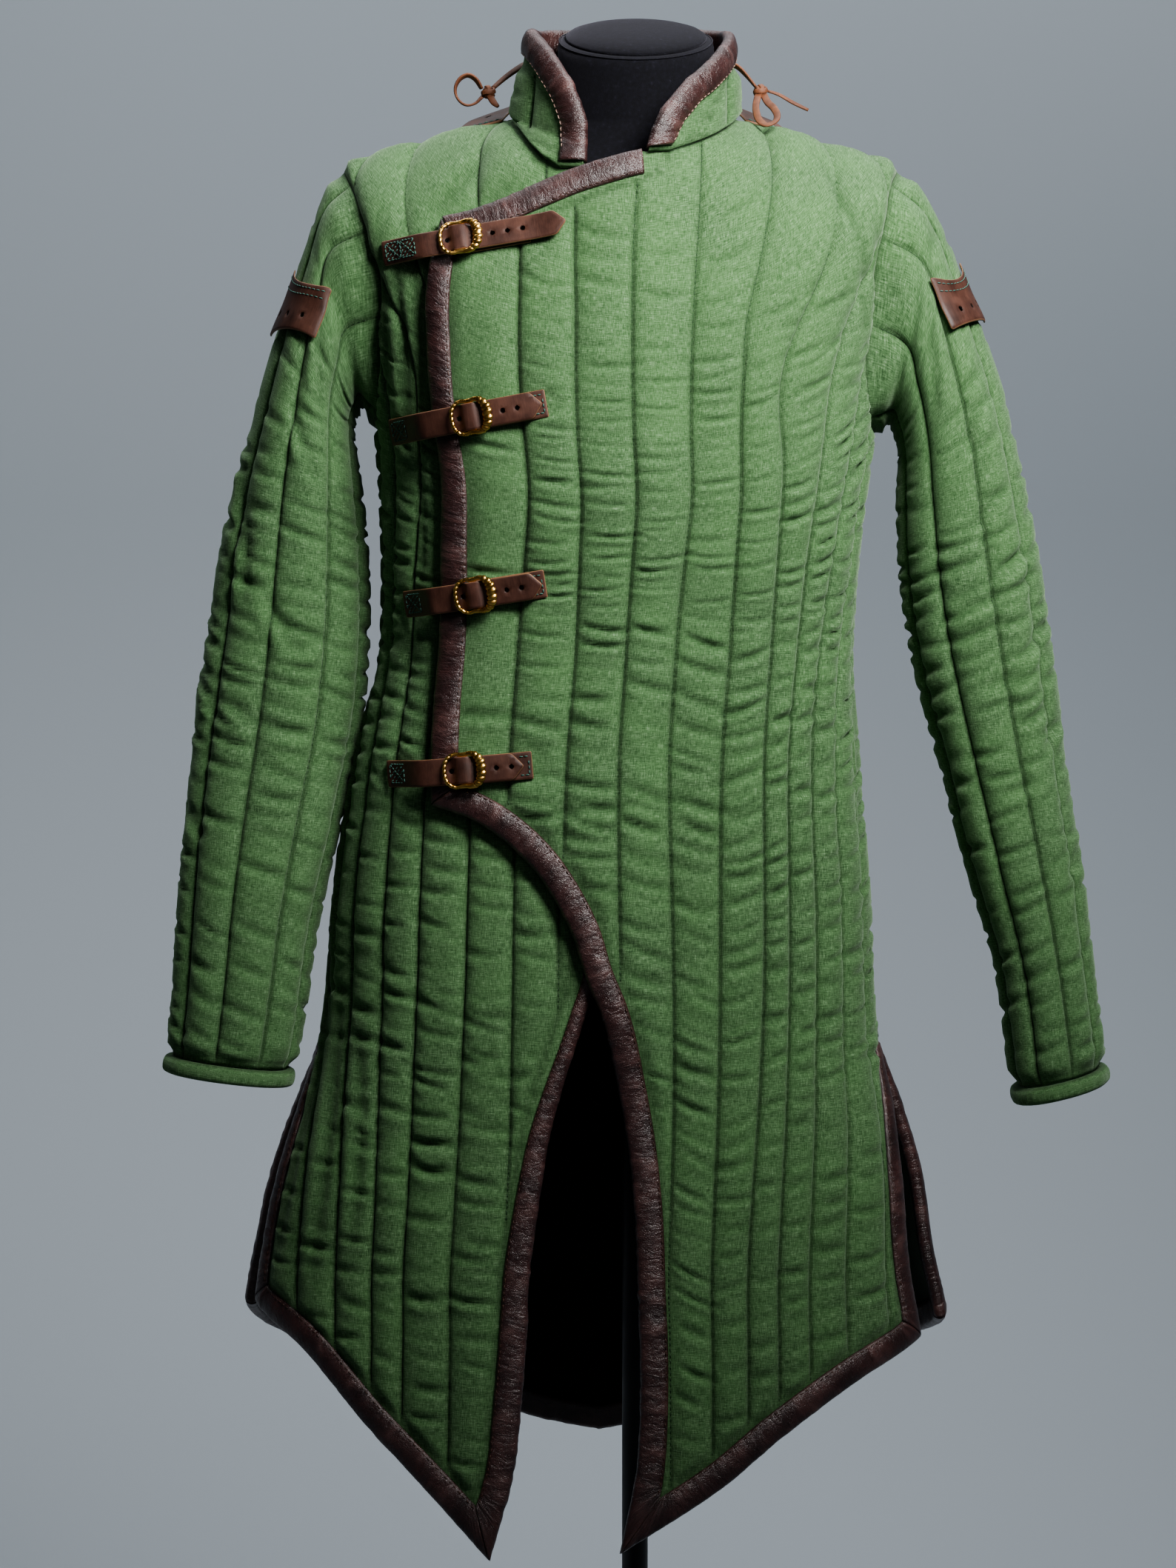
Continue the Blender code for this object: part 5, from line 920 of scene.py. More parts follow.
def form_look():
    """Black stretch cloth over foam: a fine knit with lint and a soft sheen."""
    look = Look("form_black_jersey", 0.92, Sheen_Weight=0.12, Sheen_Roughness=0.5, Sheen_Tint=(0.55, 0.53, 0.66, 1),
                Specular_IOR_Level=0.2)
    wale = look.noise((1500, 1500, 500), 2.0)
    lint = look.noise((320, 320, 320), 4.0)
    colour = look.ramp(lint, (0.40, srgb(10, 10, 15)), (0.62, srgb(15, 15, 22)), (0.85, srgb(34, 33, 43)))
    return look.finish(colour, (wale, 0.35, 0.0005), (lint, 0.15, 0.0008))


def steel_look():
    look = Look("stand_powder_coat", 0.5)
    orange_peel = look.noise((900, 900, 900), 2.0)
    wear = look.noise((25, 25, 25), 4.0)
    colour = look.ramp(wear, (0.35, srgb(16, 16, 18)), (0.75, srgb(26, 26, 29)))
    return look.finish(colour, (orange_peel, 0.2, 0.0004), roughness=look.ramp(wear, (0.3, 0.42), (0.7, 0.58)))


LINEN = linen_look()
# the same linen at 0.07 of its tone: painted shade for the coat's inside
SHADED_LINING = linen_look("linen_lining_painted_shade", 0.07)
BINDING_LEATHER = binding_look()
STRAP_LEATHER = strap_look()
LACE_LEATHER = lace_look()
BRASS = brass_look()
FORM_CLOTH = form_look()
STAND_STEEL = steel_look()
QUILT_THREAD = thread_look("quilting_thread", (46, 84, 46), (20, 42, 20))
TEAL_THREAD = thread_look("teal_thread", (86, 128, 116), (38, 72, 66))
BROWN_THREAD = thread_look("brown_thread", (84, 54, 44), (40, 24, 20))
PALE_THREAD = thread_look("pale_thread", (176, 150, 136), (112, 84, 76))


# ------------------------------------------------------------------ pieces and meshes

def add_piece(name, verts, faces, look, uv=None, shade=None, replaces=(), smooth_faces=True):
    """A piece of the coat: its mesh, its places on the cloth, its shade marks, finish and body."""
    shown = name + "_shown" if replaces else name
    mesh = bpy.data.meshes.new(shown)
    verts = np.asarray(verts, float)
    mesh.from_pydata(verts.tolist(), [], faces)
    looks = look if isinstance(look, (list, tuple)) else [look]
    for one in looks:
        mesh.materials.append(one)
    if smooth_faces:
        mesh.polygons.foreach_set("use_smooth", [True] * len(mesh.polygons))
    if uv is not None:
        index = np.empty(len(mesh.loops), int)
        mesh.loops.foreach_get("vertex_index", index)
        layer = mesh.uv_layers.new(name="cloth")
        layer.data.foreach_set("uv", np.asarray(uv, float)[index].ravel())
    marks = np.zeros((len(verts), 4))
    marks[:, 3] = 1
    if shade is not None:
        shade = np.asarray(shade, float)
        marks[:, :shade.shape[1]] = shade
    colour = mesh.color_attributes.new("shade", "FLOAT_COLOR", "POINT")
    colour.data.foreach_set("color", marks.ravel())
    mesh.update()
    ob = bpy.data.objects.new(shown, mesh)
    bpy.context.collection.objects.link(ob)
    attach(ob, "root")
    if replaces:
        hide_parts(*replaces)
    return ob


def outward(verts, faces):
    """The faces of a closed piece, turned round if they point inwards."""
    verts = np.asarray(verts, float)
    total = 0.0
    for count in {len(face) for face in faces}:
        corners = verts[np.array([face for face in faces if len(face) == count])]
        for k in range(1, count - 1):
            total += np.einsum("ij,ij->", corners[:, 0], np.cross(corners[:, k], corners[:, k + 1]))
    return [tuple(face[::-1]) for face in faces] if total < 0 else [tuple(face) for face in faces]


def tube_faces(rings, size, closed_rings=False, caps=True):
    """Faces of a tube of equal rings; closed_rings joins the last ring to the first."""
    faces = []
    for j in range(rings if closed_rings else rings - 1):
        a, b = j * size, ((j + 1) % rings) * size
        for k in range(size):
            n = (k + 1) % size
            faces.append((a + k, a + n, b + n, b + k))
    if caps and not closed_rings:
        faces.append(tuple(reversed(range(size))))
        faces.append(tuple((rings - 1) * size + k for k in range(size)))
    return faces


def frames_along(points, hint=(0.0, 0.0, 1.0)):
    """Directions along a route, and two across it that turn as little as they can."""
    points = np.asarray(points, float)
    ahead = unit(np.gradient(points, axis=0))
    side_way = np.cross(ahead[0], hint)
    if np.linalg.norm(side_way) < 1e-4:
        side_way = np.cross(ahead[0], (1.0, 0.0, 0.0))
    sides = [side_way / np.linalg.norm(side_way)]
    for way in ahead[1:]:
        side_way = sides[-1] - way * (sides[-1] @ way)
        sides.append(side_way / np.linalg.norm(side_way))
    sides = np.array(sides)
    return ahead, sides, np.cross(ahead, sides)


STITCH_SIDES = 4
# a stitch's rings: share of its length, width as a share of its radius, rise as a share of its bow
STITCH_RINGS = ((0.0, 0.45, -0.6), (0.22, 1.0, 0.5), (0.5, 1.05, 1.0), (0.78, 1.0, 0.5), (1.0, 0.45, -0.6))


def stitches(name, starts, ends, outs, look, slot, radius=0.00042, bow=0.0002):
    """Many short stitches as one mesh: each from a start to an end, bowed out of the cloth."""
    starts, ends, outs = (np.asarray(v, float).reshape(-1, 3) for v in (starts, ends, outs))
    ahead = unit(ends - starts)
    across = unit(np.cross(ahead, outs))
    up = np.cross(across, ahead)
    rings = []
    for share, wide, rise in STITCH_RINGS:
        centre = starts + (ends - starts) * share + up * (bow * rise)
        for k in range(STITCH_SIDES):
            b = 2 * math.pi * k / STITCH_SIDES
            rings.append(centre + radius * wide * (math.cos(b) * across + math.sin(b) * up))
    block = np.stack(rings, axis=1)
    count, size = block.shape[:2]
    one = np.array([f for f in tube_faces(len(STITCH_RINGS), STITCH_SIDES, caps=False)])
    caps = [tuple(reversed(range(STITCH_SIDES))), tuple(range(size - STITCH_SIDES, size))]
    shift = (np.arange(count) * size)[:, None, None]
    faces = (one[None] + shift).reshape(-1, 4).tolist()
    faces += (np.array(caps)[None] + shift).reshape(-1, STITCH_SIDES).tolist()
    return add_piece(name, block.reshape(-1, 3), faces, look)


def seam_stitches(points, outs, length, gap):
    """Starts and ends of even stitches along a line of close points."""
    points, outs = np.asarray(points, float), np.asarray(outs, float)
    along = np.concatenate([[0], np.cumsum(np.linalg.norm(np.diff(points, axis=0), axis=1))])
    count = int(along[-1] / (length + gap))
    first = (np.arange(count) + 0.5) * (length + gap) - length / 2
    first = first + 0.12 * gap * np.sin(12.9 * np.arange(count))

    def at(places, values):
        return np.stack([np.interp(places, along, values[:, k]) for k in range(3)], axis=1)

    starts, ends, ways = at(first, points), at(first + length, points), at(first + length / 2, outs)
    return starts, ends, ways


# ------------------------------------------------------------------ uneven cloth

def lattice(x, y, seed):
    """Smooth uneven values from -1 to 1 over a plane, one knot to a unit."""
    knots = np.random.default_rng(seed).uniform(-1, 1, (97, 97))
    x, y = np.broadcast_arrays(np.asarray(x, float), np.asarray(y, float))
    i, j = np.floor(x).astype(int), np.floor(y).astype(int)
    u, v = x - i, y - j
    u, v = u * u * (3 - 2 * u), v * v * (3 - 2 * v)
    a, b = knots[i % 97, j % 97], knots[(i + 1) % 97, j % 97]
    c, d = knots[i % 97, (j + 1) % 97], knots[(i + 1) % 97, (j + 1) % 97]
    return (a * (1 - u) + b * u) * (1 - v) + (c * (1 - u) + d * u) * v


CREASE_STRENGTH = 2.3


def crease_rows(zones, seed, lines):
    """Creases scattered over zones, one channel wide or less, each (s, h, half length, slope, depth, width).
    lines(h) gives the quilting lines' places at h."""
    draw = np.random.default_rng(seed)
    rows = []
    for s0, s1, h0, h1, every, slope0, slope1, depth in zones:
        for k in range(len(lines(h0)) - 1):
            h = h0 + draw.uniform(0, every)
            while h < h1:
                places = lines(h)
                wide = places[k + 1] - places[k]
                here = places[k] + wide * draw.uniform(0.32, 0.68)
                if s0 < here < s1 and 0.010 < wide < 0.070:
                    share = (here - s0) / (s1 - s0)
                    slope = slope0 + (slope1 - slope0) * share + draw.uniform(-0.13, 0.13)
                    rows.append((here, h, wide * draw.uniform(0.36, 0.66), slope,
                                 CREASE_STRENGTH * depth * draw.uniform(0.25, 1.30), draw.uniform(0.0020, 0.0038)))
                h += every * draw.uniform(0.55, 1.6)
    return rows


def crease_depth(rows, s, h):
    """How far the creases push the cloth in (below 0) or raise it beside them."""
    out = np.zeros_like(s)
    for s0, h0, half, slope, depth, width in rows:
        near = np.flatnonzero((np.abs(s - s0) < half) & (np.abs(h - h0) < np.abs(slope) * half + 5 * width))
        if not len(near):
            continue
        x = (s[near] - s0) / half
        d = (h[near] - h0 - slope * (s[near] - s0) + 0.12 * half * x * x) / width
        fade = np.clip(1 - x * x, 0, 1)**0.8
        out[near] += depth * fade * (0.60 * np.exp(-((d - 1.9) / 1.2)**2) + 0.30 * np.exp(-((d + 2.0) / 1.3)**2)
                                     - np.exp(-d * d))
    return out


def fold_depth(folds, across, along):
    """How far folds push the cloth in, with a ridge along one side: each from (across, along) to
    (across, along), with its depth and width."""
    out = np.zeros_like(across)
    for u0, v0, u1, v1, depth, wide in folds:
        length = math.hypot(u1 - u0, v1 - v0)
        way = ((u1 - u0) / length, (v1 - v0) / length)
        t = ((across - u0) * way[0] + (along - v0) * way[1]) / length
        near = np.flatnonzero((t > 0) & (t < 1))
        if not len(near):
            continue
        t = t[near]
        d = ((along[near] - v0) * way[0] - (across[near] - u0) * way[1] + 0.10 * length * t * (1 - t)) / wide
        fade = np.clip(4 * t * (1 - t), 0, 1)**0.6
        out[near] += depth * fade * (0.80 * np.exp(-((d - 1.8) / 1.3)**2) - np.exp(-d * d))
    return out


# Where the creases lie: round from and to, down from and to, spacing, slope at each side, and depth
ZONES = {
    "overlap": (
        # round_from, round_to, down_from, down_to, every, slope_from, slope_to, depth
        (-0.140, 0.200, 0.060, 0.240, 0.021, 0.08, -0.06, 0.00080),
        (-0.130, 0.120, 0.240, 0.440, 0.022, 0.04, -0.06, 0.00085),
        (-0.120, 0.083, 0.440, 0.640, 0.018, 0.08, 0.30, 0.00135),
        (-0.060, 0.083, 0.640, 1.040, 0.021, 0.22, 0.42, 0.00125),
        (0.083, 0.280, 0.440, 0.760, 0.018, -0.34, -0.22, 0.00140),
        (0.083, 0.260, 0.760, 1.040, 0.024, -0.28, -0.10, 0.00110),
        (0.120, 0.280, 0.270, 0.440, 0.015, -0.20, -0.40, 0.00135),
        (0.120, 0.260, 0.070, 0.270, 0.024, 0.10, 0.30, 0.00080),
    ),
    "underlap": (
        (-0.280, -0.060, 0.060, 0.260, 0.024, -0.20, 0.00, 0.00080),
        (-0.290, -0.110, 0.260, 0.560, 0.016, 0.20, 0.05, 0.00125),
        (-0.290, 0.000, 0.560, 0.820, 0.022, 0.16, 0.06, 0.00110),
        (-0.290, -0.040, 0.820, 1.080, 0.023, 0.20, -0.08, 0.00115),
    ),
    "back": (
        (-0.280, 0.280, 0.030, 0.220, 0.034, 0.06, -0.06, 0.00050),
        (-0.280, 0.280, 0.220, 0.400, 0.024, -0.14, 0.14, 0.00090),
        (-0.290, 0.290, 0.400, 0.620, 0.018, 0.22, -0.22, 0.00135),
        (-0.320, 0.320, 0.620, 0.840, 0.022, 0.26, -0.26, 0.00115),
        (-0.340, 0.340, 0.840, 1.060, 0.025, 0.12, -0.12, 0.00100),
    ),
    "collar": (
        (0.010, 0.460, -0.050, -0.002, 0.016, 0.00, 0.00, 0.00030),
    ),
}
# The main creases, placed one by one: round, down, half length, slope, depth, width
MAIN_CREASES = {
    "overlap": (
        (-0.010, 0.586, 0.034, -0.03, 0.0030, 0.0036), (-0.050, 0.590, 0.020, 0.02, 0.0024, 0.0034),
        (-0.014, 0.606, 0.024, 0.10, 0.0022, 0.0032), (0.028, 0.583, 0.020, 0.32, 0.0027, 0.0036),
        (0.030, 0.622, 0.020, 0.26, 0.0022, 0.0034), (-0.008, 0.640, 0.026, 0.18, 0.0028, 0.0036),
        (0.028, 0.668, 0.019, 0.24, 0.0026, 0.0034), (0.030, 0.704, 0.018, 0.34, 0.0024, 0.0036),
        (0.064, 0.612, 0.018, 0.30, 0.0026, 0.0036), (0.064, 0.655, 0.017, 0.36, 0.0030, 0.0038),
        (0.064, 0.706, 0.017, 0.34, 0.0026, 0.0038), (0.064, 0.752, 0.016, 0.30, 0.0024, 0.0036),
        (0.098, 0.590, 0.015, -0.36, 0.0028, 0.0036), (0.098, 0.630, 0.015, -0.38, 0.0030, 0.0038),
        (0.098, 0.684, 0.015, -0.36, 0.0026, 0.0038), (0.124, 0.520, 0.012, -0.40, 0.0026, 0.0034),
        (0.124, 0.566, 0.012, -0.36, 0.0026, 0.0034), (0.146, 0.500, 0.013, -0.30, 0.0028, 0.0036),
        (0.062, 0.470, 0.018, 0.04, 0.0024, 0.0034), (0.025, 0.452, 0.018, 0.06, 0.0022, 0.0034),
        (0.096, 0.446, 0.014, -0.18, 0.0024, 0.0034), (-0.030, 0.300, 0.030, 0.03, 0.0016, 0.0036),
        (0.026, 0.336, 0.018, -0.04, 0.0016, 0.0034), (-0.095, 0.268, 0.026, 0.08, 0.0024, 0.0038),
        (-0.093, 0.396, 0.024, 0.06, 0.0026, 0.0038), (-0.090, 0.520, 0.024, 0.06, 0.0026, 0.0038),
        (-0.048, 0.405, 0.018, 0.10, 0.0020, 0.0034), (0.170, 0.300, 0.018, -0.50, 0.0026, 0.0038),
        (0.190, 0.330, 0.018, -0.42, 0.0028, 0.0038), (0.150, 0.350, 0.016, -0.30, 0.0024, 0.0036),
    ),
    "underlap": (
        (-0.122, 0.722, 0.016, 0.34, 0.0030, 0.0038), (-0.085, 0.736, 0.018, 0.30, 0.0028, 0.0036),
        (-0.086, 0.762, 0.018, 0.12, 0.0026, 0.0036), (-0.124, 0.776, 0.016, 0.40, 0.0030, 0.0038),
        (-0.086, 0.800, 0.018, 0.22, 0.0026, 0.0036), (-0.060, 0.772, 0.014, -0.02, 0.0024, 0.0034),
        (-0.120, 0.666, 0.016, 0.28, 0.0022, 0.0034), (-0.086, 0.846, 0.017, 0.20, 0.0024, 0.0036),
        (-0.122, 0.838, 0.015, 0.30, 0.0026, 0.0036), (-0.150, 0.700, 0.014, 0.26, 0.0026, 0.0036),
        (-0.150, 0.752, 0.013, 0.32, 0.0026, 0.0036), (-0.175, 0.730, 0.014, 0.30, 0.0028, 0.0038),
        (-0.205, 0.716, 0.014, 0.22, 0.0026, 0.0038), (-0.176, 0.800, 0.014, 0.28, 0.0026, 0.0036),
        (-0.088, 0.900, 0.016, 0.10, 0.0022, 0.0034), (-0.118, 0.930, 0.014, 0.16, 0.0022, 0.0034),
        (-0.170, 0.470, 0.014, 0.16, 0.0026, 0.0034), (-0.195, 0.440, 0.014, 0.22, 0.0028, 0.0036),
        (-0.165, 0.350, 0.014, 0.20, 0.0026, 0.0036), (-0.200, 0.370, 0.014, 0.26, 0.0026, 0.0036),
    ),
    "back": (
        (-0.060, 0.470, 0.020, 0.20, 0.0026, 0.0036), (-0.020, 0.500, 0.020, 0.06, 0.0028, 0.0038),
        (0.020, 0.462, 0.020, -0.08, 0.0026, 0.0036), (0.060, 0.510, 0.020, -0.22, 0.0028, 0.0038),
        (-0.100, 0.520, 0.018, 0.28, 0.0028, 0.0036), (0.100, 0.486, 0.018, -0.30, 0.0026, 0.0036),
        (-0.140, 0.600, 0.018, 0.30, 0.0026, 0.0036), (0.140, 0.640, 0.018, -0.30, 0.0026, 0.0036),
        (-0.180, 0.300, 0.018, 0.40, 0.0026, 0.0036), (0.180, 0.320, 0.018, -0.40, 0.0026, 0.0036),
        (-0.060, 0.730, 0.018, 0.16, 0.0024, 0.0036), (0.060, 0.780, 0.018, -0.18, 0.0024, 0.0036),
    ),
    "collar": (),
}
# Long folds, from (round, down) to (round, down), with depth and width
LONG_FOLDS = {
    "overlap": (
        (0.176, 0.060, 0.196, 0.250, 0.0024, 0.0050), (0.205, 0.120, 0.214, 0.300, 0.0026, 0.0052),
        (0.205, 0.470, 0.214, 0.640, 0.0022, 0.0050), (0.236, 0.480, 0.248, 0.700, 0.0024, 0.0054),
        (-0.104, 0.110, -0.100, 0.270, 0.0018, 0.0046),
    ),
    "underlap": (
        (-0.176, 0.100, -0.168, 0.330, 0.0034, 0.0042), (-0.160, 0.110, -0.150, 0.300, 0.0030, 0.0038),
        (-0.196, 0.110, -0.190, 0.280, 0.0030, 0.0046), (-0.148, 0.330, -0.146, 0.470, 0.0028, 0.0040),
        (-0.114, 0.030, -0.150, 0.095, 0.0028, 0.0050), (-0.080, 0.034, -0.118, 0.090, 0.0024, 0.0050),
        (-0.232, 0.735, -0.242, 0.915, 0.0042, 0.0060), (-0.206, 0.700, -0.203, 0.925, 0.0040, 0.0056),
        (-0.176, 0.740, -0.172, 0.900, 0.0032, 0.0050), (-0.252, 0.620, -0.240, 0.790, 0.0036, 0.0056),
        (-0.212, 0.520, -0.222, 0.700, 0.0030, 0.0050),
    ),
    "back": (
        (-0.210, 0.420, -0.216, 0.640, 0.0026, 0.0056), (0.212, 0.400, 0.216, 0.620, 0.0026, 0.0056),
        (-0.250, 0.560, -0.262, 0.760, 0.0028, 0.0056), (0.250, 0.580, 0.262, 0.770, 0.0028, 0.0056),
        (-0.190, 0.120, -0.214, 0.300, 0.0026, 0.0054), (0.190, 0.110, 0.214, 0.290, 0.0026, 0.0054),
    ),
    "collar": (),
}


def channel_places(kind, s, h):
    """Share across the channel, the channel's number and its width, at each place."""
    places = lines_of(kind, h)
    share, number, width = np.zeros_like(s), np.zeros_like(s), np.full_like(s, 0.04)
    for k, (a, b) in enumerate(zip(places[:-1], places[1:])):
        pick = (s >= a) & (s < b)
        share[pick] = ((s - a) / np.maximum(b - a, 1e-6))[pick]
        number[pick], width[pick] = k, (b - a)[pick]
    return share, number, width


def coarse_edges(panel):
    return [(name, bound, np.vstack([edge[:-1:7], edge[-1:]])) for name, bound, edge, _ in panel["edges"]]


PUFF = 2.0              # how square a channel's crown is
CROWN, AT_LINE = 0.0088, 0.0022     # thickness at a channel's crown and under its lines
MOST = 0.0094           # the thickest that a bulge gets
PUCKER = 0.0085         # spacing of the small puckers along a quilting line


def padding(panel, points):
    """Thickness of the quilted wall, and painted shade marks for its grooves and creases."""
    kind = panel["kind"]
    s, h = points[:, 0].copy(), points[:, 1].copy()
    share, number, width = channel_places(kind, s, h)
    side_on = np.abs(2 * share - 1)
    crown = np.sqrt(np.clip(1 - side_on**PUFF, 0, 1))
    swell = 1 + 0.16 * lattice(h / 0.045, number + 0.3, 11) + 0.08 * lattice(h / 0.016, number * 3.7, 12)
    puff = (CROWN - AT_LINE) * crown * swell * np.clip(width / 0.026, 0.35, 1)**0.6
    away = np.minimum(share, 1 - share) * width
    creases = crease_depth(CREASES[kind], s, h) + fold_depth(LONG_FOLDS[kind], s, h)
    ripple = 0.00050 * lattice(h / PUCKER * 2, number * 5.1 + np.round(share), 13) * np.exp(-(away / 0.006)**2)
    slack = 0.00035 * lattice(s / 0.018, h / 0.013, 14)
    thick = AT_LINE + puff + (0.30 + 0.70 * crown) * creases + crown**0.5 * (ripple + slack)
    thick = under_straps(kind, points, np.clip(thick, AT_LINE * 0.6, MOST))
    # painted shade mark, darkest on each quilting line; the seams and the bindings' inner edges get it below
    groove_shade = np.exp(-(away / 0.0014)**2)
    if kind == "underlap":
        rim = np.array(LAP_OUTLINE)
        off = np.where(inside(points, rim), 0.0, edge_distance(points, rim[:-2]))
        thick += (np.minimum(thick, PRESSED) - thick) * step(off, 0.018, 0.003)
    for name, bound, edge in coarse_edges(panel):
        far = edge_distance(points, edge)
        if bound:
            thick = EDGE_WALL + (thick - EDGE_WALL) * step(far, BINDING * 1.02, BINDING * 1.55)
            groove_shade = np.maximum(groove_shade * step(far, BINDING * 0.9, BINDING * 1.1),
                                0.8 * np.exp(-((far - BINDING) / 0.0022)**2))
        else:
            thick = LINE_WALL + (thick - LINE_WALL) * step(far, 0.0, NECK_FADE if name == "neck" else 0.008)
            groove_shade = np.maximum(groove_shade, np.exp(-(far / 0.0018)**2))
    marks = np.stack([groove_shade, np.clip(-creases / 0.0016, 0, 1)], axis=1)
    return thick, marks


CREASES = {kind: crease_rows(zones, 20 + k, lambda h, kind=kind: lines_of(kind, h)[:, 0]) + list(MAIN_CREASES[kind])
           for k, (kind, zones) in enumerate(ZONES.items())}


def front_place(x, z, level):
    """Places (round, down) over which the surface that lies level out from the coat's inner face
    has x and z as seen from -Y."""
    x, z, level = np.broadcast_arrays(*(np.asarray(v, float) for v in (x, z, level)))
    s, h = x.copy(), np.interp(-z, [-1.5, -1.11, -0.45], [0.0, 0.485, 1.11]).astype(float)
    e = 0.0005
    for _ in range(16):
        p = on_coat(s, h, level)
        ds, dh = (on_coat(s + e, h, level) - p) / e, (on_coat(s, h + e, level) - p) / e
        a, b, c, d = ds[..., 0], dh[..., 0], ds[..., 2], dh[..., 2]
        det = a * d - b * c
        ex, ez = x - p[..., 0], z - p[..., 2]
        s = s + np.clip((d * ex - b * ez) / det, -0.02, 0.02)
        h = np.clip(h + np.clip((a * ez - c * ex) / det, -0.02, 0.02), 0, LEVELS[-1] - 0.001)
    return s, h


def on_front(x, z, level, out):
    """Points out from the coat's inner face over the places that front_place finds."""
    return on_coat(*front_place(x, z, level), out)


def strap_lines():
    """For each panel, where straps press on it: a line of places, its half width and the room under it."""
    lines = {"overlap": [], "underlap": []}
    for row in STRAPS:
        for kind, start, end, room in (("overlap", 0.22, max(row[5], 0.8), row[7] - LAP_LIFT - 0.0009),
                                       ("underlap", 0.0, 0.10, row[6] - 0.0009)):
            t = np.linspace(start, end, 12)
            x, z = row[0] + (row[2] - row[0]) * t, row[1] + (row[3] - row[1]) * t
            lines[kind].append((np.stack(front_place(x, z, strap_rise(row, t)), axis=1), room))
    return lines


STRAP_LINES = strap_lines()


def under_straps(kind, points, thick):
    """The wall pressed down under the straps, with soft shoulders beside them."""
    for line, room in STRAP_LINES.get(kind, ()):
        (s0, h0), (s1, h1) = line.min(axis=0) - 0.03, line.max(axis=0) + 0.03
        s, h = points.T
        near = np.flatnonzero((s > s0) & (s < s1) & (h > h0) & (h < h1))
        beside = edge_distance(points[near], line) - CHAPE_WIDTH / 2 - 0.0010
        thick[near] = np.minimum(thick[near], room + 0.55 * np.maximum(beside, 0))
    return thick


# ------------------------------------------------------------------ the quilted panels

ROW_STEP = 0.0026       # spacing of the fine points down the cloth
SHARES = (0.0, 0.030, 0.080, 0.160, 0.260, 0.380, 0.500, 0.620, 0.740, 0.840, 0.920, 0.970)
LINING_STEP = 0.012     # spacing of the points of the plain inside


def triangulate(outline, inner):
    """Triangles over an outline and the points inside it."""
    coords = [Vector(p) for p in np.vstack([outline, inner]).tolist()]
    _, _, faces, origin, _, _ = delaunay_2d_cdt(coords, [], [list(range(len(outline)))], 1, 1e-9)
    back = [min(group) if group else -1 for group in origin]
    faces = [tuple(back[k] for k in face) for face in faces]
    return [face for face in faces if min(face) >= 0]


def clear_of(points, outline, margin):
    """The points inside an outline and farther than the margin from it."""
    points = points[inside(points, outline)]
    loop = np.vstack([outline, outline[:1]])
    far = np.ones(len(points), bool)
    coarse = edge_distance(points, np.vstack([loop[::6], loop[:1]]))
    near = np.flatnonzero(coarse < 0.012)
    far[near] = edge_distance(points[near], loop) > margin
    return points[far]


def fine_grid(panel, outline):
    """Points of the outer face, close together beside the quilting lines."""
    low, high = outline[:, 1].min(), outline[:, 1].max()
    rows = np.arange(low + ROW_STEP / 2, high, ROW_STEP)
    places = lines_of(panel["kind"], rows)
    columns = []
    for a, b in zip(places[:-1], places[1:]):
        for share in SHARES:
            s = a + (b - a) * share
            columns.append(np.stack([s, rows], axis=1)[b - a > 0.012 * (share > 0)])
    return np.concatenate(columns)


def even_grid(outline, spacing):
    (s0, h0), (s1, h1) = outline.min(axis=0), outline.max(axis=0)
    s, h = np.meshgrid(np.arange(s0 + spacing / 2, s1, spacing), np.arange(h0 + spacing / 2, h1, spacing))
    return np.stack([s.ravel(), h.ravel()], axis=1)


def quilted_piece(name, panel):
    """A panel of the coat: quilted outside, plain inside, closed round its edges."""
    kind = panel["kind"]
    outline = closed_outline(panel)
    outer = np.vstack([outline, clear_of(fine_grid(panel, outline), outline, 0.0013)])
    inner = np.vstack([outline, clear_of(even_grid(outline, LINING_STEP), outline, 0.004)])
    outer_faces = triangulate(outline, outer[len(outline):])
    inner_faces = triangulate(outline, inner[len(outline):])
    thick, marks = padding(panel, outer)
    over = place(kind, outer[:, 0], outer[:, 1], lift(kind, *outer.T) + thick)
    under = place(kind, inner[:, 0], inner[:, 1], lift(kind, *inner.T))
    count, rim = len(outer), len(outline)
    faces = list(outer_faces) + [tuple(k + count for k in face[::-1]) for face in inner_faces]
    turn = 1 if polygon_area(outline) > 0 else -1
    for k in range(rim):
        n = (k + 1) % rim
        quad = (k, k + count, n + count, n)
        faces.append(quad if turn > 0 else quad[::-1])
    verts = np.vstack([over, under])
    faces = outward(verts, faces)
    shade = np.vstack([marks, np.zeros((len(inner), 2))])
    ob = add_piece(name, verts, faces, (LINEN, SHADED_LINING),
                   uv=np.vstack([outer, inner]), shade=shade, replaces=(name,))
    index = np.zeros(len(faces), int)
    index[len(outer_faces):len(outer_faces) + len(inner_faces)] = 1
    ob.data.polygons.foreach_set("material_index", index)
    flat_area = abs(polygon_area(outline))
    size = outline.max(axis=0) - outline.min(axis=0)
    return ob, size, flat_area


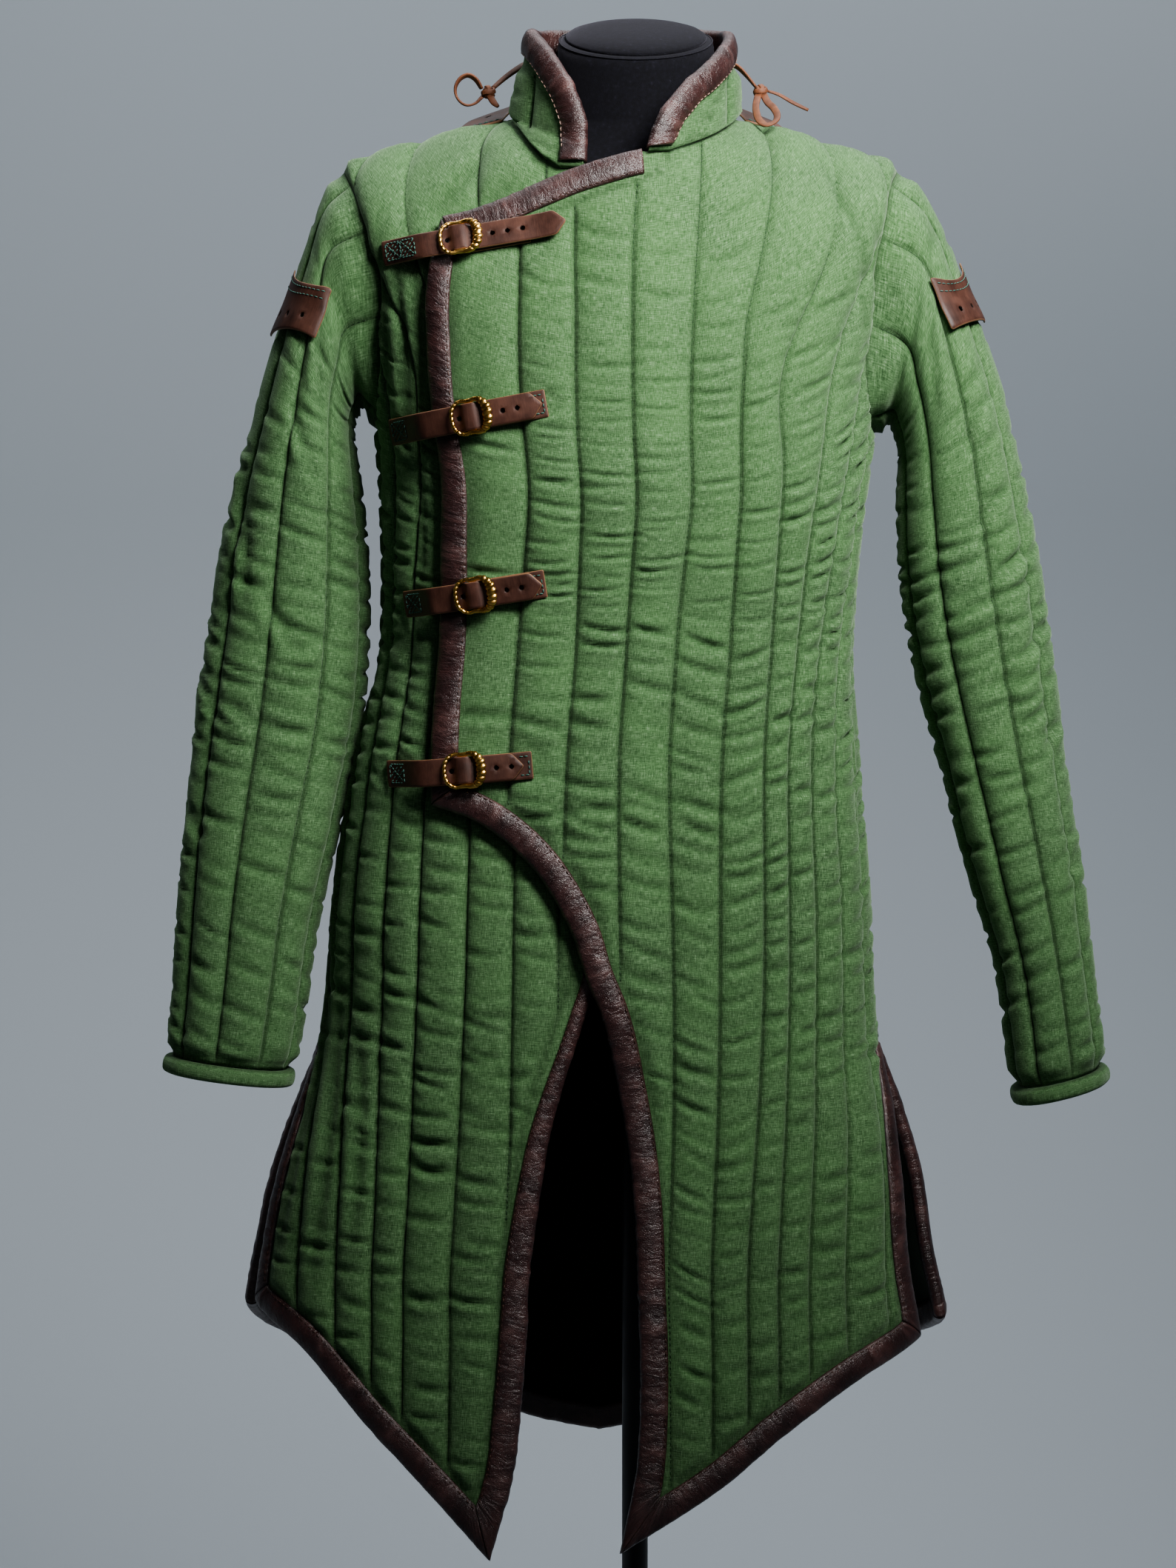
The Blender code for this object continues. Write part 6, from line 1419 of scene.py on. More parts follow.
def quilting_stitches(name, panel):
    """The quilting's own stitches, down each line of a panel."""
    kind = panel["kind"]
    outline = closed_outline(panel)
    rows = np.arange(outline[:, 1].min(), outline[:, 1].max(), 0.0016)
    places = lines_of(kind, rows)
    bound = [edge for _, is_bound, edge in coarse_edges(panel) if is_bound]
    free = [edge for _, is_bound, edge in coarse_edges(panel) if not is_bound]
    starts, ends, ways = [], [], []
    for line in places:
        points = np.stack([line, rows], axis=1)
        keep = inside(points, outline)
        for edge in bound:
            keep &= edge_distance(points, edge) > BINDING + 0.001
        for edge in free:
            keep &= edge_distance(points, edge) > 0.0025
        for run in np.split(np.flatnonzero(keep), np.flatnonzero(np.diff(np.flatnonzero(keep)) > 1) + 1):
            if len(run) < 8:
                continue
            here = points[run]
            thick, _ = padding(panel, here)
            base = place(kind, here[:, 0], here[:, 1], lift(kind, *here.T) + thick + 0.0002)
            above = place(kind, here[:, 0], here[:, 1], lift(kind, *here.T) + thick + 0.0012)
            one = seam_stitches(base, unit(above - base), 0.0030, 0.0011)
            for store, values in zip((starts, ends, ways), one):
                store.append(values)
    return stitches(name, np.vstack(starts), np.vstack(ends), np.vstack(ways), QUILT_THREAD, "linen")


# ------------------------------------------------------------------ bindings

ROLL_REACH = 0.0024     # how far the folded leather stands past the cloth's edge
RING_STEP = 0.0021
WRINKLE = 0.0052        # spacing of the leather's cross wrinkles


def binding_section():
    """The folded leather's section, as (in, share of the wall, addition), round to where it starts."""
    face = [(u, 1.0, GAP + LEATHER - 0.0010 * (u > 0.95)) for u in (1.0, 0.94, 0.78, 0.62, 0.46, 0.30, 0.14)]
    centre, reach = 0.08, 0.08 + ROLL_REACH / BINDING
    roll = []
    for a in np.radians(np.linspace(78, -78, 9)):
        roll.append((centre - reach * math.cos(a), 0.5 + 0.5 * math.sin(a), (GAP + LEATHER) * math.sin(a)))
    back = [(u, 0.0, -GAP - LEATHER) for u in (0.14, 0.46, 0.78, 1.0)]
    hidden = [(1.0, 0.0, -GAP), (0.02, 0.0, -GAP), (0.02, 1.0, GAP), (1.0, 1.0, GAP)]
    return np.array(face + roll + back + hidden)


SECTION = binding_section()
OUTSIDE = 16            # how many of the section's points show
BULGE = 0.0016          # how far the folded leather's face stands up in its middle
# where a binding turns in and looks narrower: down from the neck seam, and its share of the width
NARROWED = {"edge_binding_underlap": ((0.660, 1.0), (0.700, 0.50), (0.760, 0.58), (0.850, 0.85), (0.950, 1.0))}


def binding_piece(name, panel, edge_name, seed, trim=(0.0006, 0.0006)):
    """The leather folded over one free edge, its wrinkles, and the row of stitches that holds it."""
    kind, edges = panel["kind"], panel["edges"]
    index = [edge[0] for edge in edges].index(edge_name)
    line, within = edges[index][2].copy(), edges[index][3]
    into = within - line
    for end, cut in ((0, trim[0]), (-1, trim[1])):
        neighbour = line[1] if end == 0 else line[-2]
        line[end] += unit(neighbour - line[end]) * cut
    along = np.concatenate([[0], np.cumsum(np.linalg.norm(np.diff(line, axis=0), axis=1))])
    places = np.linspace(0, along[-1], int(along[-1] / RING_STEP) + 1)
    line, into = (np.stack([np.interp(places, along, v[:, k]) for k in (0, 1)], axis=1) for v in (line, into))
    if name in NARROWED:
        into = into * np.interp(line[:, 1], *np.array(NARROWED[name]).T)[:, None]
    size = len(SECTION)
    a = np.repeat(places, size)
    part = np.tile(np.arange(size), len(places))
    share_in, share_wall, extra = SECTION[part].T
    flat = np.repeat(line, size, axis=0) + np.repeat(into, size, axis=0) * share_in[:, None]
    drift = 0.8 * lattice(a / 0.02, share_in * 2, seed + 1)
    wrinkle = lattice(a / WRINKLE + drift, share_in * 1.1 + 7.3, seed)
    wrinkle = wrinkle * 0.65 + 0.35 * lattice(a / 0.0028, share_in * 3 + 2.1, seed + 2)
    shown = part < OUTSIDE
    depth = 0.00085 * (0.60 + 0.40 * lattice(a / 0.05, 0.0, seed + 3)) * wrinkle * shown
    free = 1.0
    for strap_line, _ in STRAP_LINES.get(kind, ()):
        free = np.minimum(free, step(edge_distance(flat, strap_line), CHAPE_WIDTH / 2 + 0.001, CHAPE_WIDTH / 2 + 0.010))
    depth = (depth * (0.25 + 0.75 * free)
             + BULGE * free * np.sin(math.pi * np.clip(share_in, 0, 1)) * (share_wall > 0.99))
    outward_way = np.where(share_wall > 0.5, 1.0, -1.0) * np.clip(np.abs(share_wall - 0.5) * 2.5, 0, 1)
    flat = flat - unit(np.repeat(into, size, axis=0)) * (depth * (1 - np.abs(outward_way)))[:, None]
    out = lift(kind, *flat.T) + share_wall * EDGE_WALL + extra + depth * outward_way
    verts = place(kind, flat[:, 0], flat[:, 1], out)
    faces = outward(verts, tube_faces(len(places), size))
    # painted highlight mark: paler on the wrinkles' crests
    ridge = np.clip(wrinkle * 1.6 - 0.25, 0, 1) * shown
    run = np.concatenate([[0], np.cumsum(np.linalg.norm(np.diff(SECTION[:, 0:1] * BINDING, axis=0), axis=1))])
    uv = np.stack([run[part], a], axis=1)
    add_piece(name, verts, faces, BINDING_LEATHER, uv=uv,
              shade=np.stack([np.zeros(len(a)), ridge], axis=1), replaces=(name,))
    held = line + into * 0.90
    level = lift(kind, *held.T) + EDGE_WALL + GAP + LEATHER + 0.0004
    base = place(kind, held[:, 0], held[:, 1], level)
    above = place(kind, held[:, 0], held[:, 1], level + 0.001)
    return seam_stitches(base[2:-2], unit(above - base)[2:-2], 0.0032, 0.0014)


# ------------------------------------------------------------------ the sleeves' cloth

SLEEVE_ROW_STEP = 0.0028
AROUND = 0.38           # a sleeve's usual distance round
# The sleeves' long folds: from (metres round, along) to (metres round, along), with depth and width
SLEEVE_FOLDS = {
    -1: (
        (0.052, 0.175, 0.060, 0.245, 0.0034, 0.0050), (0.078, 0.235, 0.104, 0.275, 0.0034, 0.0046),
        (0.098, 0.276, 0.120, 0.262, 0.0030, 0.0042), (0.014, 0.300, 0.046, 0.322, 0.0030, 0.0044),
        (0.060, 0.316, 0.086, 0.332, 0.0032, 0.0042), (0.088, 0.333, 0.122, 0.330, 0.0030, 0.0044),
        (0.098, 0.040, 0.112, 0.100, 0.0030, 0.0050), (0.080, 0.100, 0.112, 0.150, 0.0026, 0.0046),
        (0.030, 0.150, 0.048, 0.205, 0.0028, 0.0046), (0.020, 0.400, 0.052, 0.414, 0.0026, 0.0044),
    ),
    1: (
        (0.098, 0.034, 0.110, 0.095, 0.0030, 0.0050), (0.070, 0.110, 0.104, 0.142, 0.0032, 0.0048),
        (0.052, 0.160, 0.092, 0.186, 0.0032, 0.0046), (0.040, 0.206, 0.084, 0.226, 0.0034, 0.0046),
        (0.076, 0.236, 0.116, 0.242, 0.0032, 0.0044), (0.028, 0.262, 0.066, 0.284, 0.0032, 0.0046),
        (0.066, 0.296, 0.104, 0.300, 0.0032, 0.0044), (0.020, 0.330, 0.060, 0.350, 0.0030, 0.0046),
        (0.070, 0.372, 0.104, 0.378, 0.0026, 0.0044), (0.022, 0.430, 0.056, 0.444, 0.0026, 0.0044),
    ),
}


CLIMB, CLIMB_END = 24.0, 0.125       # how far lines climb towards the shoulder, in degrees, and where it ends


def climbed(turn, along):
    """Where the quilting's own turn lies on a sleeve: its lines run up towards the shoulder."""
    return turn - CLIMB * np.clip(1 - along / CLIMB_END, 0, 1)**2 * np.sin(np.radians(turn))


def sleeve_padding(sleeve, turn, along):
    """Thickness of a sleeve's quilted wall, and painted shade marks for its grooves and creases, at the quilting's
    turn.
    """
    around = np.interp(along, (0.0, 0.25, sleeve.length), (0.46, 0.38, 0.30))
    share = (turn / 360 * SLEEVE_CHANNELS) % 1
    number = np.floor(turn / 360 * SLEEVE_CHANNELS) % SLEEVE_CHANNELS
    width = around / SLEEVE_CHANNELS
    crown = np.sqrt(np.clip(1 - np.abs(2 * share - 1)**PUFF, 0, 1))
    swell = 1 + 0.16 * lattice(along / 0.045, number + 0.3, 31) + 0.08 * lattice(along / 0.016, number * 3.7, 32)
    away = np.minimum(share, 1 - share) * width
    creases = np.zeros_like(along)
    for shift in (-360, 0, 360):
        creases += crease_depth(sleeve.creases, (turn + shift) / 360 * AROUND, along)
    folds = np.zeros_like(along)
    for shift in (-360, 0, 360):
        folds += fold_depth(SLEEVE_FOLDS[sleeve.sign], (turn + shift) / 360 * AROUND, along)
    ripple = 0.00050 * lattice(along / PUCKER * 2, number * 5.1 + np.round(share), 33) * np.exp(-(away / 0.006)**2)
    slack = 0.0004 * lattice(turn / 17, along / 0.014, 34)
    ends = step(along, 0.0, 0.012) * step(along, sleeve.length, sleeve.length - 0.012)
    thick = AT_LINE + ends * ((CROWN - AT_LINE) * crown * swell + (0.3 + 0.7 * crown) * creases
                              + crown**0.5 * (ripple + slack))
    thick = np.clip(np.clip(thick, AT_LINE * 0.6, MOST) + folds * ends, AT_LINE * 0.4, MOST + 0.0020)
    outer, inner = TABS[sleeve.sign]
    share = (climbed(turn, along) - outer[0]) / (inner[0] - outer[0])
    top, bottom = (outer[k] + (inner[k] - outer[k]) * share for k in (1, 2))
    beside = np.maximum.reduce([top - along, along - bottom, 0.06 * (share - 1), -0.06 * share, np.zeros_like(along)])
    thick = np.minimum(thick, TAB_OUT - 0.0016 + beside)
    # painted shade mark on the quilting lines and at the armhole seam; the folds deepen the crease shade below
    groove_shade = np.maximum(np.exp(-(away / 0.0014)**2), np.exp(-(np.minimum(along, 0.5) / 0.002)**2))
    marks = np.stack([groove_shade, np.clip(-creases / 0.0016, 0, 1) + np.clip(-folds / 0.005, 0, 1)], axis=-1)
    return thick, np.clip(marks, 0, 1)


SLEEVE_ZONES = (
    # metres round from and to, along from and to, every, slope at each side, depth
    (-0.030, 0.400, 0.020, 0.180, 0.022, 0.10, -0.10, 0.00105),
    (-0.030, 0.400, 0.180, 0.330, 0.016, 0.35, -0.25, 0.00150),
    (-0.030, 0.400, 0.330, 0.600, 0.021, 0.30, -0.10, 0.00115),
)


def sleeve_quilt(name, sign):
    """One quilted sleeve with its stitches."""
    sleeve = Sleeve(sign)
    sleeve.creases = crease_rows(SLEEVE_ZONES, 50 + sign, lambda h: np.arange(10) / SLEEVE_CHANNELS * AROUND)
    turns = np.concatenate([(k + np.array(SHARES)) * 360 / SLEEVE_CHANNELS for k in range(SLEEVE_CHANNELS)])
    rows = np.linspace(0, sleeve.length, int(sleeve.length / SLEEVE_ROW_STEP) + 1)
    turn, along = (v.ravel() for v in np.meshgrid(turns, rows))
    thick, marks = sleeve_padding(sleeve, turn, along)
    over = sleeve.place(climbed(turn, along), along, thick)
    plain_rows = np.concatenate([rows[:1], rows[4:-4:5], rows[-1:]])[::-1]
    turn_in, along_in = (v.ravel() for v in np.meshgrid(turns, plain_rows))
    under = sleeve.place(climbed(turn_in, along_in), along_in, 0.0)
    size, count = len(turns), len(rows) + len(plain_rows)
    faces = tube_faces(count, size, closed_rings=True)
    verts = np.vstack([over, under])
    faces = outward(verts, faces)
    uv = np.vstack([np.stack([turn / 360 * AROUND, along], 1), np.stack([turn_in / 360 * AROUND, along_in], 1)])
    ob = add_piece(name, verts, faces, (LINEN, SHADED_LINING), uv=uv,
                   shade=np.vstack([marks, np.zeros((len(under), 2))]), replaces=(name,))
    index = np.zeros(len(faces), int)
    index[len(rows) * size:] = 1
    ob.data.polygons.foreach_set("material_index", index)
    seams = [[], [], []]
    for k in range(SLEEVE_CHANNELS):
        at = np.arange(0.006, sleeve.length - 0.006, 0.0016)
        turn = np.full_like(at, k * 360 / SLEEVE_CHANNELS)
        thick, _ = sleeve_padding(sleeve, turn, at)
        base = sleeve.place(climbed(turn, at), at, thick + 0.0002)
        above = sleeve.place(climbed(turn, at), at, thick + 0.0012)
        for store, values in zip(seams, seam_stitches(base, unit(above - base), 0.0030, 0.0011)):
            store.append(values)
    stitches(name + "_stitches", *(np.vstack(v) for v in seams), QUILT_THREAD, "linen")
    return sleeve


def cuff_roll(name, sleeve):
    """The rolled band at a sleeve's end."""
    turns = np.linspace(0, 360, 150, endpoint=False)
    away = unit(sleeve.centre[-1] - sleeve.centre[-2])
    rings, marks = [], []
    angles = np.radians(np.linspace(0, 360, 20, endpoint=False))
    middle_out, middle_down = 0.0036, 0.5 * (CUFF_ROLL + 0.0006)
    for turn in turns:
        soft = 1 + 0.10 * float(lattice(turn / 11.0, 2.0, 41)) + 0.06 * float(lattice(turn / 4.0, 5.0, 42))
        c, s = np.cos(angles), np.sin(angles)
        c, s = np.sign(c) * np.abs(c)**0.75, np.sign(s) * np.abs(s)**0.75
        out = middle_out + 0.0052 * soft * c
        down = middle_down + (CUFF_ROLL / 2 - 0.0004) * s
        rings.append(sleeve.place(np.full(20, turn), sleeve.length, out) + away * down[:, None])
        # painted shade: the roll darkened where it meets the sleeve
        marks.append(np.exp(-((down - 0.0010) / 0.0012)**2))
    verts = np.concatenate(rings)
    faces = tube_faces(len(turns), 20, closed_rings=True)
    faces = outward(verts, faces)
    uv = np.stack([np.repeat(turns / 360 * 0.30, 20), np.tile(angles * 0.006, len(turns))], axis=1)
    ob = add_piece(name, verts, faces, LINEN, uv=uv,
                   shade=np.stack([np.concatenate(marks), np.zeros(len(verts))], 1), replaces=(name,))


# ------------------------------------------------------------------ leather plates

def loop_inset(loop, by):
    """A closed loop of close points drawn in by a distance."""
    ahead = unit(np.roll(loop, -1, axis=0) - np.roll(loop, 1, axis=0))
    return loop + np.stack([-ahead[:, 1], ahead[:, 0]], axis=1) * by


def plate(name, outline, holes, to_space, thick, look, edge=0.0006, spacing=0.0026, replaces=()):
    """A flat piece of leather with round holes and softened edges, laid by to_space(places, out)."""
    if polygon_area(outline) < 0:
        outline = outline[::-1]
    rims = [np.array([(x + r * math.cos(a), y + r * math.sin(a)) for a in np.linspace(0, 2 * math.pi, 14)[:-1]])[::-1]
            for x, y, r in holes]
    loops = [outline] + rims
    tops = [loop_inset(loop, edge) for loop in loops]
    coords = np.concatenate(tops)
    grid = clear_of(even_grid(tops[0], spacing), tops[0], 0.0008)
    for x, y, r in holes:
        grid = grid[np.hypot(grid[:, 0] - x, grid[:, 1] - y) > r + edge + 0.0008]
    counts = np.cumsum([0] + [len(loop) for loop in loops])
    rings = [list(range(counts[0], counts[1]))] + [list(range(a, b))[::-1] for a, b in zip(counts[1:-1], counts[2:])]
    points = np.vstack([coords, grid])
    _, _, found, origin, _, _ = delaunay_2d_cdt([Vector(p) for p in points.tolist()], [], rings, 1, 1e-9)
    back = [min(group) if group else -1 for group in origin]
    faces = []
    for face in found:
        face = tuple(back[k] for k in face)
        middle = points[list(face)].mean(axis=0)
        if min(face) >= 0 and not any(np.hypot(middle[0] - x, middle[1] - y) < r for x, y, r in holes):
            faces.append(face)
    size = len(points)
    levels = [to_space(points, np.full(size, thick)), to_space(points, np.zeros(size))]
    solid = [face for face in faces] + [tuple(k + size for k in face[::-1]) for face in faces]
    verts, flat = [*levels], [points, points]
    marks = [np.zeros((size, 2)), np.zeros((size, 2))]
    start = 2 * size
    for number, loop in enumerate(loops):
        n = len(loop)
        base = counts[number]
        upper = start + np.arange(n)
        lower = upper + n
        verts += [to_space(loop, np.full(n, thick * 0.72)), to_space(loop, np.full(n, thick * 0.28))]
        flat += [loop, loop]
        # the outline's cut edge gets the pale mark, the leather's own; the holes' walls get the dark mark, painted
        # shade
        cut = np.array([0.0, 1.0] if number else [1.0, 0.0])
        marks += [np.tile(cut, (n, 1)), np.tile(cut, (n, 1))]
        for k in range(n):
            m = (k + 1) % n
            here = (base + k, upper[k], lower[k], base + k + size)
            there = (base + m, upper[m], lower[m], base + m + size)
            solid += [(here[j], here[j + 1], there[j + 1], there[j]) for j in range(3)]
        start += 2 * n
    verts = np.concatenate(verts)
    solid = outward(verts, solid)
    return add_piece(name, verts, solid, look, uv=np.concatenate(flat), shade=np.concatenate(marks),
                     replaces=replaces)


def rounded(corners, radius, spacing=0.0016):
    """A closed outline through corners, each rounded off, with close points."""
    corners = np.asarray(corners, float)
    out = []
    for k, corner in enumerate(corners):
        before, after = corners[k - 1], corners[(k + 1) % len(corners)]
        r = radius[k] if hasattr(radius, "__len__") else radius
        start, end = corner + unit(before - corner) * r, corner + unit(after - corner) * r
        out += [start * (1 - t)**2 + 2 * corner * t * (1 - t) + end * t * t for t in np.linspace(0, 1, 5)]
        next_radius = radius[(k + 1) % len(corners)] if hasattr(radius, "__len__") else radius
        reach = after + unit(corner - after) * next_radius
        count = int(np.linalg.norm(reach - end) / spacing)
        out += [end + (reach - end) * t for t in np.linspace(0, 1, count + 1)[1:-1]] if count > 1 else []
    return np.array(out)


# ------------------------------------------------------------------ straps

HOLE = 0.0016           # radius of a strap's hole
HOLE_PITCH = 0.0108
# how each strap's holes lie: first hole after the buckle, and how many before and after it
STRAP_HOLES = ((-1, 4), (-1, 3), (-1, 3), (-1, 3))
BOX = 0.0100            # length of a box of crossed stitches
BOXES = ((0.0030, 0.0135), (0.0030,), (0.0030,), (0.0030,))     # where each strap's boxes begin


def strap_look_pieces(number, row):
    """The strap, the chape under it, and the crossed stitches at their ends."""
    length = run_of(row)
    half = STRAP_WIDTH / 2
    buckle_at = row[4] * length
    tip = length * 0.999

    def strap_space(points, out):
        t = points[:, 0] / length
        crown = -0.0004 * (points[:, 1] / half)**2
        return strap_point(row, t, points[:, 1], strap_height(row, t) + 0.0002 + out + crown)

    point = tip - STRAP_WIDTH * 0.45
    outline = rounded(((0, -half), (point, -half), (tip, 0), (point, half), (0, half)),
                      (0.0016, 0.0025, 0.0020, 0.0025, 0.0016))
    first, last = STRAP_HOLES[number - 1]
    holes = [(buckle_at + 0.0019 + HOLE_PITCH * k, 0.0, HOLE) for k in range(first, last + 1)
             if k != 0 and 0.02 < buckle_at + HOLE_PITCH * k < tip - 0.010]
    plate("strap_%d" % number, outline, holes, strap_space, STRAP_THICK, STRAP_LEATHER,
          replaces=("strap_%d" % number,))
    end = row[5] * length
    begin = buckle_at - 0.0030

    def chape_space(points, out):
        return strap_point(row, points[:, 0] / length, points[:, 1], row[7] + out)

    wide = CHAPE_WIDTH / 2
    plate("chape_%d" % number, rounded(((begin, -wide), (end, -wide), (end, wide), (begin, wide)), 0.0012), [],
          chape_space, CHAPE_THICK, STRAP_LEATHER, replaces=("chape_%d" % number,))
    starts, ends, ways = [], [], []
    inset = half - 0.0030
    lines = []
    for near in BOXES[number - 1]:
        far = near + BOX
        lines += [((near, -inset), (far, -inset)), ((far, -inset), (far, inset)), ((far, inset), (near, inset)),
                  ((near, inset), (near, -inset)), ((near, -inset), (far, inset)), ((near, inset), (far, -inset)),
                  ((near, -inset * 0.4), (far - BOX * 0.3, inset)), ((near + BOX * 0.3, -inset), (far, inset * 0.4))]
    for a, b in lines:
        a, b = np.array(a), np.array(b)
        count = max(3, int(np.linalg.norm(b - a) / 0.0008))
        path = a + (b - a) * np.linspace(0, 1, count)[:, None]
        base = strap_space(path, np.full(len(path), STRAP_THICK + 0.0002))
        above = strap_space(path, np.full(len(path), STRAP_THICK + 0.0012))
        for store, values in zip((starts, ends, ways), seam_stitches(base, unit(above - base), 0.0026, 0.0008)):
            store.append(values)
    if row[5] > 1:
        lines = [((end - 0.0024, -inset), (end - 0.0024, inset)), ((end - 0.0024, inset), (end - 0.012, inset)),
                 ((end - 0.0024, -inset), (end - 0.012, -inset))]
        for a, b in lines:
            a, b = np.array(a), np.array(b)
            path = a + (b - a) * np.linspace(0, 1, 16)[:, None]
            base = chape_space(path, np.full(len(path), CHAPE_THICK + 0.0002))
            above = chape_space(path, np.full(len(path), CHAPE_THICK + 0.0012))
            for store, values in zip((starts, ends, ways), seam_stitches(base, unit(above - base), 0.0026, 0.0008)):
                store.append(values)
    stitches("strap_%d_stitches" % number, np.vstack(starts), np.vstack(ends), np.vstack(ways), TEAL_THREAD,
             "strap_leather", radius=0.00048)


# ------------------------------------------------------------------ buckles

FRAME_STEPS, FRAME_SIDES = 220, 20
TWIST_TURNS = 24        # strands of the rope pattern round a whole frame


def buckle_look_piece(number, row):
    """The cast frame: roped bars, two lobes and beads where they meet, and the bar behind."""
    t, length, level = row[4], run_of(row), STRAP_OUT
    ahead = unit(strap_point(row, t + 0.010 / length, 0.0, level) - strap_point(row, t - 0.010 / length, 0.0, level))
    up = unit(strap_point(row, t, 0.010, level) - strap_point(row, t, -0.010, level))
    out = unit(np.cross(ahead, up))
    out = -out if out[1] > 0 else out
    up = np.cross(out, ahead)
    origin = strap_point(row, t, 0.0, level) - out * level
    turn = 2 * math.pi * np.arange(FRAME_STEPS) / FRAME_STEPS
    c, s = np.cos(turn), np.sin(turn)
    pinch = 1 - 0.10 * np.exp(-(c / 0.20)**2)
    x = np.where(c > 0, 0.0138, 0.0132) * np.sign(c) * np.abs(c)**0.75
    y = 0.0122 * pinch * np.sign(s) * np.abs(s)**0.75
    thick = 0.00135 + 0.00075 * np.clip(c, 0, 1)**0.7
    bead = np.exp(-(c / 0.10)**2)
    high = STRAP_OUT + STRAP_THICK + 0.0020 + thick - 0.0016 * np.abs(s)**3
    path = origin + ahead * x[:, None] + up * y[:, None] + out * high[:, None]
    along = unit(np.roll(path, -1, axis=0) - np.roll(path, 1, axis=0))
    across = unit(np.cross(along, np.broadcast_to(out, along.shape)))
    rise = np.cross(across, along)
    run = np.concatenate([[0], np.cumsum(np.linalg.norm(np.diff(path, axis=0), axis=1))])
    b = 2 * math.pi * np.arange(FRAME_SIDES) / FRAME_SIDES
    roped = step(np.abs(c), 0.30, 0.55)
    phase = run[:, None] / run[-1] * TWIST_TURNS * 2 * math.pi + 1.0 * b[None, :]
    rope = np.abs(np.sin(phase / 2))
    radius = thick[:, None] * (1 + roped[:, None] * (0.30 * rope - 0.14)) * (1 + 0.28 * bead[:, None])
    swollen = 1 + 0.55 * np.clip(c, 0, 1)[:, None]**2
    verts = (path[:, None] + across[:, None] * (radius * swollen * np.cos(b))[..., None]
             + rise[:, None] * (radius * np.sin(b))[..., None]).reshape(-1, 3)
    faces = tube_faces(FRAME_STEPS, FRAME_SIDES, closed_rings=True)
    dark = (roped[:, None] * np.clip(1 - rope * 2.2, 0, 1)).ravel()
    bar_high = STRAP_OUT + 0.0012
    ends = np.array([origin + up * v + out * (bar_high + raised) for v, raised in
                     ((-0.0118, 0.0016), (-0.0108, 0.0004), (-0.0090, 0.0), (0.0090, 0.0), (0.0108, 0.0004),
                      (0.0118, 0.0016))])
    bar = np.concatenate([[end + 0.0014 * (math.cos(v) * ahead + math.sin(v) * out)
                           for v in np.radians(np.arange(0, 360, 30))] for end in ends])
    bar_faces = [tuple(k + len(verts) for k in face) for face in tube_faces(len(ends), 12)]
    marks = np.concatenate([np.stack([dark, dark], axis=1), np.zeros((len(bar), 2))])
    both = np.vstack([verts, bar])
    add_piece("buckle_%d" % number, both, outward(verts, faces) + outward(both, bar_faces), BRASS, shade=marks,
              replaces=("buckle_%d" % number,))


# ------------------------------------------------------------------ tabs and anchors

def tab_look_piece(name, sleeve):
    """A leather tab sewn on a sleeve by two rows of stitches, with three holes."""
    sides = np.linspace(*np.array(TABS[sleeve.sign]), 60)
    bow = 4 * np.linspace(0, 1, 60) * np.linspace(1, 0, 60)
    turns, tops, bottoms = (sides + bow[:, None] * TAB_BOW).T
    run = np.linalg.norm(np.diff(sleeve.place(turns, (tops + bottoms) / 2, TAB_OUT), axis=0), axis=1)
    run = np.concatenate([[0.0], np.cumsum(run)])
    wide, long = float(run[-1]), float(bottoms[0] - tops[0])

    def space(points, out):
        turn, top, bottom = (np.interp(points[:, 0], run, v) for v in (turns, tops, bottoms))
        low = TAB_OUT + TAB_RISE * step(points[:, 1], long * 0.35, long) + 0.0006 * np.sin(points[:, 0] / wide * 5)
        return sleeve.place(turn, top + (bottom - top) * points[:, 1] / long, low + out)

    holes = [(wide * share, long * 0.66, 0.0017) for share in (0.24, 0.50, 0.76)]
    plate(name, rounded(((0, 0), (wide, 0), (wide, long), (0, long)), 0.0022), holes, space, 0.0020, STRAP_LEATHER,
          replaces=(name,))
    starts, ends, ways = [], [], []
    for level in (0.0030, 0.0075):
        path = np.stack([np.linspace(0.002, wide - 0.002, 40), np.full(40, level)], axis=1)
        base, above = space(path, np.full(40, 0.0022)), space(path, np.full(40, 0.0032))
        for store, values in zip((starts, ends, ways), seam_stitches(base, unit(above - base), 0.0030, 0.0012)):
            store.append(values)
    stitches(name + "_stitches", np.vstack(starts), np.vstack(ends), np.vstack(ways), TEAL_THREAD, "strap_leather")


def anchor_look_piece(name, sign):
    """The leather patch on a shoulder that the laces tie through."""
    deep, long = ANCHOR_BACK[1] - ANCHOR_BACK[0], ANCHOR_DOWN[1] - ANCHOR_DOWN[0]

    def space(points, out):
        back, h = ANCHOR_BACK[0] + points[:, 0], ANCHOR_DOWN[0] + points[:, 1]
        rise = PAD - 0.0040 + 0.012 * (back / ANCHOR_BACK[1])**1.5
        return on_coat(sign * (side(h) + back), h, rise + out)

    plate(name, rounded(((0, 0), (deep, 0), (deep, long), (0, long)), 0.0030), [(deep * 0.7, long * 0.5, 0.0020)],
          space, 0.0020, STRAP_LEATHER, replaces=(name,))
    path = np.stack([np.full(30, 0.0030), np.linspace(0.002, long - 0.002, 30)], axis=1)
    base, above = space(path, np.full(30, 0.0022)), space(path, np.full(30, 0.0032))
    stitches(name + "_stitches", *seam_stitches(base, unit(above - base), 0.0030, 0.0012), TEAL_THREAD,
             "strap_leather")


# ------------------------------------------------------------------ laces

LACE_WIDTH, LACE_THICK = 0.0054, 0.0019


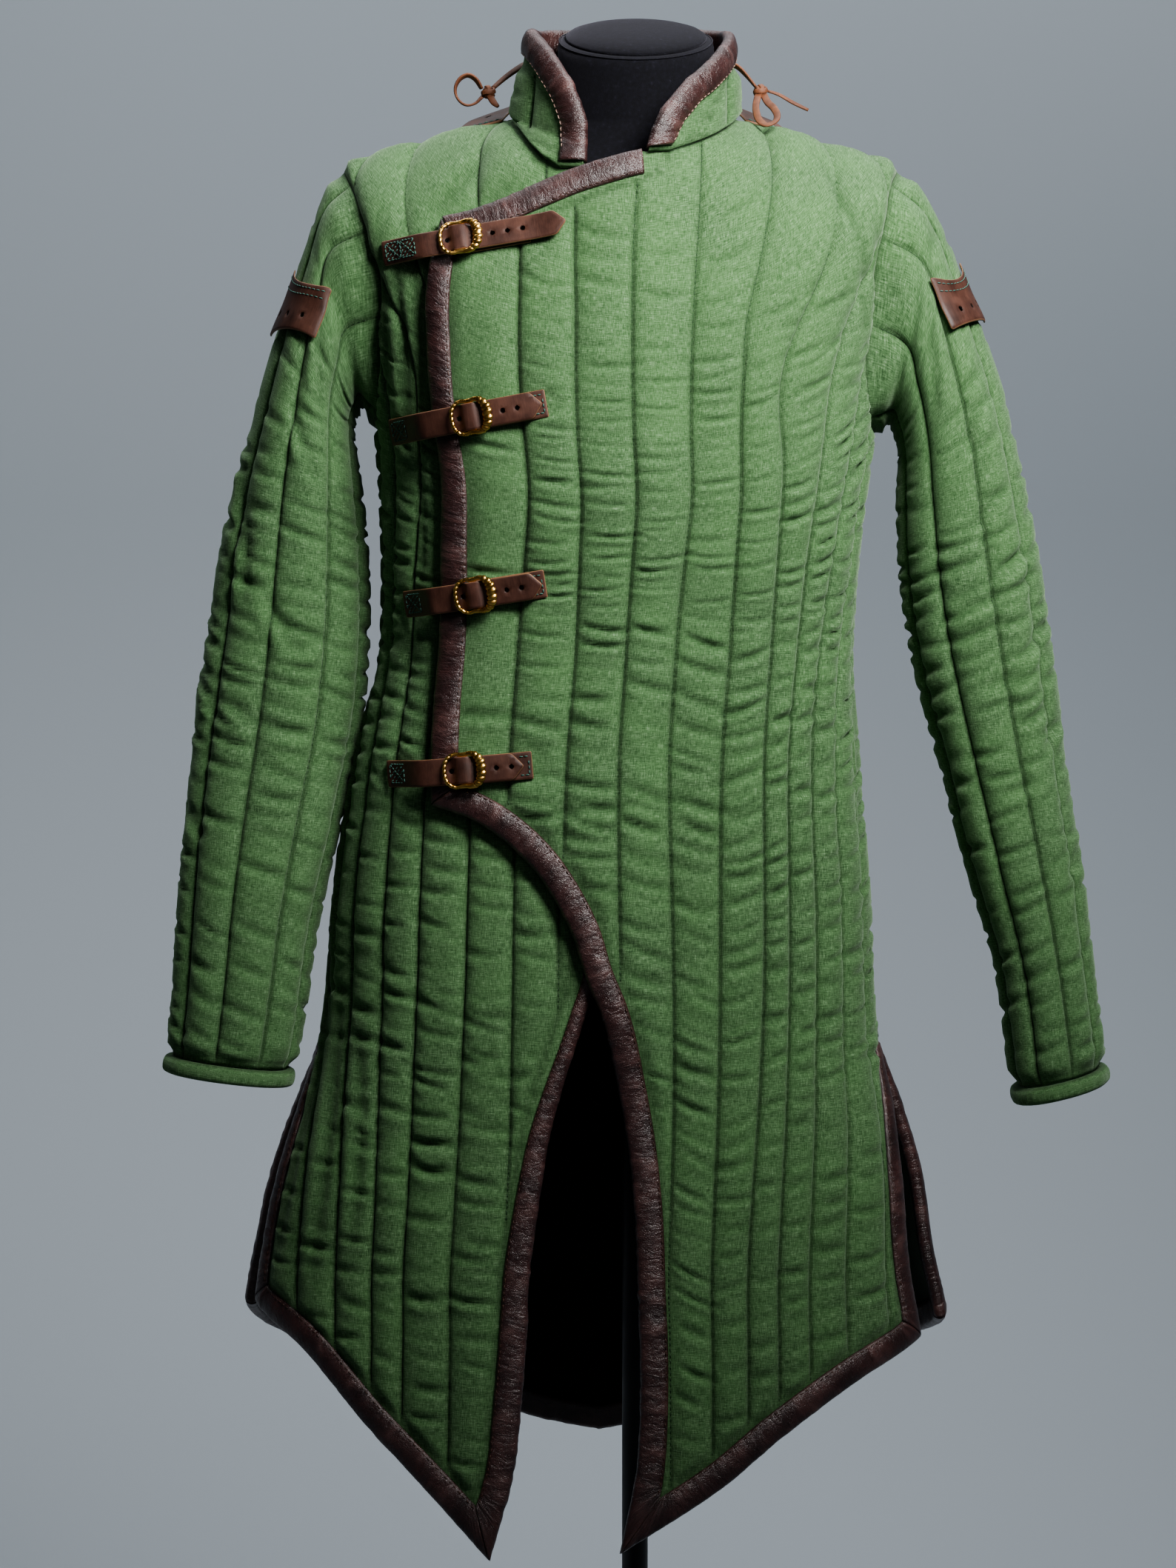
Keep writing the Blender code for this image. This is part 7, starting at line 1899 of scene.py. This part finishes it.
def ribbon(points, width, thick, lean, taper=0.0):
    """A flat thong along close points: its rings, each of twelve points, and its faces."""
    points = np.asarray(points, float)
    ahead, sides, ups = frames_along(points)
    share = np.linspace(0, 1, len(points))
    rings = []
    b = 2 * math.pi * np.arange(12) / 12
    for k, (point, across, up) in enumerate(zip(points, sides, ups)):
        turn = lean(share[k])
        flat = across * math.cos(turn) + up * math.sin(turn)
        face = np.cross(ahead[k], flat)
        narrow = 1 - taper * share[k]**3
        c, s = np.cos(b), np.sin(b)
        rings.append(point + np.outer(np.sign(c) * np.abs(c)**0.6 * width / 2 * narrow, flat)
                     + np.outer(np.sign(s) * np.abs(s)**0.6 * thick / 2, face))
    return np.concatenate(rings), tube_faces(len(points), 12)


LEANS = {"loop": (0.0, 0.35, 1.0), "strand": (0.3, 0.5, 0.25), "tail": (0.2, 0.4, 0.25)}
SHORT_TAIL = 0.030      # a shorter end of a lace goes with its loop


def lace_look_piece(name, sign, route):
    """One stretch of a lace, from the knot to its end or back to the knot."""
    points = resample(np.array(route) + np.array(KNOTS[sign]), 0.0022)
    stretch = name.split("_")[-1]
    start, swing, turns = LEANS[stretch]
    verts, faces = ribbon(points, LACE_WIDTH, LACE_THICK, lambda t: start + swing * math.sin(2 * math.pi * turns * t),
                          taper=0.55 * (stretch == "tail"))
    return points, add_piece(name, verts, outward(verts, faces), LACE_LEATHER, replaces=(name,))


def laces():
    """Both shoulders' knots and the stretches of lace that leave them."""
    made = {name: lace_look_piece(name, sign, route) for name, (sign, route) in LACE_ROUTES.items()}
    for word, sign in (("left", -1), ("right", 1)):
        knot = knot_look_piece("knot_" + word, sign)
        for stretch in LEANS:
            points, ob = made["lace_%s_%s" % (word, stretch)]
            length = float(np.linalg.norm(np.diff(points, axis=0), axis=1).sum())
            if length < SHORT_TAIL:
                continue
            pieces = [knot] if stretch == "loop" else []
            tail_points, tail = made["lace_%s_tail" % word]
            if stretch == "loop" and len(tail_points) * 0.0022 < SHORT_TAIL:
                pieces.append(tail)


def knot_look_piece(name, sign):
    """An overhand knot: three flat turns of the thong wound over each other."""
    centre = np.array(KNOTS[sign])
    verts, faces = [], []
    for tilt, roll, wide, high, shift in ((0.35, 0.0, 0.0046, 0.0038, (0.0, -0.0004, 0.0)),
                                          (1.55, 0.5, 0.0042, 0.0034, (0.0004 * sign, 0.0002, 0.0003)),
                                          (-0.75, -0.4, 0.0040, 0.0036, (-0.0003 * sign, 0.0, -0.0004))):
        t = 2 * math.pi * np.arange(48) / 48
        plane = np.stack([wide * np.cos(t), high * np.sin(t), 0.0009 * np.sin(2 * t)], axis=1)
        ca, sa, cb, sb = math.cos(tilt), math.sin(tilt), math.cos(roll), math.sin(roll)
        turned = (plane @ np.array([[ca, 0, sa], [0, 1, 0], [-sa, 0, ca]])
                  @ np.array([[1, 0, 0], [0, cb, sb], [0, -sb, cb]]))
        ring = centre + np.array(shift) + turned
        radial = unit(turned)
        ahead = unit(np.roll(ring, -1, axis=0) - np.roll(ring, 1, axis=0))
        flat = unit(np.cross(ahead, radial))
        b = 2 * math.pi * np.arange(10) / 10
        c, s = np.cos(b), np.sin(b)
        block = (ring[:, None] + flat[:, None] * (0.0019 * np.sign(c) * np.abs(c)**0.6)[:, None]
                 + radial[:, None] * (0.0009 * np.sign(s) * np.abs(s)**0.6)[:, None]).reshape(-1, 3)
        found = tube_faces(48, 10, closed_rings=True)
        found = outward(block, found)
        faces += [tuple(k + sum(len(v) for v in verts) for k in face) for face in found]
        verts.append(block)
    return add_piece(name, np.concatenate(verts), faces, LACE_LEATHER, replaces=(name,))


# ------------------------------------------------------------------ the dress form and its stand

FINE_COLUMNS = 144


def form_look_pieces():
    """The form's body and cap of black cloth, its seam, and the steel pole and base."""
    neck = [(NECK_TOP, 0.0520), (NECK_TOP - 0.0010, 0.0542), (NECK_TOP - 0.0030, 0.0557),
            (NECK_TOP - 0.0065, NECK_HALF)]
    rings = [form_ring(z, r, r, r - 0.0095, 2.0, FINE_COLUMNS, NECK_TILT) for z, r in neck]
    low = (1.502, NECK_HALF, NECK_HALF, NECK_BACK, 2.0)
    for share in np.linspace(0, 1, 14)[1:]:
        z = NECK_TOP - 0.0065 + (low[0] - NECK_TOP + 0.0065) * share
        tilt = NECK_TILT + (0.10 - NECK_TILT) * share
        rings.append(form_ring(z, NECK_HALF, NECK_HALF, NECK_HALF - 0.0095, 2.0, FINE_COLUMNS, tilt))
    turns = np.arange(FINE_COLUMNS) / FINE_COLUMNS
    down = np.array([row[0] for row in FORM_ROWS])
    for h in np.concatenate([np.linspace(0.018, 0.125, 12), np.linspace(0.15, 0.56, 24)]):
        inset = float(smooth(h, down, [row[1] for row in FORM_ROWS])) + 0.0012
        s = 2 * whole(h) * turns
        rings.append(on_coat(s, np.full_like(s, h), np.full_like(s, -inset)))
    last = rings[-1]
    end = form_ring(*FORM_END, FINE_COLUMNS)
    for share in np.linspace(0, 1, 10)[1:]:
        rings.append(last + (end - last) * share)
    block = np.array(rings)
    faces = tube_faces(len(rings), FINE_COLUMNS)
    verts = block.reshape(-1, 3)
    faces = outward(verts, faces)
    body = add_piece("form_body", verts, faces, FORM_CLOTH, replaces=("form_body",))
    dome = [(NECK_TOP + GAP, 0.0515), (NECK_TOP + 0.0022, 0.0505), (NECK_TOP + 0.0045, 0.0470),
            (NECK_TOP + 0.0066, 0.0400),
            (NECK_TOP + 0.0082, 0.0310), (NECK_TOP + 0.0091, 0.0200), (NECK_TOP + 0.0095, 0.0090)]
    rings = [form_ring(z, r, r, r - 0.0095 * r / 0.0515, 2.0, FINE_COLUMNS, NECK_TILT) for z, r in dome]
    verts = np.concatenate(rings)
    faces = tube_faces(len(rings), FINE_COLUMNS)
    faces = outward(verts, faces)
    cap = add_piece("form_cap", verts, faces, FORM_CLOTH, replaces=("form_cap",))
    seam = form_ring(NECK_TOP - 0.0012, 0.0553, 0.0553, 0.0458, 2.0, FINE_COLUMNS, NECK_TILT)
    ahead = unit(np.roll(seam, -1, axis=0) - np.roll(seam, 1, axis=0))
    away = unit(np.cross(ahead, np.broadcast_to((0.0, 0.0, 1.0), ahead.shape)))
    rise = np.cross(away, ahead)
    b = 2 * math.pi * np.arange(8) / 8
    verts = (seam[:, None] + away[:, None] * (0.0006 * np.cos(b))[:, None]
             + rise[:, None] * (0.0004 * np.sin(b))[:, None]).reshape(-1, 3)
    faces = tube_faces(FINE_COLUMNS, 8, closed_rings=True)
    faces = outward(verts, faces)
    add_piece("form_neck_seam", verts, faces, FORM_CLOTH)
    foot = FORM_END[0] - 0.0003
    for name, profile in (
            ("form_pole", ((foot, POLE_RADIUS), (foot - 0.002, POLE_RADIUS), (BASE_HIGH + 0.0003, POLE_RADIUS))),
            ("form_base", ((BASE_HIGH, 0.018), (BASE_HIGH - 0.0001, 0.030), (BASE_HIGH - 0.0006, 0.062),
                           (0.0072, BASE_RADIUS - 0.006), (0.0062, BASE_RADIUS - 0.0016), (0.0045, BASE_RADIUS),
                           (0.0008, BASE_RADIUS), (0.0000, BASE_RADIUS - 0.0008)))):
        rings = [form_ring(z, r, r, r, 2.0, 128) for z, r in profile]
        verts = np.concatenate(rings)
        faces = tube_faces(len(rings), 128)
        faces = outward(verts, faces)
        add_piece(name, verts, faces, STAND_STEEL, replaces=(name,))


# ------------------------------------------------------------------ camera, light and floor

EYE = (-0.0346, -3.6, 1.252)
PICTURE = (1588, 2117)
FOCAL = 6666.7          # in picture points
HORIZON = 630           # the picture's row that lies level with the camera


def camera_and_light():
    camera = bpy.data.cameras.new("camera")
    camera.sensor_fit = "VERTICAL"
    camera.sensor_height = 36.0
    camera.lens = FOCAL / PICTURE[1] * camera.sensor_height
    camera.clip_end = 50
    ob = bpy.data.objects.new("camera", camera)
    bpy.context.collection.objects.link(ob)
    ob.location = EYE
    down = math.atan((PICTURE[1] / 2 - HORIZON) / FOCAL)
    ob.rotation_euler = (math.pi / 2 - down, 0, 0)
    bpy.context.scene.camera = ob
    for name, at, towards, size, power, colour, spread in LIGHTS:
        light = bpy.data.lights.new(name, "AREA")
        light.shape = "RECTANGLE"
        light.size, light.size_y = size
        light.energy = power
        light.spread = math.radians(spread)
        light.color = colour
        lamp = bpy.data.objects.new(name, light)
        bpy.context.collection.objects.link(lamp)
        lamp.location = at
        lamp.visible_camera = False
        lamp.rotation_euler = (Vector(towards) - Vector(at)).to_track_quat("-Z", "Y").to_euler()
    world = bpy.data.worlds.new("studio")
    world.use_nodes = True
    tree = world.node_tree
    lit = tree.nodes["Background"]
    seen = tree.nodes.new("ShaderNodeBackground")
    for background, strength in ((lit, SKY), (seen, SEEN_SKY)):
        background.inputs["Color"].default_value = SKY_COLOUR
        background.inputs["Strength"].default_value = strength
    mix = tree.nodes.new("ShaderNodeMixShader")
    tree.links.new(tree.nodes.new("ShaderNodeLightPath").outputs["Is Camera Ray"], mix.inputs[0])
    tree.links.new(lit.outputs[0], mix.inputs[1])
    tree.links.new(seen.outputs[0], mix.inputs[2])
    tree.links.new(mix.outputs[0], tree.nodes["World Output"].inputs["Surface"])
    bpy.context.scene.world = world
    bpy.context.scene.view_settings.view_transform = "AgX"
    bpy.context.scene.view_settings.look = "AgX - Medium High Contrast"


SKY_COLOUR = (0.80, 0.86, 0.92, 1)
SKY = 0.05              # what lights the object from all round
SEEN_SKY = 0.35         # what a camera sees past the floor, from the sides and behind
LIGHTS = (
    # name, place, towards, size, power, colour, spread in degrees
    ("key", (0.60, -1.05, 2.17), (0.12, -0.1, 1.45), (0.8, 0.5), 8.0, (1.0, 0.99, 0.97), 66),
    ("fill", (0.0, -3.4, 2.2), (0.0, 0.0, 1.0), (2.0, 1.6), 4, (0.95, 0.98, 1.0), 180),
    ("backdrop", (0.0, 0.9, 3.3), (0.0, 2.2, 1.2), (3.0, 1.0), 85, (0.95, 0.98, 1.0), 180),
)


def studio_floor():
    """A pale floor that rises in a soft curve behind."""
    profile = [(-6.0, 0.0), (1.6, 0.0)]
    for a in np.radians(np.linspace(0, 90, 24)):
        profile.append((1.6 + 1.2 * math.sin(a), 1.2 * (1 - math.cos(a))))
    profile.append((2.8, 6.0))
    verts = [(x, y, z - 0.0005) for y, z in profile for x in (-7.0, 7.0)]
    faces = [(2 * k, 2 * k + 1, 2 * k + 3, 2 * k + 2) for k in range(len(profile) - 1)]
    mesh = bpy.data.meshes.new("studio_floor")
    mesh.from_pydata(verts, [], faces)
    mesh.polygons.foreach_set("use_smooth", [True] * len(faces))
    look = Look("studio_floor_grey", 0.85)
    look.finish(srgb(150, 156, 162))
    # it shows from its front only, so the curve hides nothing from a camera behind it
    behind = look.node("ShaderNodeNewGeometry").outputs["Backfacing"]
    clear = look.node("ShaderNodeBsdfTransparent").outputs[0]
    shown = look.node("ShaderNodeMixShader", {0: behind, 1: look.shader.outputs[0], 2: clear}).outputs[0]
    look.tree.links.new(shown, look.tree.nodes["Material Output"].inputs["Surface"])
    mesh.materials.append(look.material)
    floor = bpy.data.objects.new("studio_floor", mesh)
    bpy.context.collection.objects.link(floor)


# ------------------------------------------------------------------ the whole

def build_coat():
    panels = {"front_overlap": overlap_panel(), "front_underlap": underlap_panel(), "back": back_panel(),
              "collar": collar_panel()}
    seams = {}
    for name, panel in panels.items():
        ob, size, area = quilted_piece(name, panel)
        quilting_stitches(name + "_quilting", panel)
    for number, (piece, panel, edge, trim) in enumerate(BOUND_EDGES):
        seams[piece] = binding_piece(piece, panels[panel], edge, 100 + 10 * number, trim)
        stitches(piece + "_stitches", *seams[piece], PALE_THREAD if panel == "collar" else BROWN_THREAD,
                 "binding_leather")


PLAIN_TRIM = (0.0006, 0.0006)
BOUND_EDGES = (
    # binding, panel, its edge, trim at each end
    ("neckline_binding", "front_overlap", "neckline", PLAIN_TRIM),
    ("closing_binding", "front_overlap", "closing", PLAIN_TRIM),
    ("sweep_binding", "front_overlap", "sweep", PLAIN_TRIM),
    ("hem_binding_overlap", "front_overlap", "hem", PLAIN_TRIM),
    ("vent_binding_overlap", "front_overlap", "vent", PLAIN_TRIM),
    ("edge_binding_underlap", "front_underlap", "edge", (0.0060, 0.0006)),
    ("hem_binding_underlap", "front_underlap", "hem", PLAIN_TRIM),
    ("vent_binding_underlap", "front_underlap", "vent", PLAIN_TRIM),
    ("hem_binding_back", "back", "hem", PLAIN_TRIM),
    ("vent_binding_back_left", "back", "vent_left", PLAIN_TRIM),
    ("vent_binding_back_right", "back", "vent_right", PLAIN_TRIM),
    ("collar_binding", "collar", "free", (0.0022, 0.0022)),
)


camera_and_light()
studio_floor()
form_look_pieces()
laces()
build_coat()
for word, sign in (("left", -1), ("right", 1)):
    sleeve = sleeve_quilt("sleeve_" + word, sign)
    cuff_roll("cuff_" + word, sleeve)
    tab_look_piece("tab_" + word, sleeve)
    anchor_look_piece("anchor_" + word, sign)
for number, row in enumerate(STRAPS, start=1):
    strap_look_pieces(number, row)
    buckle_look_piece(number, row)
